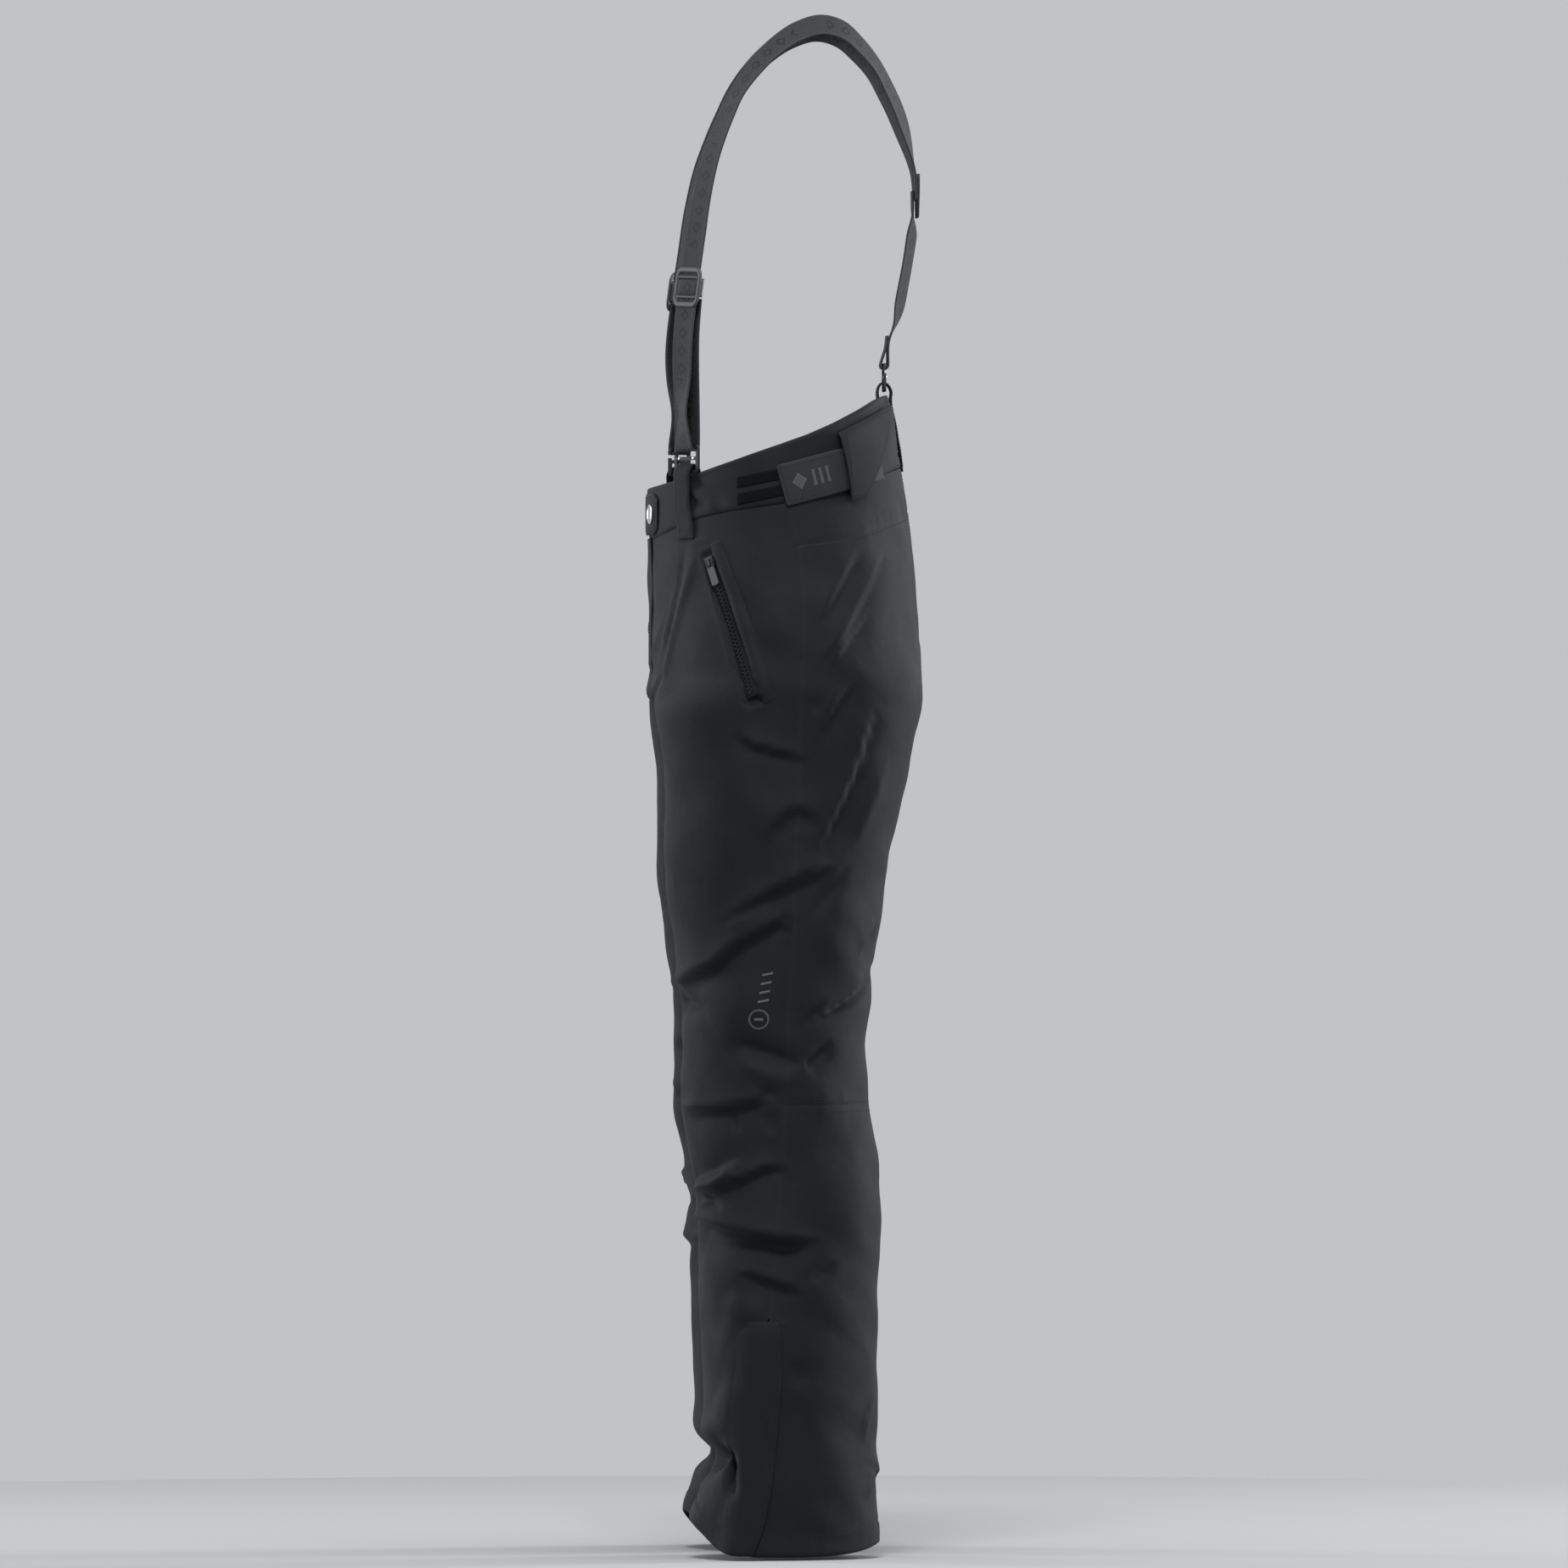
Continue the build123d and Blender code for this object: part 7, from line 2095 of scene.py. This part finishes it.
# ---------------------------------------------------------------- seams sewn on the trousers
s = stitch("pants")
for side, vary, flip in PAIRS:
    cl = CLOTH[side]

    def run(uu, zz, off=0.1, pitch=3.3, length=2.3):
        uu, zz = np.broadcast_arrays(np.asarray(uu, float), np.asarray(zz, float))
        p = cl.at(uu, zz, off)
        n = unit(cl.at(uu, zz, off + 3) - p)
        s.row(p, n, pitch=pitch, length=length)

    P, U, Z, PHI, legrow = HALVES[side]
    for r_, c0, c1, k in ((K2 - 1, MIDC + 2, 2 * NC - 2, 1), (K2 + 2, MIDC + 2, 2 * NC - 2, 1)):
        pts = P[r_, c0:c1]
        n = cl.N[r_, c0:c1]
        s.row(mir(pts + n * 0.08, flip), mir(n, flip))
    # yoke
    for r_ in (Y2 + 1,):
        pts, n = P[r_, MIDC:-1], cl.N[r_, MIDC:-1]
        s.row(mir(pts + n * 0.08, flip), mir(n, flip))
    # hem, two rows
    hrow = int(np.argmin(np.abs(Z[:, 0] + 1046)))
    for dz in (19.0, 17.0):
        pts, nn = [], []
        for c in range(2, 2 * NC - 1, 2):
            if abs(U[-1, c]) < 11:
                if len(pts) > 3:
                    s.row(mir(np.array(pts), flip), mir(np.array(nn), flip))
                pts, nn = [], []
                continue
            r = float(np.interp(-(hem(PHI[-1, c]) + dz), -Z[:, c], np.arange(Z.shape[0])))
            r0 = int(min(Z.shape[0] - 2, r))
            f = r - r0
            pts.append(P[r0, c] * (1 - f) + P[r0 + 1, c] * f + cl.N[r0, c] * 0.05)
            nn.append(cl.N[r0, c])
        if len(pts) > 3:
            s.row(mir(np.array(pts), flip), mir(np.array(nn), flip))
    # centre back seam
    pts, n = P[2:90, -3], cl.N[2:90, -3]
    s.row(mir(pts + n * 0.05, flip), mir(n, flip))
    # waistband edges
    for t_, o_ in ((0.05, 0.75), (0.93, 1.05)):
        ph = np.concatenate([np.linspace(0.03, 0.18, 30), np.linspace(0.26, 0.97, 120)])
        for seg in (ph[:30], ph[30:]):
            zz = band_bottom(seg) + (band_top(seg) - band_bottom(seg)) * t_
            n = normal(seg, zz)
            s.row(mir(surf(seg, zz) + n * o_, flip), mir(n, flip))

for body, s in ST.items():
    o = s.make(body + "_seam_stitches")
    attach(o, body)

# a small plain mark on the left thigh: a ring and three slanting bars, in thin soft rubber
cl = CLOTH["left"]


def print_shape(V, F, poly, lift=0.4):
    o_ = len(V)
    poly = [np.array(p, float) for p in poly]
    m = len(poly)
    cen_ = np.mean(poly, axis=0)
    rings_ = []
    for sc_, up in ((1.0, -0.4), (1.0, lift * 0.75), (0.94, lift)):
        q = np.array([cen_ + (p - cen_) * sc_ for p in poly])
        rings_.append(cl.at(q[:, 0], q[:, 1], up))
    for r_ in rings_:
        V.extend(r_)
    for r in range(2):
        for k in range(m):
            a, b = o_ + r * m + k, o_ + r * m + (k + 1) % m
            F.append((a, b, b + m, a + m))
    V.append(cl.at(cen_[0], cen_[1], lift))
    V.append(cl.at(cen_[0], cen_[1], -0.35))
    for k in range(m):
        a, b = o_ + 2 * m + k, o_ + 2 * m + (k + 1) % m
        F.append((a, b, len(V) - 2))
        F.append((o_ + (k + 1) % m, o_ + k, len(V) - 1))


V, F = [], []
mu, mz = side_u(-27.9, -553.5), -550.2
# ring as a closed band
m = 40
for rad, up in ((9.6, -0.4), (9.6, 0.3), (9.3, 0.4), (8.3, 0.4), (8.0, 0.3), (8.0, -0.4)):
    V.extend(cl.at(np.array([mu + rad * math.cos(a) for a in np.linspace(0, 2 * math.pi, m, endpoint=False)]), np.array([mz + rad * math.sin(a) for a in np.linspace(0, 2 * math.pi, m, endpoint=False)]), up))
for r in range(6):
    for k in range(m):
        a, b = r * m + k, r * m + (k + 1) % m
        c, d = ((r + 1) % 6) * m + k, ((r + 1) % 6) * m + (k + 1) % m
        F.append((a, b, d, c))
print_shape(V, F, [(mu - 4, mz - 1.2), (mu + 4, mz - 1.2), (mu + 4, mz + 1.2), (mu - 4, mz + 1.2)])
for k in range(4):
    b0 = mz + 17 + k * 8.5
    dx = 3.4 + 0.9 * k
    print_shape(V, F, [(mu + dx - 5.0, b0 - 1.5), (mu + dx + 5.0, b0 + 0.6), (mu + dx + 5.0, b0 + 2.7), (mu + dx - 5.0, b0 + 0.6)])
o = add_mesh("left_thigh_print", np.array(V), F, smooth=False)
bm = bmesh.new()
bm.from_mesh(o.data)
bmesh.ops.recalc_face_normals(bm, faces=bm.faces)
bm.to_mesh(o.data)
bm.free()
finish_piece(o, PRINT, "soft_rubber", "pants")

# ---------------------------------------------------------------- small domed rivets on the hooks


def dome(name, centre, out, radius, body):
    out = unit(np.asarray(out, float))
    a = unit(np.cross(out, (0.3, 0.2, 1.0)))
    b = np.cross(out, a)
    V, F, seg = [], [], 20
    for r, h in ((1.0, -0.5), (1.0, 0.08), (0.93, 0.26), (0.76, 0.46), (0.5, 0.61), (0.22, 0.68)):
        V += [centre + out * h * radius + (a * math.cos(q) + b * math.sin(q)) * r * radius for q in np.linspace(0, 2 * math.pi, seg, endpoint=False)]
    for i in range(5):
        for k in range(seg):
            c, d = i * seg + k, i * seg + (k + 1) % seg
            F.append((c, d, d + seg, c + seg))
    F.append(tuple(range(seg - 1, -1, -1)))
    F.append(tuple(5 * seg + k for k in range(seg)))
    o = add_mesh(name, np.array(V), F)
    bm = bmesh.new()
    bm.from_mesh(o.data)
    bmesh.ops.recalc_face_normals(bm, faces=bm.faces)
    bm.to_mesh(o.data)
    bm.free()
    return finish_piece(o, RIVET, "zip_metal", body)


for side, vary, flip in PAIRS:
    for k, (tt_, yy) in enumerate(((-11.5, 18.3), (11.5, 18.3))):
        dome("%s_front_hook_rivet_%d" % (side, k + 1), mir(wr(BAR[0] + 1.2, yy, tt_), flip), mir(wr.n, flip), 1.5, side + "_front_hook")
for k, tt_ in enumerate((-11.5, 11.5)):
    dome("back_hook_rivet_%d" % (k + 1), wb(BAR[0] + 1.2, 18.3, tt_), wb.n, 1.5, "back_hook")

# ---------------------------------------------------------------- metal and moulded parts kept from the CAD
for n, ob in NODES.items():
    if ob.hide_render:
        continue
    m = HOOKM if "hook" in n else ZIPMETAL if "slider" in n else PULL if "pull" in n else BUCKLE
    ob.data.materials.clear()
    ob.data.materials.append(m)
